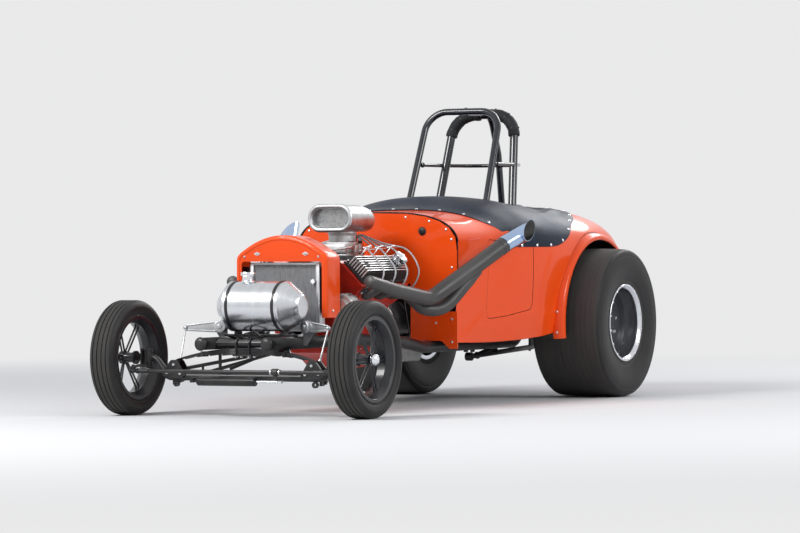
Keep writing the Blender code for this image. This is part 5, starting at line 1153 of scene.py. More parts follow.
def cockpit_outline(grow):
    """The cockpit's edge from above, as (x, back) points, moved outwards by a margin."""
    half = smooth((
        (0.00, cockpit_front - grow), (0.28 + grow / 2, cockpit_front - 0.005 - grow),
        (0.40 + grow, cockpit_front + 0.025 - grow), (0.48 + grow, cockpit_front + 0.095 - grow / 2),
        (0.600 + grow, cockpit_front + 0.20 * long), (0.68 + grow, cockpit_front + 0.286 * long),
        (0.68 + grow, cockpit_rear - 0.521 * long),
        (0.60 + 1.3 * grow, cockpit_rear - 0.43 * long + 0.4 * grow),
        (0.52 + 1.5 * grow, cockpit_rear - 0.336 * long + 0.6 * grow),
        (0.47 + 1.2 * grow, cockpit_rear - 0.24 + grow / 2),
        (0.36 + grow, cockpit_rear - 0.11 + grow), (0.19 + grow / 2, cockpit_rear - 0.03 + grow),
        (0.00, cockpit_rear + grow)), 4)
    half = [(p.x, p.y) for p in half]
    return half + [(-x, back) for x, back in reversed(half[1:-1])]


cockpit = cockpit_outline(0.0)
opening_z = 0.832
door = [tuple(p) for p in arc((1.645, 0.466), 0.028, 180, 270, 5)] + [
    (1.80, 0.452), (1.985, 0.479)] + [tuple(p) for p in arc((1.978, 0.505), 0.022, -60, 0, 4)] + [
    (1.995, 0.785), (1.995, 0.825), (1.617, 0.838)]


def from_arch(point):
    back = point.y - front_axle_y
    return math.hypot(back - wheelbase, point.z - rear_tyre_radius) - arch_edge


def keep_skin(point):
    """Positive where the skin stays round the cockpit and the wheel arches."""
    back = point.y - front_axle_y
    over = max(outline_distance(point.x, back, cockpit), (opening_z - point.z) * 3)
    arch = max(from_arch(point), (tub_x - abs(point.x)) * 3)
    return min(over, arch)


def from_door(point):
    """Distance from the door's outline, on the sides only."""
    if abs(point.x) < 0.40:
        return 1.0
    return outline_distance(point.y - front_axle_y, point.z, door)


# %% Body skin and doors
shut_line = 0.0022
base = Shape()
base.skin(skin_rows(body_front, tail_back, 150, 128), around=False, ends=(False, False))
trim(base.bm, keep_skin)
doors = base.bm.copy()
trim(base.bm, lambda p: from_door(p) - shut_line)
trim(doors, lambda p: shut_line * -0.2 - from_door(p))
thicken("body_skin", base.bm, 0.006, [frame_black, orange_paint], "chassis",
        ("body_shell",))
thicken("door_skins", doors, 0.005, [frame_black, orange_paint], "chassis")

# %% Tail panel, sill beads and the rim of the cockpit
tail = Shape()
ring = [skin_point(tail_back, k / 128) for k in range(129)]
middle = sum(ring, Vector()) / len(ring)
rows = []
for grow, push in ((1.0, -0.0005), (0.985, 0.0040), (0.95, 0.0052), (0.55, 0.0056), (0.0, 0.0058)):
    rows.append([middle + (p - middle) * grow + Vector((0, push - 0.0058, 0)) for p in ring] if grow else [
        middle + Vector((0, push - 0.0058, 0))])
tail.skin(rows, ends=(False, False))
thicken("tail_panel", tail.bm, 0.005, [frame_black, orange_paint], "chassis", offset=-1.0)

trim_bars = Shape()
for _, _, side in SIDES:
    share = 0.0 if side > 0 else 1.0
    sill = [skin_point(body_front + (2.235 - body_front) * i / 40, share) for i in range(41)]
    trim_bars.tube([p + Vector((-side * 0.001, 0, 0.001)) for p in sill], 0.0058, 8)
trim_bars.make("sill_beads", [orange_paint], "chassis", "orange_paint")


# %% [markdown]
# ## Wheel arches
# Each rear wheel stands in a tub: a flat inner wall beside the tyre, a roof over it, and outside a
# rounded flare with a rolled lip that bolts to the body. All of it is one profile spun part of a turn
# about the axle.

# %% Rear fenders
lip_x = rear_track / 2 + 0.037
flare = [tuple(p) for p in smooth((
    (lip_x - 0.060, arch_edge - 0.0004), (lip_x - 0.045, arch_edge - 0.0003),
    (lip_x - 0.026, arch_edge - 0.004),
    (lip_x - 0.008, arch_edge - 0.014), (lip_x - 0.001, arch_edge - 0.026), (lip_x, arch_radius + 0.006),
    (lip_x - 0.003, arch_radius + 0.0005), (lip_x - 0.010, arch_radius + 0.0008)), 4)]
roof = [flare[-1], (lip_x - 0.013, arch_radius + 0.004), (tub_x + 0.012, arch_radius + 0.004)]
tub = [tuple(p) for p in arc((tub_x + 0.012, arch_radius - 0.008), 0.012, 90, 180, 4)] + [
    (tub_x, 0.30), (tub_x + 0.004, 0.296), (tub_x, 0.292), (tub_x, 0.172)]
hub = at(0, wheelbase, rear_tyre_radius)
for tag, word, side in SIDES:
    fender = Shape()
    for points, finish_number in ((flare, 0), (roof, 1), (tub, 1)):
        fender.finish = finish_number
        rows = []
        for i in range(97):
            angle = math.radians(-9 + 180 * i / 96)
            out = Vector((0, -math.cos(angle), math.sin(angle)))
            rows.append([hub + Vector((side * x, 0, 0)) + out * r for x, r in points])
        fender.skin(rows, around=False, ends=(False, False))
    bmesh.ops.remove_doubles(fender.bm, verts=fender.bm.verts, dist=0.003)
    bmesh.ops.recalc_face_normals(fender.bm, faces=fender.bm.faces)
    sample = max(fender.bm.faces, key=lambda f: (f.calc_center_median() - hub).yz.length)
    if sample.normal.dot((sample.calc_center_median() - hub) * Vector((0, 1, 1))) < 0:
        bmesh.ops.reverse_faces(fender.bm, faces=fender.bm.faces)
    thicken("rear_flare_" + tag, fender.bm, 0.0035, [orange_paint, frame_black], "chassis",
            ("rear_fender_" + tag,), sharp=50.0)
    foot = math.radians(-6)
    spots = []
    for angle in [math.radians(a) for a in (-5, 8)]:
        out = Vector((0, -math.cos(angle), math.sin(angle)))
        spots.append((hub + Vector((side * (lip_x - 0.036), 0, 0)) + out * (arch_edge - 0.0015), out))
    fasteners("flare_screws_" + tag, spots, 0.0075, 0.005, 0.5, 12, zinc, "chassis")

# %% [markdown]
# ## Firewall
# The firewall is a flat painted panel, screwed round its edge. Its solid keeps its shape, and the
# screws are heads set on points along the edge.

# %% Firewall screws
edge_x = ((0.425, 0.842), (0.428, 0.70), (0.428, 0.612), (0.425, 0.44), (0.425, 0.325), (0.395, 0.892),
          (0.30, 0.935), (0.165, 0.955), (0.335, 0.42))
spots = []
for x, z in edge_x:
    for side in (-1, 1):
        spots.append((at(side * x, firewall_back, z), Vector((0, -1, 0))))
fasteners("firewall_screws", spots, 0.0065, 0.0035, 0.5, 12, zinc, "chassis")
plug = Shape()
plug.turned([(0, 0), (0, 0.021), (0.003, 0.0215), (0.006, 0.019), (0.009, 0.012), (0.0095, 0)],
            at(0.26, firewall_back, 0.885), (0, -1, 0), 24)
plug.make("firewall_plug", [hose_rubber], "chassis", "coated_black")

# %% [markdown]
# ## Tonneau cover
# The cockpit is closed by a vinyl cover that snaps on round the edge and leaves one hole over the bucket.
# It is a sheet stretched over the opening: it follows the body's crown a few millimetres up, dips
# where nothing carries it, and shows soft folds that run between its fixings. A cloth this tight
# needs no simulation; its folds are waves across the pull.

# %% Tonneau cover
cover_edge = cockpit_outline(0.028)
seat_back_y = wheelbase - 0.395


def cover_hole(x, back):
    """Distance outside the rounded square hole over the bucket."""
    dx, dy = abs(x) - 0.105, abs(back - seat_back_y) - 0.105
    return math.hypot(max(dx, 0), max(dy, 0)) + min(max(dx, dy), 0.0) - 0.07


def cover_point(back, share):
    point = skin_point(back, share, 0.0085, formed=False)
    x = point.x
    inside = -outline_distance(x, back, cockpit)
    hold = soft_step(inside, 0.0, 0.10)
    near_hole = soft_step(cover_hole(x, back), 0.16, 0.0)
    folds = 0.0100 * math.sin(30 * x + 5 * math.sin(2.6 * back)) * soft_step(back, 2.28, 2.50)
    folds += 0.0045 * math.sin(47 * x * (1 + 0.3 * back) + 9 * back) * soft_step(back, 2.2, 2.5)
    folds += 0.0040 * math.sin(17 * back + 8 * abs(x)) * soft_step(back, 2.2, 1.8)
    sag = -0.014 * hold * soft_step(back, 2.35, 2.60) * soft_step(abs(x), 0.50, 0.20)
    point.z += hold * (folds * (1 - 0.6 * near_hole) + sag) + 0.004 * near_hole
    return point


# %% Where the cover ends
front_leg = (at(0.290, wheelbase - 0.94, 0.35), at(0.229, wheelbase - 0.573, 1.0))
main_leg = (at(0.290, wheelbase - 0.345, 0.35), at(0.222, wheelbase - 0.235, 1.0))
spine_leg = (at(0, wheelbase + 0.165, 0.52), at(0, wheelbase + 0.055, 1.30))


def from_line(point, line):
    direction = (line[1] - line[0]).normalized()
    arm = point - line[0]
    return (arm - direction * arm.dot(direction)).length


def keep_cover(point):
    """Positive inside the hem and clear of the hole and the cage's legs."""
    back = point.y - front_axle_y
    within = -outline_distance(point.x, back, cover_edge)
    over = (point.z - opening_z + 0.028) * 1.4
    corner = 0.150 * soft_step(back, 2.02, 2.20)
    if within < corner and over < corner:
        over = corner - math.hypot(corner - within, corner - over)
    hem = min(within, over)
    mirrored_point = Vector((abs(point.x), point.y, point.z))
    legs = min(from_line(mirrored_point, front_leg) - 0.025, from_line(mirrored_point, main_leg) - 0.030,
               from_line(point, spine_leg) - 0.026)
    return min(hem, cover_hole(point.x, back), legs)


def edge_loops(bm):
    """The open edges of a sheet, each as a chain of points."""
    waiting = dict.fromkeys(edge for edge in bm.edges if len(edge.link_faces) == 1)
    loops = []
    while waiting:
        edge = next(iter(waiting))
        del waiting[edge]
        chain = [edge.verts[0], edge.verts[1]]
        while True:
            onward = [e for e in chain[-1].link_edges if e in waiting]
            if not onward:
                break
            del waiting[onward[0]]
            chain.append(onward[0].other_vert(chain[-1]))
        loops.append([vert.co.copy() for vert in chain])
    return sorted(loops, key=len, reverse=True)


def even(points, spacing):
    """The same chain with evenly spaced points."""
    total = sum((b - a).length for a, b in zip(points, points[1:]))
    count = max(int(total / spacing), 8)
    result, walked, k = [points[0]], 0.0, 0
    for i in range(1, count):
        goal = total * i / count
        while walked + (points[k + 1] - points[k]).length < goal:
            walked += (points[k + 1] - points[k]).length
            k += 1
        result.append(points[k].lerp(points[k + 1], (goal - walked)
                                     / max((points[k + 1] - points[k]).length, 1e-9)))
    return result + [points[-1]]


# %% Tonneau cover, hem and snaps
sheeting = Shape()
rows = []
for i in range(171):
    back = cockpit_front - 0.05 + (cockpit_rear + 0.10 - cockpit_front) * i / 170
    rows.append([cover_point(back, 0.20 + 0.60 * k / 150) for k in range(151)])
sheeting.skin(rows, around=False, ends=(False, False))
trim(sheeting.bm, keep_cover)
bmesh.ops.remove_doubles(sheeting.bm, verts=sheeting.bm.verts, dist=1e-5)
cover_area = sum(face.calc_area() for face in sheeting.bm.faces)
hem_loops = edge_loops(sheeting.bm)
surface = BVHTree.FromBMesh(sheeting.bm)
cover = thicken("tonneau_sheet", sheeting.bm, 0.003, [vinyl], "chassis", ("tonneau_cover",),
                sharp=60.0)
hem = Shape()
for loop in hem_loops[:2]:
    line = even(loop, 0.012)
    hem.tube(line[:-1] + line[:1], 0.0034, 8, ends=(False, False))
hem_piece = hem.make("tonneau_hem", [vinyl], "chassis", "black_vinyl")
snaps = []
for spot in even(hem_loops[0], 0.135)[:-1]:
    inward = (at(0, 2.25, 0.99) - spot).normalized()
    place, normal, _, _ = surface.find_nearest(spot + inward * 0.016)
    if normal.dot(place - at(0, 2.25, 0.72)) < 0:
        normal = -normal
    snaps.append((place + normal * 0.0022, normal))
snap_piece = fasteners("tonneau_snaps", snaps, 0.0085, 0.0050, 0.45, 14, chrome, "chassis")
print("cover of", round(cover_area, 3), "square metres with", len(snaps), "snaps")

# %% [markdown]
# ## Roll cage
# The cage is bent from round tube: a slim front hoop, a stouter main hoop and a spine between them
# that runs down to the rear cross tube. Each tube is a route of a few points whose corners get the
# bend radius of a tube bender. Where tubes meet, a low ring of weld runs round the joint.

# %% Cage routes
cage_top_z = 1.522
front_hoop = [at(s * x, wheelbase - b, z) for s in (1,) for x, b, z in (
    (0.290, 0.94, 0.3473), (0.229, 0.573, 1.000), (0.213, 0.350, cage_top_z))]
main_hoop = [at(x, wheelbase - b, z) for x, b, z in (
    (0.290, 0.345, 0.3473), (0.222, 0.235, 1.000), (0.178, 0.105, cage_top_z - 0.012))]
spine = [at(0, wheelbase + b, z) for b, z in (
    (-0.350, cage_top_z), (-0.04, cage_top_z), (0.055, 1.30), (0.165, 0.5223))]
head_bar = [at(x, wheelbase + b, 1.240) for x, b in (
    (0.219, -0.434), (0.215, -0.20), (0.150, 0.030), (-0.150, 0.030), (-0.215, -0.20), (-0.219, -0.434))]


def both_sides(half):
    return half + [Vector((-p.x, p.y, p.z)) for p in reversed(half)]


hoops = {"front": bent(both_sides(front_hoop), 0.115, 10), "main": bent(both_sides(main_hoop), 0.130, 10)}


def weld(shape, centre, axis, radius):
    """A low rippled ring where a tube is welded on."""
    axis = axis.normalized()
    side = beside(axis)
    across = axis.cross(side)
    line = []
    for k in range(48):
        a = 2 * math.pi * k / 48
        line.append(centre + (side * math.cos(a) + across * math.sin(a)) * (radius + 0.0012))
    sizes = [0.0026 + 0.0006 * (k % 2) for k in range(49)]
    shape.tube(line + line[:1], 0.0026, 6, radii=sizes, ends=(False, False))


# %% Roll cage
cage = Shape()
cage.tube(hoops["front"], 0.018, 24)
cage.tube(hoops["main"], 0.0225, 24)
cage.tube(bent(spine, 0.12, 10), 0.018, 24)
cage.tube(bent(head_bar, 0.12, 8), 0.010, 16)
for half in (front_hoop, main_hoop):
    for _, _, side in SIDES:
        foot = Vector((side * half[0].x, half[0].y, half[0].z))
        cage.block(foot + Vector((-0.040, -0.040, -0.014)), foot + Vector((0.040, 0.040, -0.008)), 0.002)
        cage.turned([(-0.012, 0.026), (-0.004, 0.024)], foot, (0, 0, 1), 24)
weld(cage, at(0, wheelbase - 0.350, cage_top_z) + Vector((0, 0.017, 0)), Vector((0, 1, 0)), 0.018)
for _, _, side in SIDES:
    weld(cage, at(side * 0.219, wheelbase - 0.434, 1.240) + Vector((0, 0.018, 0)), Vector((0, 1, 0)), 0.010)
cage.make("roll_cage_tubes", [cage_black], "chassis", "black_paint", ("roll_cage",))

# %% [markdown]
# ## Foam sleeves
# Split foam sleeves are tied round the top of the main hoop, as padding. Closed-cell foam is soft,
# so it bulges a little between its ties and is pinched under them, and its ends are cut off square.
# The thickness along the sleeve is therefore a wave that drops at each tie.

# %% Foam sleeves with ties
route = hoops["main"]
top_half = [p for p in route if p.z > 1.31]
sleeve = even(top_half, 0.006)
for tag, _, side in SIDES:
    line = [p for p in sleeve if (p.x - side * 0.026) * side > 0]
    lengths = [0.0]
    for a, b in zip(line, line[1:]):
        lengths.append(lengths[-1] + (b - a).length)
    total = lengths[-1]
    radii = []
    for walked in lengths:
        to_tie = abs((walked / total * 3) % 1.0 - 0.5) * total / 3
        pinch = 0.0022 * math.exp(-(to_tie / 0.008) ** 2)
        ends = 0.0016 * math.exp(-(min(walked, total - walked) / 0.004) ** 2)
        radii.append(0.0313 - pinch - ends + 0.0004 * math.sin(walked * 210))
    pad = Shape()
    pad.tube(line, 0.0313, 24, radii=radii, bore=0.0230)
    piece = pad.make("foam_sleeve_" + tag, [foam], "chassis", "foam_sleeve", ("hoop_pad_" + tag,),
                     sharp=50.0)
    ties = Shape()
    for k in range(3):
        goal = total * (k + 0.5) / 3
        i = min(range(len(lengths)), key=lambda n: abs(lengths[n] - goal))
        i = min(max(i, 1), len(line) - 2)
        along = (line[i + 1] - line[i - 1]).normalized()
        ties.turned([(-0.0025, 0.0288), (-0.0025, 0.0302), (0.0025, 0.0302), (0.0025, 0.0288)], line[i],
                    along, 32,
                    closed=True)
        lift = beside(along)
        ties.turned([(0, 0), (0, 0.004), (0.006, 0.004), (0.006, 0)], line[i] + lift * 0.029, lift, 8)
    ties.make("sleeve_ties_" + tag, [hose_rubber], "chassis", "coated_black")

# %% [markdown]
# ## Chassis rails
# Two round tubes carry everything. They stand close together at the front, spread under the cabin and
# kick up over the rear axle. Their noses are closed by small domed caps with a weld round each.

# %% Rails and cross tubes
rail_radius = 0.030
rail_line = (
    (0.181, -0.117, 0.350), (0.181, 0.80, 0.350), (0.27, 1.10, 0.330), (0.30, 1.27, 0.300),
    (0.30, wheelbase - 0.37, 0.300), (0.30, wheelbase - 0.21, 0.500), (0.30, wheelbase + 0.20, 0.500))
gearbox_rear = 2.05
rails = Shape()
for _, _, side in SIDES:
    route = bent([at(side * x, back, z) for x, back, z in rail_line], 0.10, 8)
    nose = route[0]
    rails.tube(route, rail_radius, 24, ends=(False, True))
    rails.turned([(0.0, rail_radius), (-0.0015, rail_radius * 0.97)] + [
        (-0.0015 - 0.010 * math.sin(math.radians(a)), rail_radius * 0.95 * math.cos(math.radians(a)))
        for a in (20, 40, 60, 80)] + [(-0.0118, 0.0)], nose, (0, 1, 0), 24)
    weld(rails, nose + Vector((0, 0.004, 0)), Vector((0, 1, 0)), rail_radius - 0.0008)
for back, half, z, radius in ((0.0, 0.181, 0.3498, 0.020), (0.4155, 0.181, 0.350, 0.020),
                              (gearbox_rear - 0.13, 0.30, 0.300, 0.020),
                              (wheelbase + 0.165, 0.30, 0.500, 0.020)):
    rails.rod(at(-half, back, z), at(half, back, z), radius, 20)
    for _, _, side in SIDES:
        weld(rails, at(side * (half - 0.026), back, z), Vector((1, 0, 0)), radius)
for _, _, side in SIDES:
    for dx in (-0.022, 0.016):
        rails.block(at(side * 0.235 + dx, gearbox_rear - 0.152, 0.256),
                    at(side * 0.235 + dx + 0.006, gearbox_rear - 0.108, 0.305))
rails.block(at(-0.030, gearbox_rear - 0.146, 0.300), at(0.030, gearbox_rear - 0.114, 0.3615), 0.004)
rails.make("chassis_tubes", [frame_black], "chassis", "black_paint", ("frame",))

# %% [markdown]
# ## Front axle
# The axle is a tube bent up at both ends to the kingpins, so the car sits low. The spring's ends are
# held between two perch plates, and the brake-less hubs turn on plain yokes.

# %% Dropped axle and perches
axle = Shape()
axle_line = [at(x, 0, z) for x, z in ((-0.540, 0.279), (-0.499, 0.279), (-0.428, 0.190), (0.428, 0.190),
                                      (0.499, 0.279), (0.540, 0.279))]
route = bent(axle_line, 0.04, 8)
sizes = [0.020 - 0.005 * soft_step(p.z, 0.225, 0.272) for p in route]
route = [route[0]] + [p for p in route[1:-1]] + [route[-1]]
axle.tube(route, 0.020, 24, radii=sizes)
for _, _, side in SIDES:
    boss = at(side * 0.540, 0, 0.279)
    axle.turned(eased([(-0.031, 0), (-0.031, 0.021), (0.031, 0.021), (0.031, 0)], 0.002), boss, (0, 0, 1),
                28)
    weld(axle, at(side * 0.520, 0, 0.279), Vector((1, 0, 0)), 0.015)
    for face in (-1, 1):
        near = front_axle_y + face * 0.0228
        outline = [(side * x, z) for x,
                   z in eased([(0.315, 0.192), (0.445, 0.190), (0.437, 0.215), (0.425, 0.238),
                                                    (0.397, 0.270), (0.362, 0.270), (0.335, 0.225),
                                                    (0.315, 0.192)],
                                                   0.006)][:-1]
        axle.slab(outline, "Y", near, near + face * 0.0078, 0.0015)
    x = sorted((side * 0.330, side * 0.430))
    axle.block(at(x[0], -0.0305, 0.182), at(x[1], 0.0305, 0.198), 0.003)
    axle.turned([(-0.008, 0.007), (-0.008, 0.0155), (0.008, 0.0155), (0.008, 0.007)],
                at(side * 0.383, 0, 0.156), (0, 1, 0), 20, closed=True)
    axle.block(at(side * 0.405 - 0.004, 0.005, 0.150), at(side * 0.405 + 0.004, 0.046, 0.235), 0.0015)
lug = 0.172 + 0.007
axle.block(at(-0.247, -0.112, lug + 0.0005), at(-0.223, -0.002, lug + 0.009), 0.002)
axle.make("front_axle_beam", [frame_black], "chassis", "black_paint", ("front_axle",))
bolts = []
for _, _, side in SIDES:
    for x, z in ((0.380, 0.2475), (0.345, 0.205), (0.418, 0.208)):
        bolts.append((at(side * x, -0.0306, z), Vector((0, -1, 0))))
        bolts.append((at(side * x, 0.0306, z), Vector((0, 1, 0))))
fasteners("perch_bolts", bolts, 0.0085, 0.007, 0.75, 6, zinc, "chassis")

# %% [markdown]
# ## Leaf spring
# One transverse pack of five leaves carries the front. Each leaf is a thin curved strip, a little
# shorter than the one above, with rounded ends and a slight gap line between. Two U-bolts clamp the
# pack under the cross tube, and a rebound clip holds the leaves near each end.

# %% Leaves, U-bolts and clips
leaf_spans = (0.385, 0.33, 0.26, 0.19, 0.12)
leaf_thickness = 0.0065
half_wide = 0.0225


def camber(x):
    return 0.3295 - 0.060 * (x / leaf_spans[0]) ** 2


leaves = Shape()
for k, reach in enumerate(leaf_spans):
    rows = []
    for i in range(49):
        x = -reach + 2 * reach * i / 48
        left = reach - abs(x)
        wide = half_wide * min(1.0, 0.55 + 0.45 * min(max(left, 0.0) / 0.012, 1.0) ** 0.5)
        high = camber(x) - k * leaf_thickness
        thin = leaf_thickness - (0.0006 if k + 1 < len(leaf_spans) else 0.0)
        edge = 0.0012
        ring = [(-wide, high - edge), (-wide + edge, high), (wide - edge, high), (wide, high - edge),
                (wide, high - thin + edge), (wide - edge, high - thin), (-wide + edge, high - thin),
                (-wide, high - thin + edge)]
        rows.append([at(x, y, z) for y, z in ring])
    leaves.skin(rows)
leaves.make("spring_leaves", [frame_black], "chassis", "black_paint", ("front_spring",))
clamps = Shape()
for x in (-0.036, 0.036):
    top = 0.3498 + 0.0235
    line = [at(x, -0.0265, 0.282), at(x, -0.0265, top), at(x, 0.0265, top), at(x, 0.0265, 0.282)]
    clamps.tube(bent(line, 0.024, 6), 0.0042, 12)
clamps.block(at(-0.052, -0.034, 0.2895), at(0.052, 0.034, 0.2965), 0.002)
for _, _, side in SIDES:
    for x in (0.225,):
        z = camber(x)
        low = z - 3 * leaf_thickness
        loop = [at(side * x, y, h) for y,
                h in ((-0.0245, low - 0.002), (-0.0245, z + 0.002), (0.0245, z + 0.002),
                                                (0.0245, low - 0.002))]
        for one, two in zip(loop, loop[1:] + loop[:1]):
            low_corner = Vector([min(a, b) for a, b in zip(one, two)]) - Vector((0.008, 0.001, 0.001))
            high_corner = Vector([max(a, b) for a, b in zip(one, two)]) + Vector((0.008, 0.001, 0.001))
            clamps.block(low_corner, high_corner, 0.0005)
clamps.rod(at(-0.139, 0.0, 0.225), at(-0.139, 0.0, 0.305), 0.008, 14)
clamps.rod(at(-0.114, 0.05, 0.226), at(0.061, 0.10, 0.300), 0.008, 14)
clamps.make("spring_clamps", [frame_black], "chassis", "black_paint")
nuts = [(at(x, y, 0.2895), Vector((0, 0, -1))) for x in (-0.036, 0.036) for y in (-0.0265, 0.0265)]
fasteners("u_bolt_nuts", nuts, 0.0085, 0.008, 0.8, 6, zinc, "chassis")

# %% [markdown]
# ## Radius rods and lever dampers
# A hairpin of two rods runs back from each end of the axle to the rail and stops the axle twisting.
# Above it sits an old-style lever damper: a satin, waisted arm on a drum, with a thin link down to
# the perch. The arm is skinned over rings that narrow towards its ball.

# %% Radius rods
for tag, _, side in SIDES:
    rods = Shape()
    meet = at(side * 0.185, 0.74, 0.3017)
    high, low = at(side * 0.405, 0.0543, 0.220), at(side * 0.405, 0.0543, 0.166)
    rods.rod(high, meet, 0.009, 16)
    rods.rod(low, meet, 0.009, 16)
    rods.rod(low.lerp(meet, 0.22), high.lerp(meet, 0.22), 0.006, 12)
    for point in (high, low):
        rods.block(point - Vector((0.009, 0.008, 0.010)), point + Vector((0.009, 0.008, 0.010)), 0.002)
        rods.turned([(0.0, 0.0115), (0.030, 0.0115)], point, meet - point, 6)
    rods.ball(meet, 0.018, 24)
    rods.make("hairpin_rods_" + tag, [frame_black], "chassis", "black_paint", ("radius_rod_" + tag,))

# %% Lever dampers
for tag, _, side in SIDES:
    pivot, tip = at(side * 0.241, 0.175, 0.427), at(side * 0.395, 0.109, 0.422)
    reach = tip - pivot
    facing = reach.normalized().cross(Vector((0, 0, 1))).normalized()
    tall = Vector((0, 0, 1))
    damper = Shape()
    damper.turned(eased([(-0.018, 0), (-0.018, 0.030), (0.018, 0.030), (0.018, 0)], 0.004), pivot, facing,
                  32)
    damper.turned(eased([(-0.024, 0), (-0.024, 0.012), (0.024, 0.012), (0.024, 0)], 0.003), pivot, facing,
                  20)
    for edge, thick in ((1, 0.0048), (-1, 0.0048), (0, 0.0022)):
        rows = []
        for i in range(13):
            t = i / 12
            spread = (0.024 - 0.014 * t) * edge
            centre = pivot + reach * t + tall * spread
            half_tall = 0.0055 if edge else (0.024 - 0.014 * t)
            ring = []
            for k in range(10):
                a = 2 * math.pi * k / 10
                ring.append(centre + tall * half_tall * math.cos(a) + facing * thick * math.sin(a))
            rows.append(ring)
        damper.skin(rows)
    damper.ball(tip, 0.0115, 20)
    foot = at(side * 0.385, 0.0405, 0.268)
    damper.rod(tip, foot, 0.0042, 14)
    damper.turned(eased([(-0.010, 0), (-0.010, 0.008), (0.008, 0.008), (0.008, 0)], 0.002), foot, tip
                  - foot, 14)
    damper.finish = 1
    plate = [(side * x, z) for x, z in ((0.2113, 0.336), (0.229, 0.336), (0.272, 0.400), (0.270, 0.452),
                                        (0.212, 0.455), (0.2113, 0.400))]
    damper.slab(plate, "Y", pivot.y + 0.0165, pivot.y + 0.0235, 0.0015)
    damper.make("lever_damper_arm_" + tag, [satin_metal, sheet_steel], "chassis", "polished_metal",
                ("lever_damper_" + tag,))

# %% [markdown]
# ## Steering at the front wheels
# Each wheel turns on a yoke round the axle's boss. Its arm reaches forward to the tie rod, whose ends
# are screwed joints with a lock nut, and a small damper lies between the tie rod and the axle.

# %% Knuckles
for tag, word, side in SIDES:
    pin = at(side * 0.540, 0, 0.279)
    yoke = Shape()
    for face in (-1, 1):
        ear = pin + Vector((0, 0, face * 0.0384))
        yoke.turned(eased([(-0.007, 0), (-0.007, 0.023), (0.007, 0.023), (0.007, 0)], 0.002), ear,
                    (0, 0, 1), 28)
        yoke.turned(eased([(0, 0), (0, 0.009), (0.007, 0.009), (0.007, 0)], 0.0015), ear
                    + Vector((0, 0, face * 0.007)),
                    (0, 0, face), 6)
        yoke.block(ear + Vector((min(0, side * 0.038), -0.016, -0.0062)),
                   ear + Vector((max(0, side * 0.038), 0.016, 0.0062)), 0.002)
    x = sorted((pin.x + side * 0.027, pin.x + side * 0.038))
    yoke.block((x[0], pin.y - 0.018, pin.z - 0.043), (x[1], pin.y + 0.018, pin.z + 0.043), 0.003)
    yoke.rod(Vector((pin.x + side * 0.031, pin.y, pin.z)), Vector((side * 0.683, pin.y, pin.z)), 0.012, 20)
    tip = at(side * 0.540, -0.145, 0.2364)
    low_ear = pin - Vector((0, 0, 0.0384))
    rows = []
    for i in range(9):
        t = i / 8
        middle = low_ear.lerp(tip, t) + Vector((0, -0.004 * (1 - t), 0.006 * math.sin(math.pi * t)))
        wide, thick = 0.016 - 0.005 * t, 0.0066
        rows.append([middle + Vector((wide * math.cos(a), 0, thick * math.sin(a)))
                     for a in [2 * math.pi * k / 12 for k in range(12)]])
    yoke.skin(rows)
    yoke.turned(eased([(-0.006, 0), (-0.006, 0.014), (0.006, 0.014), (0.006, 0)], 0.0015), tip, (0, 0, 1),
                20)
    yoke.turned([(0, 0), (0, 0.008), (0.008, 0.008), (0.008, 0)], tip + Vector((0, 0, 0.006)), (0, 0, 1), 6)
    yoke.make("knuckle_yoke_" + tag, [frame_black], word + "_knuckle", "black_paint", ("knuckle_" + tag,))

# %% Tie rod and steering damper
left, right_end = at(0.540, -0.145, 0.220), at(-0.540, -0.145, 0.220)
bar = Shape()
bar.rod(left, right_end, 0.009, 20)
for end, side in ((left, -1), (right_end, 1)):
    bar.turned(eased([(-0.010, 0), (-0.010, 0.013), (-0.004, 0.017), (0.004, 0.017), (0.010, 0.013),
                      (0.010, 0)], 0.002),
               end, (0, 0, 1), 24)
    bar.turned([(0.020, 0.0), (0.020, 0.0135), (0.030, 0.0135), (0.030, 0.0)], end, (side, 0, 0), 6)
    bar.turned([(0.030, 0.0), (0.030, 0.0105), (0.085, 0.0105), (0.085, 0.0)], end, (side, 0, 0), 16)
bar.turned(eased([(-0.015, 0), (-0.015, 0.017), (0.015, 0.017), (0.015, 0)], 0.002),
           at(0.247, -0.145, 0.220),
           (1, 0, 0), 20)
bar.block(at(0.235, -0.151, 0.1802), at(0.259, -0.088, 0.187), 0.0015)
bar.block(at(0.238, -0.149, 0.182), at(0.256, -0.141, 0.220), 0.001)
bar.finish = 1
for x in (0.2235, 0.2705):
    bar.turned([(-0.003, 0.0092), (-0.003, 0.0125), (0.003, 0.0125), (0.003, 0.0092)], at(x, -0.145, 0.220),
               (1, 0, 0), 20, closed=True)
bar.make("tie_rod_bar", [frame_black, zinc], "tie_bar", "black_paint", ("tie_rod",))

barrel = Shape()
start = at(-0.207, -0.100, 0.172)
barrel.turned(eased([(0, 0), (0, 0.016), (0.006, 0.022), (0.318, 0.022), (0.322, 0.020), (0.322, 0.0066),
                     (0.312, 0.0066)], 0.002), start, (1, 0, 0), 32, ends=False)
barrel.rod(at(-0.235, -0.100, 0.172), start + Vector((0.006, 0, 0)), 0.006, 14)
barrel.turned(eased([(-0.007, 0.0), (-0.007, 0.013), (0.007, 0.013), (0.007, 0.0)], 0.0015),
              at(-0.235, -0.100, 0.172), (0, 0, 1), 20)
barrel.make("steering_damper_body", [frame_black], "chassis", "black_paint", ("steering_damper_tube",))
sliding = Shape()
sliding.rod(at(-0.045, -0.100, 0.172), at(0.247, -0.100, 0.172), 0.006, 16)
sliding.turned(eased([(-0.007, 0.0), (-0.007, 0.013), (0.007, 0.013), (0.007, 0.0)], 0.0015),
               at(0.247, -0.100, 0.172), (0, 0, 1), 20)
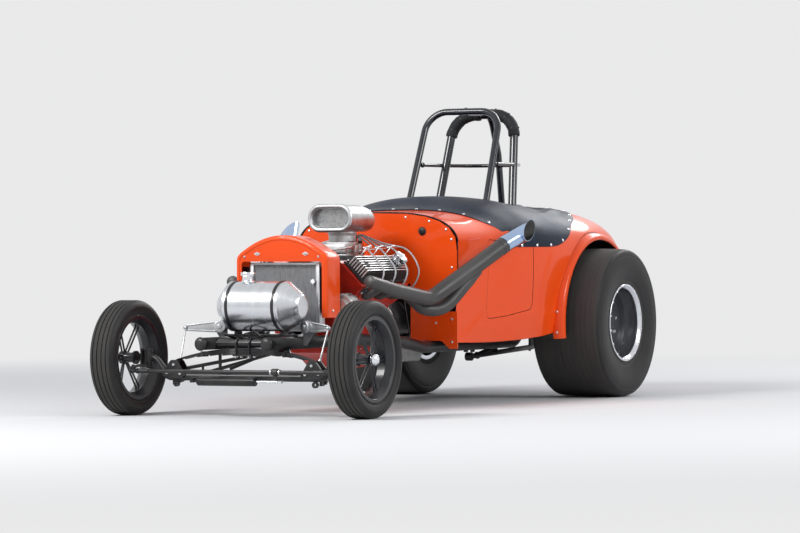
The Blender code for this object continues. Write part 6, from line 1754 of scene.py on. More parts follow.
sliding.make("steering_damper_piston", [chrome], "damper_piston", "polished_metal",
             ("steering_damper_rod",))

# %% [markdown]
# ## Fuel tank
# The tank is spun from aluminium sheet: a barrel with cone ends, a rolled seam where they join, and a
# filler neck with a knurled cap. Two thin black bands hold it on a bar across the rails.

# %% Fuel tank
tank = at(0, 0.155, 0.526)
half = eased([(0.0, 0.121), (0.143, 0.121), (0.146, 0.1222), (0.152, 0.1222), (0.155, 0.120),
              (0.163, 0.112),
              (0.221, 0.066), (0.229, 0.058), (0.2335, 0.050), (0.235, 0.040), (0.235, 0.0)], 0.004)
far_half = [(a - 0.016 * soft_step(a, 0.163, 0.221), r) for a, r in half]
outline = [(-a, r) for a, r in reversed(far_half)] + half[1:]
barrel = Shape()
barrel.turned(outline, tank, (1, 0, 0), 96)
top = tank.z + 0.121
barrel.finish = 1
barrel.turned(eased([(-0.012, 0.036), (0.001, 0.033), (0.004, 0.028), (0.026, 0.028), (0.026, 0.0)], 0.002),
              at(-0.07, 0.155, top), (0, 0, 1), 32, ends=False)
ring = []
for k in range(48):
    ring.append(0.036 if k % 4 else 0.0345)
rows = []
for z, share in ((0.0245, 0.94), (0.027, 1.0), (0.040, 1.0), (0.0435, 0.95)):
    rows.append([at(-0.07, 0.155, top + z)
                 + Vector((math.cos(2 * math.pi * k / 48), math.sin(2 * math.pi * k / 48), 0))
                 * ring[k] * share for k in range(48)])
rows.append([at(-0.07, 0.155, top + 0.0440)])
barrel.skin(rows, ends=(True, False))
barrel.turned(eased([(0.0, 0.0), (0.0, 0.018), (0.012, 0.016), (0.012, 0.0)], 0.002),
              at(0.03, 0.155, tank.z - 0.1205),
              (0, 0, -1), 20)
barrel.make("fuel_tank_spun", [brushed_round, chrome], "chassis", "bare_aluminium", ("fuel_tank",),
            sharp=28.0)

bands = Shape()
for _, _, side in SIDES:
    centre = at(side * 0.127, 0.155, 0.526)
    bands.turned([(-0.007, 0.1218), (-0.007, 0.1240), (0.007, 0.1240), (0.007, 0.1218)], centre, (1, 0, 0),
                 96, closed=True)
    bands.block(at(side * 0.127 - 0.008, 0.128, 0.383), at(side * 0.127 + 0.008, 0.182, 0.4035), 0.002)
    for back in (0.136, 0.174):
        bands.rod(at(side * 0.127, back, 0.383), at(side * 0.127, back, 0.412), 0.0035, 12)
bands.block(at(-0.193, 0.130, 0.3803), at(0.193, 0.180, 0.3923), 0.002)
bands.make("tank_bands", [frame_black], "chassis", "black_paint", ("tank_cradle",))
hose = Shape()
line = smooth([at(0.03, 0.155, 0.395), at(0.03, 0.150, 0.380), at(0.012, 0.120, 0.362),
               at(-0.03, 0.080, 0.372),
               at(-0.075, 0.110, 0.378), at(-0.105, 0.190, 0.390), at(-0.13, 0.330, 0.395),
               at(-0.145, 0.45, 0.400)], 6)
hose.tube(line, 0.0075, 14)
line = smooth([at(0.06, 0.050, 0.384), at(0.02, 0.062, 0.404), at(-0.03, 0.090, 0.398),
               at(-0.05, 0.150, 0.398)], 6)
hose.tube(line, 0.0060, 12)
hose.finish = 1
for point, axis in ((at(0.03, 0.155, 0.396), (0, 0, 1)), (at(-0.145, 0.445, 0.400), (0, 1, 0))):
    hose.turned(eased([(-0.012, 0), (-0.012, 0.010), (0.012, 0.010), (0.012, 0)], 0.001), point, axis, 6)
hose.make("fuel_hoses", [hose_rubber, zinc], "chassis", "coated_black")

# %% [markdown]
# ## Radiator shell
# The shell is pressed steel: an arched front with a raised bead that follows the arch and runs down
# both sides, sides that turn back, and a square window. It is drawn as rings round the outline, from
# the window's edge over the bead and the rounded front edge to the rear.

# %% Radiator shell
shell_front = front_axle_y + 0.353
shell_half, shell_low, shell_side, shell_top = 0.255, 0.467, 0.745, 0.868
shoulder_x, shoulder_z = 0.215, 0.795


def shell_outline(inset):
    """Points from the left foot over the arch to the right foot, moved in by an inset."""
    half = shell_half - inset
    sx, sz, top = shoulder_x - inset * 0.6, shoulder_z - inset * 0.8, shell_top - inset
    left = [(half, shell_low + (shell_side - shell_low) * i / 8) for i in range(9)]
    for i in range(1, 9):
        t = i / 8
        left.append((half - (half - sx) * t**1.7, shell_side + (sz - shell_side) * t**0.8))
    for i in range(1, 21):
        x = sx * (1 - i / 20)
        left.append((x, top - (top - sz) * (x / sx) ** 2))
    return left + [(-x, z) for x, z in reversed(left[:-1])]


window_half, window_top = 0.224, 0.740
window = [(window_half, shell_low + (window_top - 0.018 - shell_low) * i / 10) for i in range(11)]
window += arc((window_half - 0.018, window_top - 0.018), 0.018, 9, 90, 8)
count = (len(shell_outline(0)) - 1) // 2 + 1
while len(window) < count - 1:
    window.append((window[18][0] * (1 - (len(window) - 18) / (count - 19)), window_top))
window = window[:count - 1] + [(0.0, window_top)]
window += [(-x, z) for x, z in reversed(window[:-1])]
outer = shell_outline(0.0)


def shell_ring(depth, inset=None, toward_window=None):
    points = shell_outline(inset) if inset is not None else [
        (wx + (x - wx) * toward_window, wz + (z - wz) * toward_window)
        for (x, z), (wx, wz) in zip(shell_outline(0.024), window)]
    return [Vector((x, shell_front + depth, z)) for x, z in points]


rows = [shell_ring(0.010, toward_window=0.0), shell_ring(0.0055, toward_window=0.0),
        shell_ring(0.0045, toward_window=0.06), shell_ring(0.0045, toward_window=0.5),
        shell_ring(0.0045, toward_window=0.95), shell_ring(0.0035, inset=0.0235),
        shell_ring(0.0008, inset=0.0205),
        shell_ring(0.0, inset=0.0175), shell_ring(0.0006, inset=0.0145), shell_ring(0.0030, inset=0.0118),
        shell_ring(0.0042, inset=0.0095), shell_ring(0.0050, inset=0.0065),
        shell_ring(0.0075, inset=0.0030),
        shell_ring(0.0115, inset=0.0006), shell_ring(0.017, inset=0.0), shell_ring(0.050, inset=0.0),
        shell_ring(0.130, inset=0.0), shell_ring(0.134, inset=0.0012), shell_ring(0.136, inset=0.0040),
        shell_ring(0.137, inset=0.0075)]
shell = Shape()
shell.skin(rows, around=False, ends=(False, False))
bmesh.ops.recalc_face_normals(shell.bm, faces=shell.bm.faces)
face = max(shell.bm.faces, key=lambda f: f.calc_center_median().z)
if face.normal.z < 0:
    bmesh.ops.reverse_faces(shell.bm, faces=shell.bm.faces)
thicken("radiator_surround", shell.bm, 0.0032, [orange_paint], "chassis",
        ("radiator_shell",), sharp=50.0)
washers = Shape()
for x in (-0.135, 0.135):
    front = shell_front + 0.0043
    points = [(x + dx, 0.778 + dz) for dx, dz in ((-0.019, 0), (0, -0.010), (0.019, 0), (0, 0.010))]
    washers.slab(points, "Y", front, front - 0.0025, 0.0008)
washers.make("shell_washers", [zinc], "chassis", "polished_metal")
spots = [(Vector((x, shell_front + 0.0018, 0.778)), Vector((0, -1, 0))) for x in (-0.135, 0.135)]
spots += [(Vector((s * 0.206, shell_front + 0.0042, 0.764)), Vector((0, -1, 0))) for s in (-1, 1)]
spots += [(Vector((s * 0.2551, shell_front + 0.060, 0.500)), Vector((s, 0, 0))) for s in (-1, 1)]
fasteners("shell_screws", spots, 0.0065, 0.0045, 0.55, 12, zinc, "chassis")

# %% [markdown]
# ## Radiator core
# A core is rows of thin upright fins between flat tubes. One fin is a thin strip, and a node tree sets
# it along a line with its spacing as an input, which is how the real ones are stacked.

# %% Tree that stacks fins along X
board, given, made = new_group(
    "fins_in_a_row",
    "GeometryNodeTree",
    (
        ("Geometry", "NodeSocketGeometry", None),
        ("Count", "NodeSocketInt", 60),
        ("Length", "NodeSocketFloat", 0.34),
        ("Fin Size", "NodeSocketVector", (0.001, 0.03, 0.3)),
        ("Finish", "NodeSocketMaterial", None),
    ),
    (("Geometry", "NodeSocketGeometry"),),
)
half_length = board.math("MULTIPLY", given["Length"], 0.5)
start = board.add("ShaderNodeCombineXYZ", {"X": board.math("MULTIPLY", half_length, -1.0)}).outputs[0]
stop = board.add("ShaderNodeCombineXYZ", {"X": half_length}).outputs[0]
line = board.add("GeometryNodeMeshLine", {"Count": given["Count"], "Start Location": start, "Offset": stop},
                 mode="END_POINTS").outputs["Mesh"]
fin = board.add("GeometryNodeMeshCube", {"Size": given["Fin Size"]}).outputs["Mesh"]
fins = board.add("GeometryNodeInstanceOnPoints", {"Points": line, "Instance": fin}).outputs["Instances"]
real = board.add("GeometryNodeRealizeInstances", {"Geometry": fins}).outputs["Geometry"]
done = board.add("GeometryNodeSetMaterial",
                 {"Geometry": real, "Material": given["Finish"]}).outputs["Geometry"]
board.tree.links.new(done, made["Geometry"])
fins_in_a_row = board.tree

# %% Radiator core
core_back = front_axle_y + 0.388
fin_metal = finish("fin_metal", (0.42, 0.43, 0.44), 0.45, metallic=0.3, grain=60.0, drift=0.14, dust=0.1)
mesh = grown(fins_in_a_row, [(0, 0, 0)], Count=84, Length=0.344, Fin_Size=(0.0019, 0.034, 0.300),
             Finish=fin_metal)
mesh.transform(Matrix.Translation((0, core_back + 0.0275, 0.577)))
settle("core_fins", mesh, [fin_metal], "chassis")
core = Shape()
core.finish = 1
for k in range(13):
    x = -0.172 + 0.344 * k / 12
    core.block((x - 0.0012, core_back + 0.0115, 0.428), (x + 0.0012, core_back + 0.0435, 0.728), 0.0004)
core.block((-0.174, core_back + 0.026, 0.428), (0.174, core_back + 0.030, 0.728), 0.0)
core.finish = 0
for side in (-1, 1):
    x = sorted((side * 0.173, side * 0.195))
    core.block((x[0], core_back, 0.412), (x[1], core_back + 0.055, 0.735), 0.004)
core.block((-0.176, core_back + 0.003, 0.724), (0.176, core_back + 0.050, 0.7345), 0.002)
core.block((-0.185, core_back + 0.003, 0.400), (0.185, core_back + 0.052, 0.430), 0.003)
core.finish = 1
for side in (-1, 1):
    x = sorted((side * 0.194, side * 0.2465))
    core.block((x[0], core_back + 0.020, 0.487), (x[1], core_back + 0.024, 0.715), 0.001)
    core.block((side * 0.14 - 0.015, core_back + 0.012, 0.3703),
               (side * 0.14 + 0.015, core_back + 0.043, 0.405), 0.002)
core.make("radiator_core", [satin_metal, dark_wheel], "chassis", "bare_aluminium", ("radiator",))
knob = Shape()
knob.turned(eased([(0, 0), (0, 0.009), (0.010, 0.009), (0.012, 0.013), (0.022, 0.013), (0.022, 0)], 0.002),
            Vector((0.160, core_back + 0.012, 0.640)), (0, -1, 0), 16)
knob.make("core_drain_knob", [zinc], "chassis", "polished_metal")

# %% [markdown]
# ## Engine block and heads
# The engine is a V8 painted red: a cast block with skirts, two heads lying back at the sides, and a
# pressed sump under it. Each is an outline seen from the front, pushed along the crank's line, with
# its edges eased as a casting's are.

# %% Block, heads and sump
engine_front, engine_length = 0.60, 0.50
engine_rear = engine_front + engine_length
y0, y1 = front_axle_y + engine_front, front_axle_y + engine_rear
bank_low, bank_high = (0.315, 0.620), (0.190, 0.745)
block = Shape()
half = [(0.112, 0.305), (0.140, 0.320), (0.152, 0.450), (0.195, 0.505), (0.200, 0.560), (0.120, 0.640),
        (0.088, 0.645)]
block.slab(half + [(-x, z) for x, z in reversed(half)], "Y", y0, y1, 0.008)
for _, _, side in SIDES:
    head = [(0.205, 0.515), (0.250, 0.545), (0.312, 0.6165), (0.187, 0.7415), (0.098, 0.655)]
    block.slab([(side * x, z) for x, z in head], "Y", y0 + 0.004, y1 - 0.004, 0.007)
    for k in range(4):
        back = engine_front + engine_length / 4 * (k + 0.5)
        port = at(side * 0.268, back, 0.572)
        block.turned(eased([(0, 0), (0, 0.030), (0.016, 0.027), (0.016, 0)], 0.004), port, (side, 0, -1),
                     20)
        block.block(at(side * 0.150 - 0.020, back - 0.034, 0.330),
                    at(side * 0.150 + 0.006, back + 0.034, 0.442), 0.008)
    block.turned(eased([(0, 0), (0, 0.022), (0.006, 0.022), (0.006, 0)], 0.002),
                 at(side * 0.152, 0.82, 0.400),
                 (side, 0, 0), 20)
    x = sorted((side * 0.128, side * 0.212))
    block.block(at(x[0], 0.66, 0.3803), at(x[1], 0.74, 0.420), 0.004)
rows = []
for half_x, start, stop, z, ease in ((0.112, 0.03, 0.48, 0.310, 0.02), (0.112, 0.03, 0.48, 0.288, 0.02),
                                     (0.104, 0.10, 0.475, 0.262, 0.03), (0.092, 0.155, 0.472, 0.216, 0.03),
                                     (0.084, 0.165, 0.465, 0.206, 0.03)):
    ring = []
    for sx, sy, start_angle in ((1, 1, 0), (-1, 1, 90), (-1, -1, 180), (1, -1, 270)):
        cx, cy = sx * (half_x - ease), (start + stop) / 2 + sy * ((stop - start) / 2 - ease)
        ring += [at(px, engine_front + py, z) for px,
                 py in arc((cx, cy), ease, start_angle, start_angle + 90, 5)]
    rows.append(ring)
block.skin(rows)
block.make("engine_castings", [engine_red], "chassis", "engine_red", ("engine_block",))
pan_bolts = []
for k in range(9):
    back = engine_front + 0.045 + 0.41 * k / 8
    for side in (-1, 1):
        pan_bolts.append((at(side * 0.1125, back, 0.2995), Vector((side, 0, 0))))
fasteners("sump_bolts", pan_bolts, 0.0055, 0.005, 0.75, 6, zinc, "chassis")

# %% [markdown]
# ## Finned valve covers
# The covers are cast, painted a wrinkle black, and their long fins are ground bright along the top.
# The fins come from the same tree as the radiator's, laid along the cover, and a second, thinner run
# of the tree makes the bright tops.

# %% Valve covers
cover_length = 0.455
bright_tops = finish("fin_tops_ground", (0.74, 0.73, 0.72), 0.34, metallic=0.8, grain=50.0, drift=0.12,
                     bump=0.1,
                     dust=0.15)
for tag, _, side in SIDES:
    low = Vector((side * bank_low[0], 0, bank_low[1]))
    high = Vector((side * bank_high[0], 0, bank_high[1]))
    along = (high - low).normalized()
    out = Vector((side * abs(along.z), 0, abs(along.x)))
    middle = (low + high) / 2
    c0 = y0 + (engine_length - cover_length) / 2
    cover = Shape()
    for across, deep, ease, tall in ((0.075, 0.0, 0.003, 0.009), (0.067, 0.008, 0.010, 0.045)):
        outline = [(middle + along * -across + out * deep), (middle + along * across + out * deep),
                   (middle + along * (across - tall * 0.28) + out * (deep + tall)),
                   (middle + along * (-across + tall * 0.28) + out * (deep + tall))]
        inset = 0.0 if deep == 0 else 0.008
        cover.slab([(p.x, p.z) for p in outline], "Y", c0 + inset, c0 + cover_length - inset, ease)
    matrix = Matrix((along, Vector((0, 1, 0)), out)).transposed().to_4x4()
    for finish_number, size, height, ahead_by, material in (
            (1, (0.0050, cover_length - 0.052, 0.0130), 0.0570, 0.0, cover_black),
            (2, (0.0056, cover_length - 0.048, 0.0020), 0.0640, 0.0, bright_tops),
            (2, (0.0060, 0.0180, 0.0500), 0.0400, (cover_length - 0.030) / 2, bright_tops)):
        mesh = grown(fins_in_a_row, [(0, 0, 0)], Count=7, Length=0.096, Fin_Size=size, Finish=material)
        spot = middle + out * height
        mesh.transform(Matrix.Translation(Vector((spot.x, c0 + cover_length / 2 - ahead_by,
                                                  spot.z))) @ matrix)
        for polygon in mesh.polygons:
            polygon.material_index = finish_number - 1
        cover.bm.from_mesh(mesh)
    cover.turned(eased([(0, 0), (0, 0.020), (0.014, 0.020), (0.018, 0.016), (0.018, 0)], 0.003),
                 Vector((0, c0 + 0.055, 0)) + middle + out * 0.050 + along * -0.010, out, 24)
    cover.make("valve_cover_fins_" + tag, [cover_black, bright_tops], "chassis", "coated_black",
               ("valve_cover_" + tag,))
    bolts = []
    for k in range(4):
        for edge in (-1, 1):
            place = middle + along * (edge * 0.071) + out * 0.009
            bolts.append((Vector((place.x, c0 + 0.03 + (cover_length - 0.06) * k / 3, place.z)), out))
    fasteners("cover_bolts_" + tag, bolts, 0.0055, 0.006, 0.8, 6, zinc, "chassis")
    cap = Shape()
    cap_spot = middle + out * 0.052
    cap_spot.y = y1 - 0.105
    cap.turned(eased([(0, 0), (0, 0.020), (0.014, 0.020), (0.014, 0.030), (0.021, 0.036), (0.024, 0.0375),
                      (0.058, 0.0375), (0.064, 0.030), (0.066, 0.008), (0.070, 0.007), (0.070, 0)], 0.0015),
               cap_spot, out, 40)
    cap.turned(eased([(0.030, 0.0370), (0.030, 0.0388), (0.034, 0.0388), (0.034, 0.0370)], 0.0008),
               cap_spot, out, 40,
               closed=True)
    cap.make("breather_cap_" + tag, [chrome], "chassis", "polished_metal")

# %% [markdown]
# ## Intake, carburettor and scoop
# Air comes in through the polished scoop, passes the carburettor and spreads through four runners to
# each head. The scoop is a stack of ovals with a rolled lip; an oval with straight flanks keeps the
# mouth's flat top and bottom.

# %% Manifold and carburettor
intake = Shape()
floor = 0.6453
runner_profile = [(-0.085, floor), (0.085, floor), (0.158, floor + 0.070), (0.085, floor + 0.085),
                  (-0.085, floor + 0.085),
                  (-0.158, floor + 0.070)]
intake.slab(runner_profile, "Y", y0 + 0.072, y1 - 0.042, 0.010)
intake.block((-0.085, y0 + 0.20, floor + 0.07), (0.085, y1 - 0.045, floor + 0.118), 0.010)
for _, _, side in SIDES:
    for k in range(4):
        back = y0 + 0.100 + 0.100 * k
        line = smooth([Vector((side * 0.050, back * 0.5 + (y0 + 0.32) * 0.5, floor + 0.098)),
                       Vector((side * 0.100, back * 0.8 + (y0 + 0.32) * 0.2, floor + 0.096)),
                       Vector((side * 0.158, back, floor + 0.066))], 6)
        intake.tube(line, 0.021, 14)
intake.finish = 1
carb_y = front_axle_y + 0.98
intake.block((-0.072, carb_y - 0.090, floor + 0.117), (0.072, carb_y + 0.095, floor + 0.126), 0.003)
intake.block((-0.060, carb_y - 0.062, floor + 0.125), (0.060, carb_y + 0.062, floor + 0.190), 0.006)
for face in (-1, 1):
    ys = sorted((carb_y + face * 0.060, carb_y + face * 0.094))
    intake.block((-0.066, ys[0], floor + 0.130), (0.066, ys[1], floor + 0.178), 0.007)
    for x in (-0.045, 0.045):
        intake.turned([(0, 0), (0, 0.008), (0.006, 0.007), (0.006, 0)],
                      Vector((x, carb_y + face * 0.0935, floor + 0.155)),
                      (0, face, 0), 6)
intake.rod(Vector((-0.086, carb_y + 0.01, floor + 0.140)), Vector((0.086, carb_y + 0.01, floor + 0.140)),
           0.005, 12)
intake.block((0.079, carb_y - 0.016, floor + 0.125), (0.083, carb_y + 0.020, floor + 0.172), 0.0015)
intake.turned(eased([(0, 0), (0, 0.068), (0.030, 0.068), (0.044, 0.074), (0.0493, 0.074), (0.0493, 0)],
                    0.003),
              Vector((0, carb_y, floor + 0.1895)), (0, 0, 1), 48)
intake.make("intake_and_carburettor", [cover_black, cast_metal], "chassis", "coated_black", ("intake",))


def oval(half_x, half_z, back, lift=0.0, count=72):
    straight = max(half_x - half_z, 0.0)
    points = []
    for k in range(count):
        a = 2 * math.pi * k / count
        shift = straight * max(-1.0, min(1.0, math.cos(a) * 6))
        points.append(at(shift + half_z * math.cos(a), 0.845 + back, 0.952 + lift + half_z * math.sin(a)))
    return points


# %% Air scoop
rings = [(0.1010, 0.0465, 0.030), (0.1010, 0.0465, 0.014), (0.1030, 0.0485, 0.006),
         (0.1080, 0.0535, 0.0015),
         (0.1150, 0.0605, 0.0000), (0.1210, 0.0665, 0.0020), (0.1248, 0.0703, 0.0070),
         (0.1256, 0.0711, 0.0120),
         (0.1248, 0.0703, 0.0170), (0.1226, 0.0681, 0.0215), (0.1220, 0.0675, 0.0250),
         (0.1220, 0.0675, 0.060), (0.1215, 0.0672, 0.120), (0.1196, 0.0660, 0.192), (0.1160, 0.0630, 0.235),
         (0.1090, 0.0590, 0.275), (0.0980, 0.0520, 0.300), (0.0760, 0.0400, 0.3180),
         (0.0400, 0.0200, 0.3200)]
scoop = Shape()
scoop.finish = 1
scoop.skin([oval(0.1025, 0.048, 0.056), oval(0.1025, 0.048, 0.050), oval(0.1010, 0.0465, 0.030)],
           ends=(True, False))
scoop.finish = 0
rows = [oval(x, z, back, -0.012 * soft_step(back, 0.19, 0.32)) for x, z, back in rings]
scoop.skin(rows, ends=(False, True))
scoop.make("scoop_polished", [satin_metal, filter_grey], "chassis", "bare_aluminium", ("air_scoop",),
           sharp=60.0)
gauze = Shape()
for k in range(15):
    z = 0.908 + 0.088 * k / 14
    reach = 0.0545 + math.sqrt(max(0.0465**2 - (z - 0.952) ** 2, 0.0))
    gauze.rod(at(-reach, 0.882, z), at(reach, 0.882, z), 0.0010, 6)
for k in range(31):
    x = -0.098 + 0.196 * k / 30
    over = max(abs(x) - 0.0545, 0.0)
    tall = math.sqrt(max(0.0465**2 - over**2, 0.0))
    gauze.rod(at(x, 0.8835, 0.952 - tall), at(x, 0.8835, 0.952 + tall), 0.0010, 6)
gauze.make("scoop_gauze", [zinc], "chassis", "bare_aluminium")

# %% [markdown]
# ## Ignition leads
# A distributor stands behind the carburettor, and a lead runs from each of its towers over the valve
# cover and down to a plug beside its exhaust port. The leads are a fixed part of the engine, held at
# both ends, so each is one smooth route of a few points.

# %% Distributor and leads
spark = Shape()
post = at(0.0, 1.115, 0.700)
spark.turned(eased([(0, 0), (0, 0.022), (0.060, 0.022), (0.070, 0.046), (0.095, 0.048), (0.120, 0.040),
                    (0.128, 0.020),
                    (0.128, 0)], 0.004), post, (0, 0, 1), 32)
towers = []
for k in range(8):
    a = 2 * math.pi * (k + 0.5) / 8
    tower = post + Vector((0.030 * math.cos(a), 0.030 * math.sin(a), 0.118))
    spark.turned(eased([(0, 0), (0, 0.0075), (0.022, 0.0065), (0.022, 0)], 0.001), tower, (0, 0, 1), 12)
    towers.append(tower + Vector((0, 0, 0.018)))
spark.finish = 1
for _, _, side in SIDES:
    mine = sorted((t for t in towers if t.x * side > 0), key=lambda t: t.y)
    for k, tower in enumerate(mine):
        back = engine_front + engine_length / 4 * (k + 0.5) + 0.045
        plug = at(side * 0.296, back, 0.585)
        rest = at(side * (0.150 + 0.012 * k), 1.075 - 0.025 * (3 - k), 0.812 + 0.004 * k)
        crest = at(side * (0.262 + 0.006 * k), back + 0.060, 0.792)
        drop = at(side * 0.366, back + 0.020, 0.700)
        low = at(side * 0.352, back + 0.004, 0.622)
        line = smooth([tower, tower + Vector((side * 0.010, -0.005, 0.032)), rest, crest, drop, low, plug],
                      8)
        spark.tube(line, 0.0042, 10)
        boot = (line[-2] - plug).normalized()
        spark.finish = 0
        spark.turned(eased([(0, 0), (0, 0.0075), (0.040, 0.0068), (0.040, 0)], 0.001), plug, boot, 12)
        spark.finish = 1
spark.finish = 2
spark.turned(eased([(0.076, 0), (0.076, 0.047), (0.100, 0.0495), (0.124, 0.042), (0.1285, 0.020),
                    (0.1285, 0)], 0.004),
             post, (0, 0, 1), 32)
spark.finish = 3
for _, _, side in SIDES:
    for k in range(3):
        foot = at(side * 0.232, 0.735 + 0.125 * k, 0.772)
        head = foot + Vector((side * 0.034, 0.012, 0.036))
        spark.rod(foot - Vector((side * 0.006, 0, 0.020)), head, 0.0028, 10)
        spark.rod(head - Vector((0, 0.034, 0.004)), head + Vector((0, 0.034, 0.004)), 0.0030, 10)
        for end in (-1, 1):
            spark.ball(head + Vector((0, 0.034 * end, 0.004 * end)), 0.0062, 10)
rail = smooth([at(-0.10, 0.60, 0.742), at(0.03, 0.66, 0.786), at(0.092, 0.80, 0.800),
               at(0.093, 0.90, 0.806)], 8)
spark.tube(rail, 0.0055, 10)
spark.rod(at(0.087, 0.99, 0.790), at(0.150, 1.20, 0.800), 0.0030, 10)
spark.rod(at(0.150, 1.20, 0.800), at(0.160, 1.3498, 0.805), 0.0030, 10)
spark.make("ignition_leads", [hose_rubber, lead_grey, engine_red, zinc], "chassis", "coated_black")

# %% [markdown]
# ## Belt drive
# The crank turns the water pump by a belt, and an alternator hangs at one side. Pulleys are turned
# profiles with a V groove, and the belt is a band along the tangents between them.

# %% Pulleys, pump and alternator
drive = Shape()
face = 0.5997
groove = [(0, 0), (0, 1.0), (0.012, 1.0), (0.020, 0.84), (0.024, 0.84), (0.032, 1.0), (0.046, 1.0)]
for spot, radius, hub_radius in ((at(0, face - 0.080, 0.420), 0.085, 0.030),
                                 (at(0, face - 0.080, 0.585), 0.066, 0.040)):
    profile = [(along, share * radius) for along, share in groove]
    drive.turned(eased(profile + [(0.046, hub_radius), (0.080, hub_radius), (0.080, 0)], 0.0015), spot,
                 (0, 1, 0), 48)
    drive.turned(eased([(0, 0), (0, 0.022), (-0.010, 0.020), (-0.010, 0)], 0.002), spot, (0, 1, 0), 24)
drive.finish = 1
drive.block(at(-0.105, face - 0.029, 0.485), at(0.105, face - 0.0005, 0.618), 0.012)
drive.block(at(-0.042, face - 0.026, 0.400), at(0.042, face - 0.004, 0.600), 0.006)
for _, _, side in SIDES:
    drive.turned(eased([(0, 0), (0, 0.030), (0.050, 0.028), (0.050, 0)], 0.004),
                 at(side * 0.075, face - 0.010, 0.560),
                 (0, -1, 0), 24)
drive.tube(smooth([at(0.06, face - 0.02, 0.600), at(0.06, face - 0.035, 0.660),
                   at(0.045, face - 0.03, 0.705),
                   at(0.03, face + 0.06, 0.735)], 6), 0.022, 18)
case_at = at(0.250, face - 0.104, 0.520)
drive.turned(eased([(0, 0), (0, 0.034), (0.016, 0.034), (0.018, 0.054), (0.028, 0.060), (0.092, 0.060),
                    (0.104, 0.048),
                    (0.104, 0)], 0.003), case_at, (0, 1, 0), 40)
for k in range(14):
    a = 2 * math.pi * k / 14
    spoke = Vector((math.cos(a), 0, math.sin(a)))
    drive.block(case_at + spoke * 0.052 + Vector((-0.003, 0.034, -0.003)), case_at + spoke * 0.052
                + Vector((0.003, 0.090, 0.003)) + spoke * 0.010, 0.001)
drive.block(at(0.080, face - 0.024, 0.515), at(0.250, face - 0.008, 0.560), 0.004)
drive.make("belt_drive", [polished, cast_metal], "chassis", "bare_aluminium", ("front_drive",))
belt = Shape()
band = []
top_z, low_z, top_r, low_r = 0.585, 0.420, 0.0665, 0.0855
lean = math.asin((low_r - top_r) / (top_z - low_z))
for centre_z, radius, first, last in ((top_z, top_r, lean, math.pi - lean),
                                      (low_z, low_r, math.pi - lean, 2 * math.pi + lean)):
    for i in range(25):
        a = first + (last - first) * i / 24
        band.append((radius * math.cos(a), centre_z + radius * math.sin(a)))
rows = []
for x, z in band + band[:1]:
    centre = Vector((x, 0, z))
    middle_z = min(max(z, low_z), top_z)
    outward = (centre - Vector((0, 0, middle_z))).normalized()
    if abs(z - middle_z) < 1e-6:
        outward = Vector((math.copysign(1, x), 0, 0))
    rows.append([Vector((x, front_axle_y + face - 0.080 + y, z)) + outward * h for y, h in (
        (0.015, 0.0018), (0.029, 0.0018), (0.026, -0.006), (0.018, -0.006))])
belt.skin(rows, ends=(False, False))
belt.make("drive_belt", [hose_rubber], "chassis", "coated_black")
hose = Shape()
hose.tube(smooth([at(0.03, face + 0.06, 0.735), at(0.02, 0.60, 0.748), at(0.01, 0.52, 0.745),
                  at(0.02, 0.47, 0.735)], 6),
          0.019, 18)
hose.tube(smooth([at(-0.075, face - 0.050, 0.560), at(-0.09, 0.51, 0.545), at(-0.11, 0.49, 0.50),
                  at(-0.12, 0.47, 0.455),
                  at(-0.12, 0.445, 0.440)], 6), 0.020, 18)
hose.make("coolant_hoses", [hose_rubber], "chassis", "coated_black")
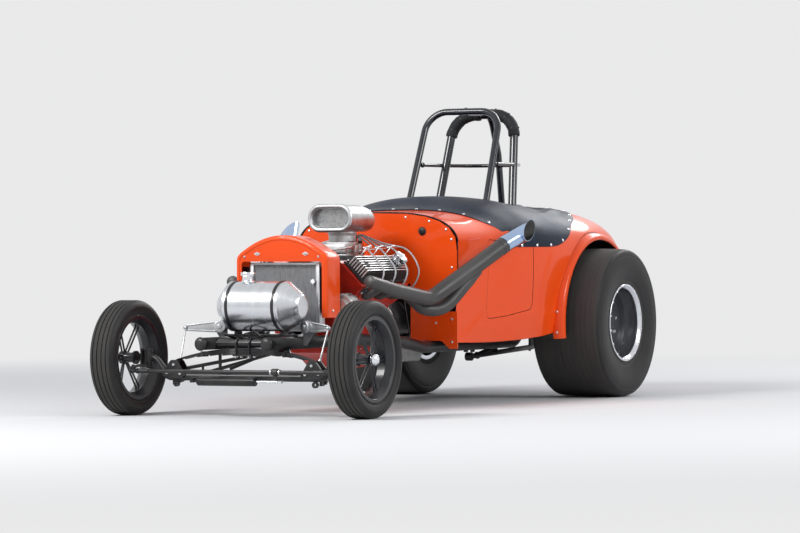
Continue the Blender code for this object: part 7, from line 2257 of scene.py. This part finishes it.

# %% [markdown]
# ## Exhaust pipes
# On each side four short stubs meet one pipe that swells towards the rear, bends under the firewall's
# corner and climbs along the body. It ends in a chrome tip whose blue is a painted sky reflection, cut
# off at a slant and black inside.
# A tube whose radius changes along its route makes the swelling pipe, and the last ring of the tip is
# laid into the slanted plane of the cut.

# %% Headers and tips
for tag, _, side in SIDES:
    corners = [at(side * x, back, z) for x, back, z in (
        (0.385, 0.545, 0.640), (0.415, 0.745, 0.597), (0.440, 1.080, 0.545), (0.560, 1.365, 0.712),
        (0.625, 1.540, 0.812))]
    route = even(bent(corners, 0.14, 12), 0.012)
    count = len(route)
    radii = [0.030 + 0.011 * min(1.0, i / (count * 0.6)) for i in range(count)]
    pipe = Shape()
    pipe.tube(route, 0.041, 32, radii=radii)
    start_cap = (route[0] - route[1]).normalized()
    pipe.turned([(0.0, 0.030), (0.008, 0.027), (0.012, 0.018), (0.0135, 0.0)], route[0], start_cap, 32,
                ends=False)
    for k in range(4):
        back = engine_front + engine_length / 4 * (k + 0.5)
        end = corners[0].lerp(corners[2], (back - 0.545) / 0.535)
        slope = Vector((side * 0.7071, 0, -0.7071))
        seat = at(side * 0.285, back, 0.590) + slope * 0.0003
        run = smooth([seat, seat + slope * 0.030, seat.lerp(end, 0.62) + slope * 0.012
                      + Vector((0, 0.012, 0)),
                      end + Vector((0, 0.020, 0))], 6)
        pipe.tube(run, 0.0205, 20)
        pipe.turned(eased([(0, 0), (0, 0.032), (0.009, 0.032), (0.009, 0)], 0.002), seat, slope, 24)
    lower = smooth([at(side * 0.352, 1.020, 0.560), at(side * 0.400, 1.090, 0.497),
                    at(side * 0.462, 1.190, 0.505),
                    at(side * 0.520, 1.300, 0.612), at(side * 0.552, 1.375, 0.690)], 8)
    pipe.tube(lower, 0.034, 28, radii=[0.026 + 0.008 * min(1.0, i / 16) for i in range(len(lower))])
    pipe.turned([(-0.004, 0.0412), (-0.003, 0.0428), (0.026, 0.0428), (0.027, 0.0412)], route[-1] + (
        route[-2] - route[-1]).normalized() * 0.028, (route[-1] - route[-2]), 32, ends=False)
    pipe.make("header_pipe_" + tag, [pipe_coating], "chassis", "coated_black", ("header_" + tag,))
    bolts = []
    for k in range(4):
        back = engine_front + engine_length / 4 * (k + 0.5)
        slope = Vector((side * 0.7071, 0, -0.7071))
        seat = at(side * 0.285, back, 0.590) + slope * 0.0094
        for along in (-0.026, 0.026):
            bolts.append((seat + Vector((0, along, 0)), slope))
    fasteners("header_bolts_" + tag, bolts, 0.006, 0.006, 0.8, 6, zinc, "chassis")

    run = (corners[-1] - corners[-2]).normalized()
    begin = corners[-1] + run * 0.0003
    end = begin + run * 0.235 + Vector((side * 0.02, 0, -0.01))
    slant = Vector((side * 0.975, 0.047, 0.216)).normalized()
    cut_at = end - (end - begin).normalized() * 0.050
    tip = Shape()
    line = [begin, begin + run * 0.012, begin + run * 0.020, begin.lerp(end, 0.25), begin.lerp(end, 0.40),
            end]
    sizes = [0.0425, 0.0430, 0.0430, 0.0430, 0.0430, 0.0430]
    for bore in (0.0, 0.003):
        rows = []
        side_way = beside(run)
        for point, size in zip(line, sizes):
            across = run.cross(side_way)
            rows.append([point + (side_way * math.cos(2 * math.pi * k / 40) + across
                                  * math.sin(2 * math.pi * k / 40))
                         * (size - bore) for k in range(40)])
        rows[-1] = [p + run * ((cut_at - p).dot(slant) / run.dot(slant)) for p in rows[-1]]
        if bore:
            inside = rows
        else:
            outside = rows
    edge = [p.lerp(q, 0.5) + run * 0.0008 for p, q in zip(outside[-1], inside[-1])]
    tip.skin(outside + [edge], ends=(False, False))
    tip.finish = 1
    tip.skin([edge] + inside[::-1] + outside[:1], ends=(False, False))
    tip.make("exhaust_tip_cut_" + tag, [chrome_painted_sky_blue, hose_rubber], "chassis", "polished_metal",
             ("exhaust_tip_" + tag,), sharp=50.0)

# %% [markdown]
# ## Gearbox and propeller shaft
# Behind the engine sits an automatic gearbox in cast aluminium: a bell that narrows to the case, a pan
# under it and a slim tail. The profile is spun, and ribs and bolts are laid on it. The shaft behind it
# is a steel tube with a universal joint at each end.

# %% Gearbox
gear = Shape()
nose = at(0, engine_rear + 0.0003, 0.420)
gear.turned(eased([
    (0, 0), (0, 0.175), (0.012, 0.175), (0.018, 0.169), (0.10, 0.146), (0.155, 0.129), (0.165, 0.122),
    (0.19, 0.115),
    (0.200, 0.115), (0.204, 0.119), (0.212, 0.119), (0.216, 0.115), (0.370, 0.115), (0.375, 0.118),
    (0.385, 0.118),
    (0.390, 0.115), (0.545, 0.115), (0.560, 0.108), (0.600, 0.078), (0.612, 0.076), (0.640, 0.058),
    (0.890, 0.053),
    (0.900, 0.058), (0.930, 0.058), (0.950, 0.040), (0.950, 0)], 0.002), nose, (0, 1, 0), 64)
for k in range(12):
    a = 2 * math.pi * k / 12
    away = Vector((math.cos(a), 0, math.sin(a)))
    gear.rod(nose + away * 0.160 + Vector((0, 0.016, 0)), nose + away * 0.112 + Vector((0, 0.196, 0)),
             0.0045, 8)
rows = []
for half, start, stop, z in ((0.123, 0.200, 0.550, 0.350), (0.123, 0.200, 0.550, 0.282),
                             (0.118, 0.205, 0.545, 0.270),
                             (0.106, 0.218, 0.532, 0.223), (0.100, 0.224, 0.526, 0.2203)):
    rows.append([nose + Vector((x, y, z - 0.420)) for x, y in (
        (-half, start + 0.02), (-half + 0.02, start), (half - 0.02, start), (half, start + 0.02),
        (half, stop - 0.02),
        (half - 0.02, stop), (-half + 0.02, stop), (-half, stop - 0.02))])
gear.skin(rows)
gear.make("gearbox_case", [cast_metal], "chassis", "bare_aluminium", ("gearbox",))
bolts = []
for k in range(10):
    a = 2 * math.pi * (k + 0.5) / 10
    bolts.append((nose + Vector((0.166 * math.cos(a), 0.0175, 0.166 * math.sin(a))), Vector((0, 1, 0))))
for k in range(5):
    for side in (-1, 1):
        bolts.append((nose + Vector((side * 0.1225, 0.235 + 0.07 * k, -0.140)), Vector((side, 0, 0))))
fasteners("gearbox_bolts", bolts, 0.0062, 0.006, 0.75, 6, zinc, "chassis")

# %% Propeller shaft
start, end = at(0, 2.0512, 0.420), at(0, 2.5488, 0.394)
run = (end - start).normalized()
span = (end - start).length
shaft = Shape()
shaft.turned(eased([(0, 0), (0, 0.0150), (0.030, 0.0150), (0.038, 0.030), (0.044, 0.0338), (0.060, 0.0338),
                    (0.063, 0.0325),
                    (span - 0.063, 0.0325), (span - 0.060, 0.0338), (span - 0.044, 0.0338),
                    (span - 0.038, 0.030),
                    (span - 0.030, 0.0150), (span, 0.0150), (span, 0)], 0.0012), start, run, 40)
across = beside(run)
for along, turn in ((0.015, across), (span - 0.015, run.cross(across))):
    middle = start + run * along
    shaft.rod(middle - turn * 0.028, middle + turn * 0.028, 0.0085, 16)
    for way in (-1, 1):
        shaft.rod(middle + turn * way * 0.022, middle + turn * way * 0.030, 0.0125, 16)
shaft.make("propeller_tube", [frame_black], "chassis", "sheet_steel", ("propeller_shaft",))

# %% [markdown]
# ## Rear axle
# The axle is a straight tube with a round centre that bolts together from two shells. A ladder bar of
# two tubes and struts runs forward on each side, and two short coil springs with dampers stand behind.
# The spring is a helix, drawn by a node tree with its turns and wire as inputs.

# %% Rear axle housing and ladder bars
middle = at(0, wheelbase, rear_tyre_radius)
axle = Shape()
axle.rod(middle - Vector((0.4788, 0, 0)), middle + Vector((0.4788, 0, 0)), 0.040, 40)
axle.rod(middle - Vector((0.5378, 0, 0)), middle + Vector((0.5378, 0, 0)), 0.0278, 32)
axle.turned(eased([
    (-0.150, 0), (-0.150, 0.046), (-0.138, 0.050), (-0.132, 0.058), (-0.120, 0.060), (-0.108, 0.076),
    (-0.080, 0.098),
    (-0.068, 0.106), (-0.064, 0.124), (-0.040, 0.125), (0.040, 0.1245), (0.070, 0.116), (0.098, 0.100),
    (0.122, 0.072),
    (0.136, 0.040), (0.140, 0)], 0.003), middle, (0, 1, 0), 64)
for _, _, side in SIDES:
    axle.turned([(0.10, 0.072), (0.12, 0.058), (0.16, 0.046), (0.20, 0.0405)], middle, (side, 0, 0), 40,
                ends=False)
    axle.turned(eased([(0.452, 0.040), (0.452, 0.056), (0.466, 0.056), (0.466, 0.040)], 0.002), middle,
                (side, 0, 0), 40)
for k in range(6):
    a = 2 * math.pi * k / 6 + 0.3
    away = Vector((math.cos(a), 0, math.sin(a)))
    axle.rod(middle + away * 0.046 + Vector((0, -0.135, 0)), middle + away * 0.100 + Vector((0, -0.074, 0)),
             0.005, 8)
for _, _, side in SIDES:
    x = side * 0.235
    eye, low, high = at(x, 1.92, 0.233), at(x, 2.68, 0.263), at(x, 2.68, 0.358)
    fork = eye.lerp(low, 0.12)
    axle.rod(eye, low, 0.0138, 20)
    axle.rod(fork, high, 0.0138, 20)
    axle.turned(eased([(-0.017, 0), (-0.017, 0.022), (0.017, 0.022), (0.017, 0)], 0.002), eye, (1, 0, 0),
                28)
    weld(axle, fork, (high - fork).normalized(), 0.0150)
    for share in (0.45, 0.72):
        foot, head = eye.lerp(low, share), fork.lerp(high, share - 0.15)
        axle.rod(foot, head, 0.0088, 14)
    plate = [(middle.y - 0.060, low.z - 0.022), (middle.y + 0.050, rear_tyre_radius - 0.075),
             (middle.y + 0.060, rear_tyre_radius + 0.020), (middle.y + 0.030, rear_tyre_radius + 0.058),
             (middle.y - 0.030, rear_tyre_radius + 0.058), (middle.y - 0.060, rear_tyre_radius + 0.020)]
    axle.slab(plate, "X", x - 0.006, x + 0.006, 0.001)
    axle.block(at(side * 0.150 - 0.030, wheelbase, 0.364),
               at(side * 0.150 + 0.030, wheelbase + 0.195, 0.376), 0.0015)
axle.make("rear_axle_housing", [frame_black], "chassis", "black_paint", ("rear_axle",))
bolts = []
for k in range(12):
    a = 2 * math.pi * (k + 0.5) / 12
    bolts.append((middle + Vector((0.115 * math.cos(a), -0.0645, 0.115 * math.sin(a))), Vector((0, -1, 0))))
for _, _, side in SIDES:
    for dy, dz in ((0.03, 0.035), (-0.03, 0.035), (-0.042, -0.075)):
        bolts.append((middle + Vector((side * 0.2410, dy, dz)), Vector((side, 0, 0))))
fasteners("rear_axle_bolts", bolts, 0.0072, 0.007, 0.75, 6, zinc, "chassis")

# %% Tree that winds a coil spring
board, given, made = new_group(
    "coil_spring",
    "GeometryNodeTree",
    (
        ("Geometry", "NodeSocketGeometry", None),
        ("Turns", "NodeSocketFloat", 5.5),
        ("Coil Radius", "NodeSocketFloat", 0.03),
        ("Height", "NodeSocketFloat", 0.07),
        ("Wire Radius", "NodeSocketFloat", 0.004),
        ("Finish", "NodeSocketMaterial", None),
    ),
    (("Geometry", "NodeSocketGeometry"),),
)
helix = board.add("GeometryNodeCurveSpiral", {
    "Resolution": 28, "Rotations": given["Turns"], "Start Radius": given["Coil Radius"],
    "End Radius": given["Coil Radius"], "Height": given["Height"]}).outputs["Curve"]
wire = board.add("GeometryNodeCurvePrimitiveCircle",
                 {"Resolution": 10, "Radius": given["Wire Radius"]}).outputs["Curve"]
wound = board.add("GeometryNodeCurveToMesh",
                  {"Curve": helix, "Profile Curve": wire, "Fill Caps": True}).outputs["Mesh"]
real = board.add("GeometryNodeRealizeInstances", {"Geometry": wound}).outputs["Geometry"]
done = board.add("GeometryNodeSetMaterial",
                 {"Geometry": real, "Material": given["Finish"]}).outputs["Geometry"]
board.tree.links.new(done, made["Geometry"])
coil_spring = board.tree

# %% Coil springs and their dampers
for tag, _, side in SIDES:
    base = at(side * 0.150, wheelbase + 0.165, 0.3763)
    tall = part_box("coilover_" + tag)[1][2] - base.z
    coil = Shape()
    coil.turned(eased([(0, 0), (0, 0.0335), (0.008, 0.0335), (0.010, 0.020), (0.045, 0.0195),
                       (0.048, 0.008), (tall - 0.024, 0.008),
                       (tall - 0.022, 0.030), (tall - 0.012, 0.0330), (tall - 0.010, 0.018), (tall, 0.0175),
                       (tall, 0)], 0.0012),
                base, (0, 0, 1), 40)
    mesh = grown(coil_spring, [(0, 0, 0)], Turns=4.6, Coil_Radius=0.0285, Height=tall - 0.040,
                 Wire_Radius=0.0044,
                 Finish=zinc)
    mesh.transform(Matrix.Translation(base + Vector((0, 0, 0.0125))))
    for polygon in mesh.polygons:
        polygon.material_index = 1
    coil.bm.from_mesh(mesh)
    coil.make("coil_spring_" + tag, [frame_black, polished], "chassis", "polished_metal",
              ("coilover_" + tag,))

# %% [markdown]
# ## Bucket and cushions
# The bucket is small and bent from sheet, with a stuffed pad on its floor and one on its
# back. Each pad starts as a rounded block. Cloth simulation blows it up against its own skin, with a
# cap on how far it may move, and the sewn channels are pressed in afterwards.

# %% Bucket
seat_y = front_axle_y + wheelbase
bucket = Shape()
side_outline = [(-0.76, 0.528), (-0.76, 0.630), (-0.58, 0.650), (-0.44, 0.765), (-0.40, 0.955),
                (-0.30, 0.965),
                (-0.345, 0.505), (-0.62, 0.510)]
tray = [(-0.76, 0.528), (-0.76, 0.558), (-0.60, 0.5405), (-0.380, 0.550), (-0.342, 0.958), (-0.30, 0.965),
        (-0.345, 0.505), (-0.62, 0.510)]
for _, _, side in SIDES:
    x = sorted((side * 0.178, side * 0.195))
    bucket.slab([(seat_y + d, z) for d, z in side_outline], "X", x[0], x[1], 0.006)
    x = side * 0.155
    bucket.block(at(x - 0.015, wheelbase - 0.70, 0.2965), at(x + 0.015, wheelbase - 0.42, 0.530), 0.002)
bucket.slab([(seat_y + d, z) for d, z in tray], "X", -0.186, 0.186, 0.003)
bucket.make("seat_bucket", [frame_black], "chassis", "seat_fabric", ("seat",))


# %% Stuffed pads
def stuffed(name, place, size, channels, puff):
    """A pad blown up from a rounded block; place turns the block into the car's coordinates."""
    shape = Shape()
    shape.block([-s / 2 for s in size], [s / 2 for s in size], min(size) * 0.42)
    mesh = bpy.data.meshes.new(name + "_start")
    shape.bm.to_mesh(mesh)
    shape.bm.free()
    holder = bpy.data.objects.new(name + "_start", mesh)
    bpy.context.scene.collection.objects.link(holder)
    remesh = holder.modifiers.new("voxels", "REMESH")
    remesh.mode = "VOXEL"
    remesh.voxel_size = 0.006
    bpy.context.view_layer.update()
    graph = bpy.context.evaluated_depsgraph_get()
    grid = bpy.data.meshes.new_from_object(holder.evaluated_get(graph))
    holder.modifiers.clear()
    holder.data = grid
    before = [vert.co.copy() for vert in grid.vertices]
    cloth = holder.modifiers.new("stuffing", "CLOTH")
    cloth.settings.use_pressure = True
    cloth.settings.uniform_pressure_force = 4.0
    cloth.settings.effector_weights.gravity = 0.0
    cloth.point_cache.frame_start, cloth.point_cache.frame_end = 1, 20
    for number in range(1, 21):
        bpy.context.scene.frame_set(number)
    graph = bpy.context.evaluated_depsgraph_get()
    blown = bpy.data.meshes.new_from_object(holder.evaluated_get(graph))
    holder.modifiers.clear()
    for vert, start in zip(blown.vertices, before):
        move = vert.co - start
        vert.co = start + move * min(1.0, puff / max(move.length, 1e-9))
    bpy.context.scene.frame_set(1)
    holder.data = grid = blown
    for vert in grid.vertices:
        if vert.normal.z > 0.2:
            near = min(abs(vert.co.y - c) for c in channels)
            inside = soft_step(size[0] / 2 - abs(vert.co.x), 0.0, 0.03)
            vert.co.z -= 0.009 * math.exp(-(near / 0.007) ** 2) * inside
        edge = abs(abs(vert.co.x) - (size[0] / 2 - 0.016))
        vert.co.z -= 0.004 * math.exp(-(edge / 0.004) ** 2) * (1 if vert.normal.z > 0.5 else 0)
    rounding = holder.modifiers.new("round", "SUBSURF")
    rounding.levels = rounding.render_levels = 1
    bpy.context.view_layer.update()
    graph = bpy.context.evaluated_depsgraph_get()
    final = bpy.data.meshes.new_from_object(holder.evaluated_get(graph))
    holder.modifiers.clear()
    bpy.data.objects.remove(holder)
    final.transform(place)
    piece = settle(name, final, [woven_cloth], "chassis", sharp=180.0)
    return piece


for name, centre, tilt, size, count in (
    ("seat_floor_pad", at(0, wheelbase - 0.560, 0.5735), -3.0, (0.326, 0.330, 0.040), 4),
    ("seat_back_pad", at(0, wheelbase - 0.388, 0.755), 84.0, (0.326, 0.340, 0.036), 4),
):
    place = Matrix.Translation(centre) @ Matrix.Rotation(math.radians(tilt), 4, "X")
    lines = [size[1] * ((k + 1) / (count + 1) - 0.5) for k in range(count)]
    stuffed(name, place, size, lines, 0.007)

# %% [markdown]
# ## Steering wheel
# A small three-spoke wheel with a padded rim sits at the end of a straight column. Rim, hub and column
# are spun about the column's own axis, and the spokes are flat bars.

# %% Steering wheel and column
wheel_at = at(0, wheelbase - 0.74, 0.865)
column = Vector((0, 0.62, 0.26)).normalized()
near_side = column.orthogonal().normalized()
far_side = column.cross(near_side)
column_end = wheel_at + column * ((front_axle_y + firewall_back + 0.036 - wheel_at.y) / column.y)
steer = Shape()
steer.turned([(0.0118 * math.cos(2 * math.pi * k / 20), 0.150 + 0.0118 * math.sin(2 * math.pi * k / 20))
              for k in range(20)], wheel_at, column, 96, closed=True)
steer.turned(eased([(-0.013, 0), (-0.013, 0.026), (0.006, 0.028), (0.012, 0.028), (0.0125, 0.010),
                    (0.0125, 0)], 0.002),
             wheel_at, column, 40)
steer.finish = 1
steer.rod(column_end, wheel_at - column * 0.010, 0.0118, 24)
steer.turned(eased([(-0.050, 0), (-0.050, 0.0122), (-0.046, 0.0165), (-0.020, 0.0165), (-0.016, 0.0122),
                    (-0.016, 0)], 0.001),
             wheel_at, column, 24)
for k in range(3):
    angle = 2 * math.pi * k / 3 + math.pi / 2
    outward = near_side * math.cos(angle) + far_side * math.sin(angle)
    across = column.cross(outward)
    rows = []
    for reach, wide in ((0.018, 0.013), (0.060, 0.010), (0.110, 0.009), (0.143, 0.012)):
        spot = wheel_at + outward * reach
        rows.append([spot + across * wide * a + column * 0.0022 * b for a, b in (
            (-1, -1), (-0.9, -1.3), (0.9, -1.3), (1, -1), (1, 1), (0.9, 1.3), (-0.9, 1.3), (-1, 1))])
    steer.skin(rows)
steer.make("steering_wheel_rim", [hose_rubber, satin_metal], "hand_wheel", "black_paint",
           ("steering_wheel",))
screws = []
for k in range(6):
    angle = 2 * math.pi * k / 6
    screws.append((wheel_at + column * 0.0122 + (near_side * math.cos(angle) + far_side * math.sin(angle))
                   * 0.019, column))
fasteners("steering_wheel_screws", screws, 0.0032, 0.002, 0.7, 12, zinc, "hand_wheel")
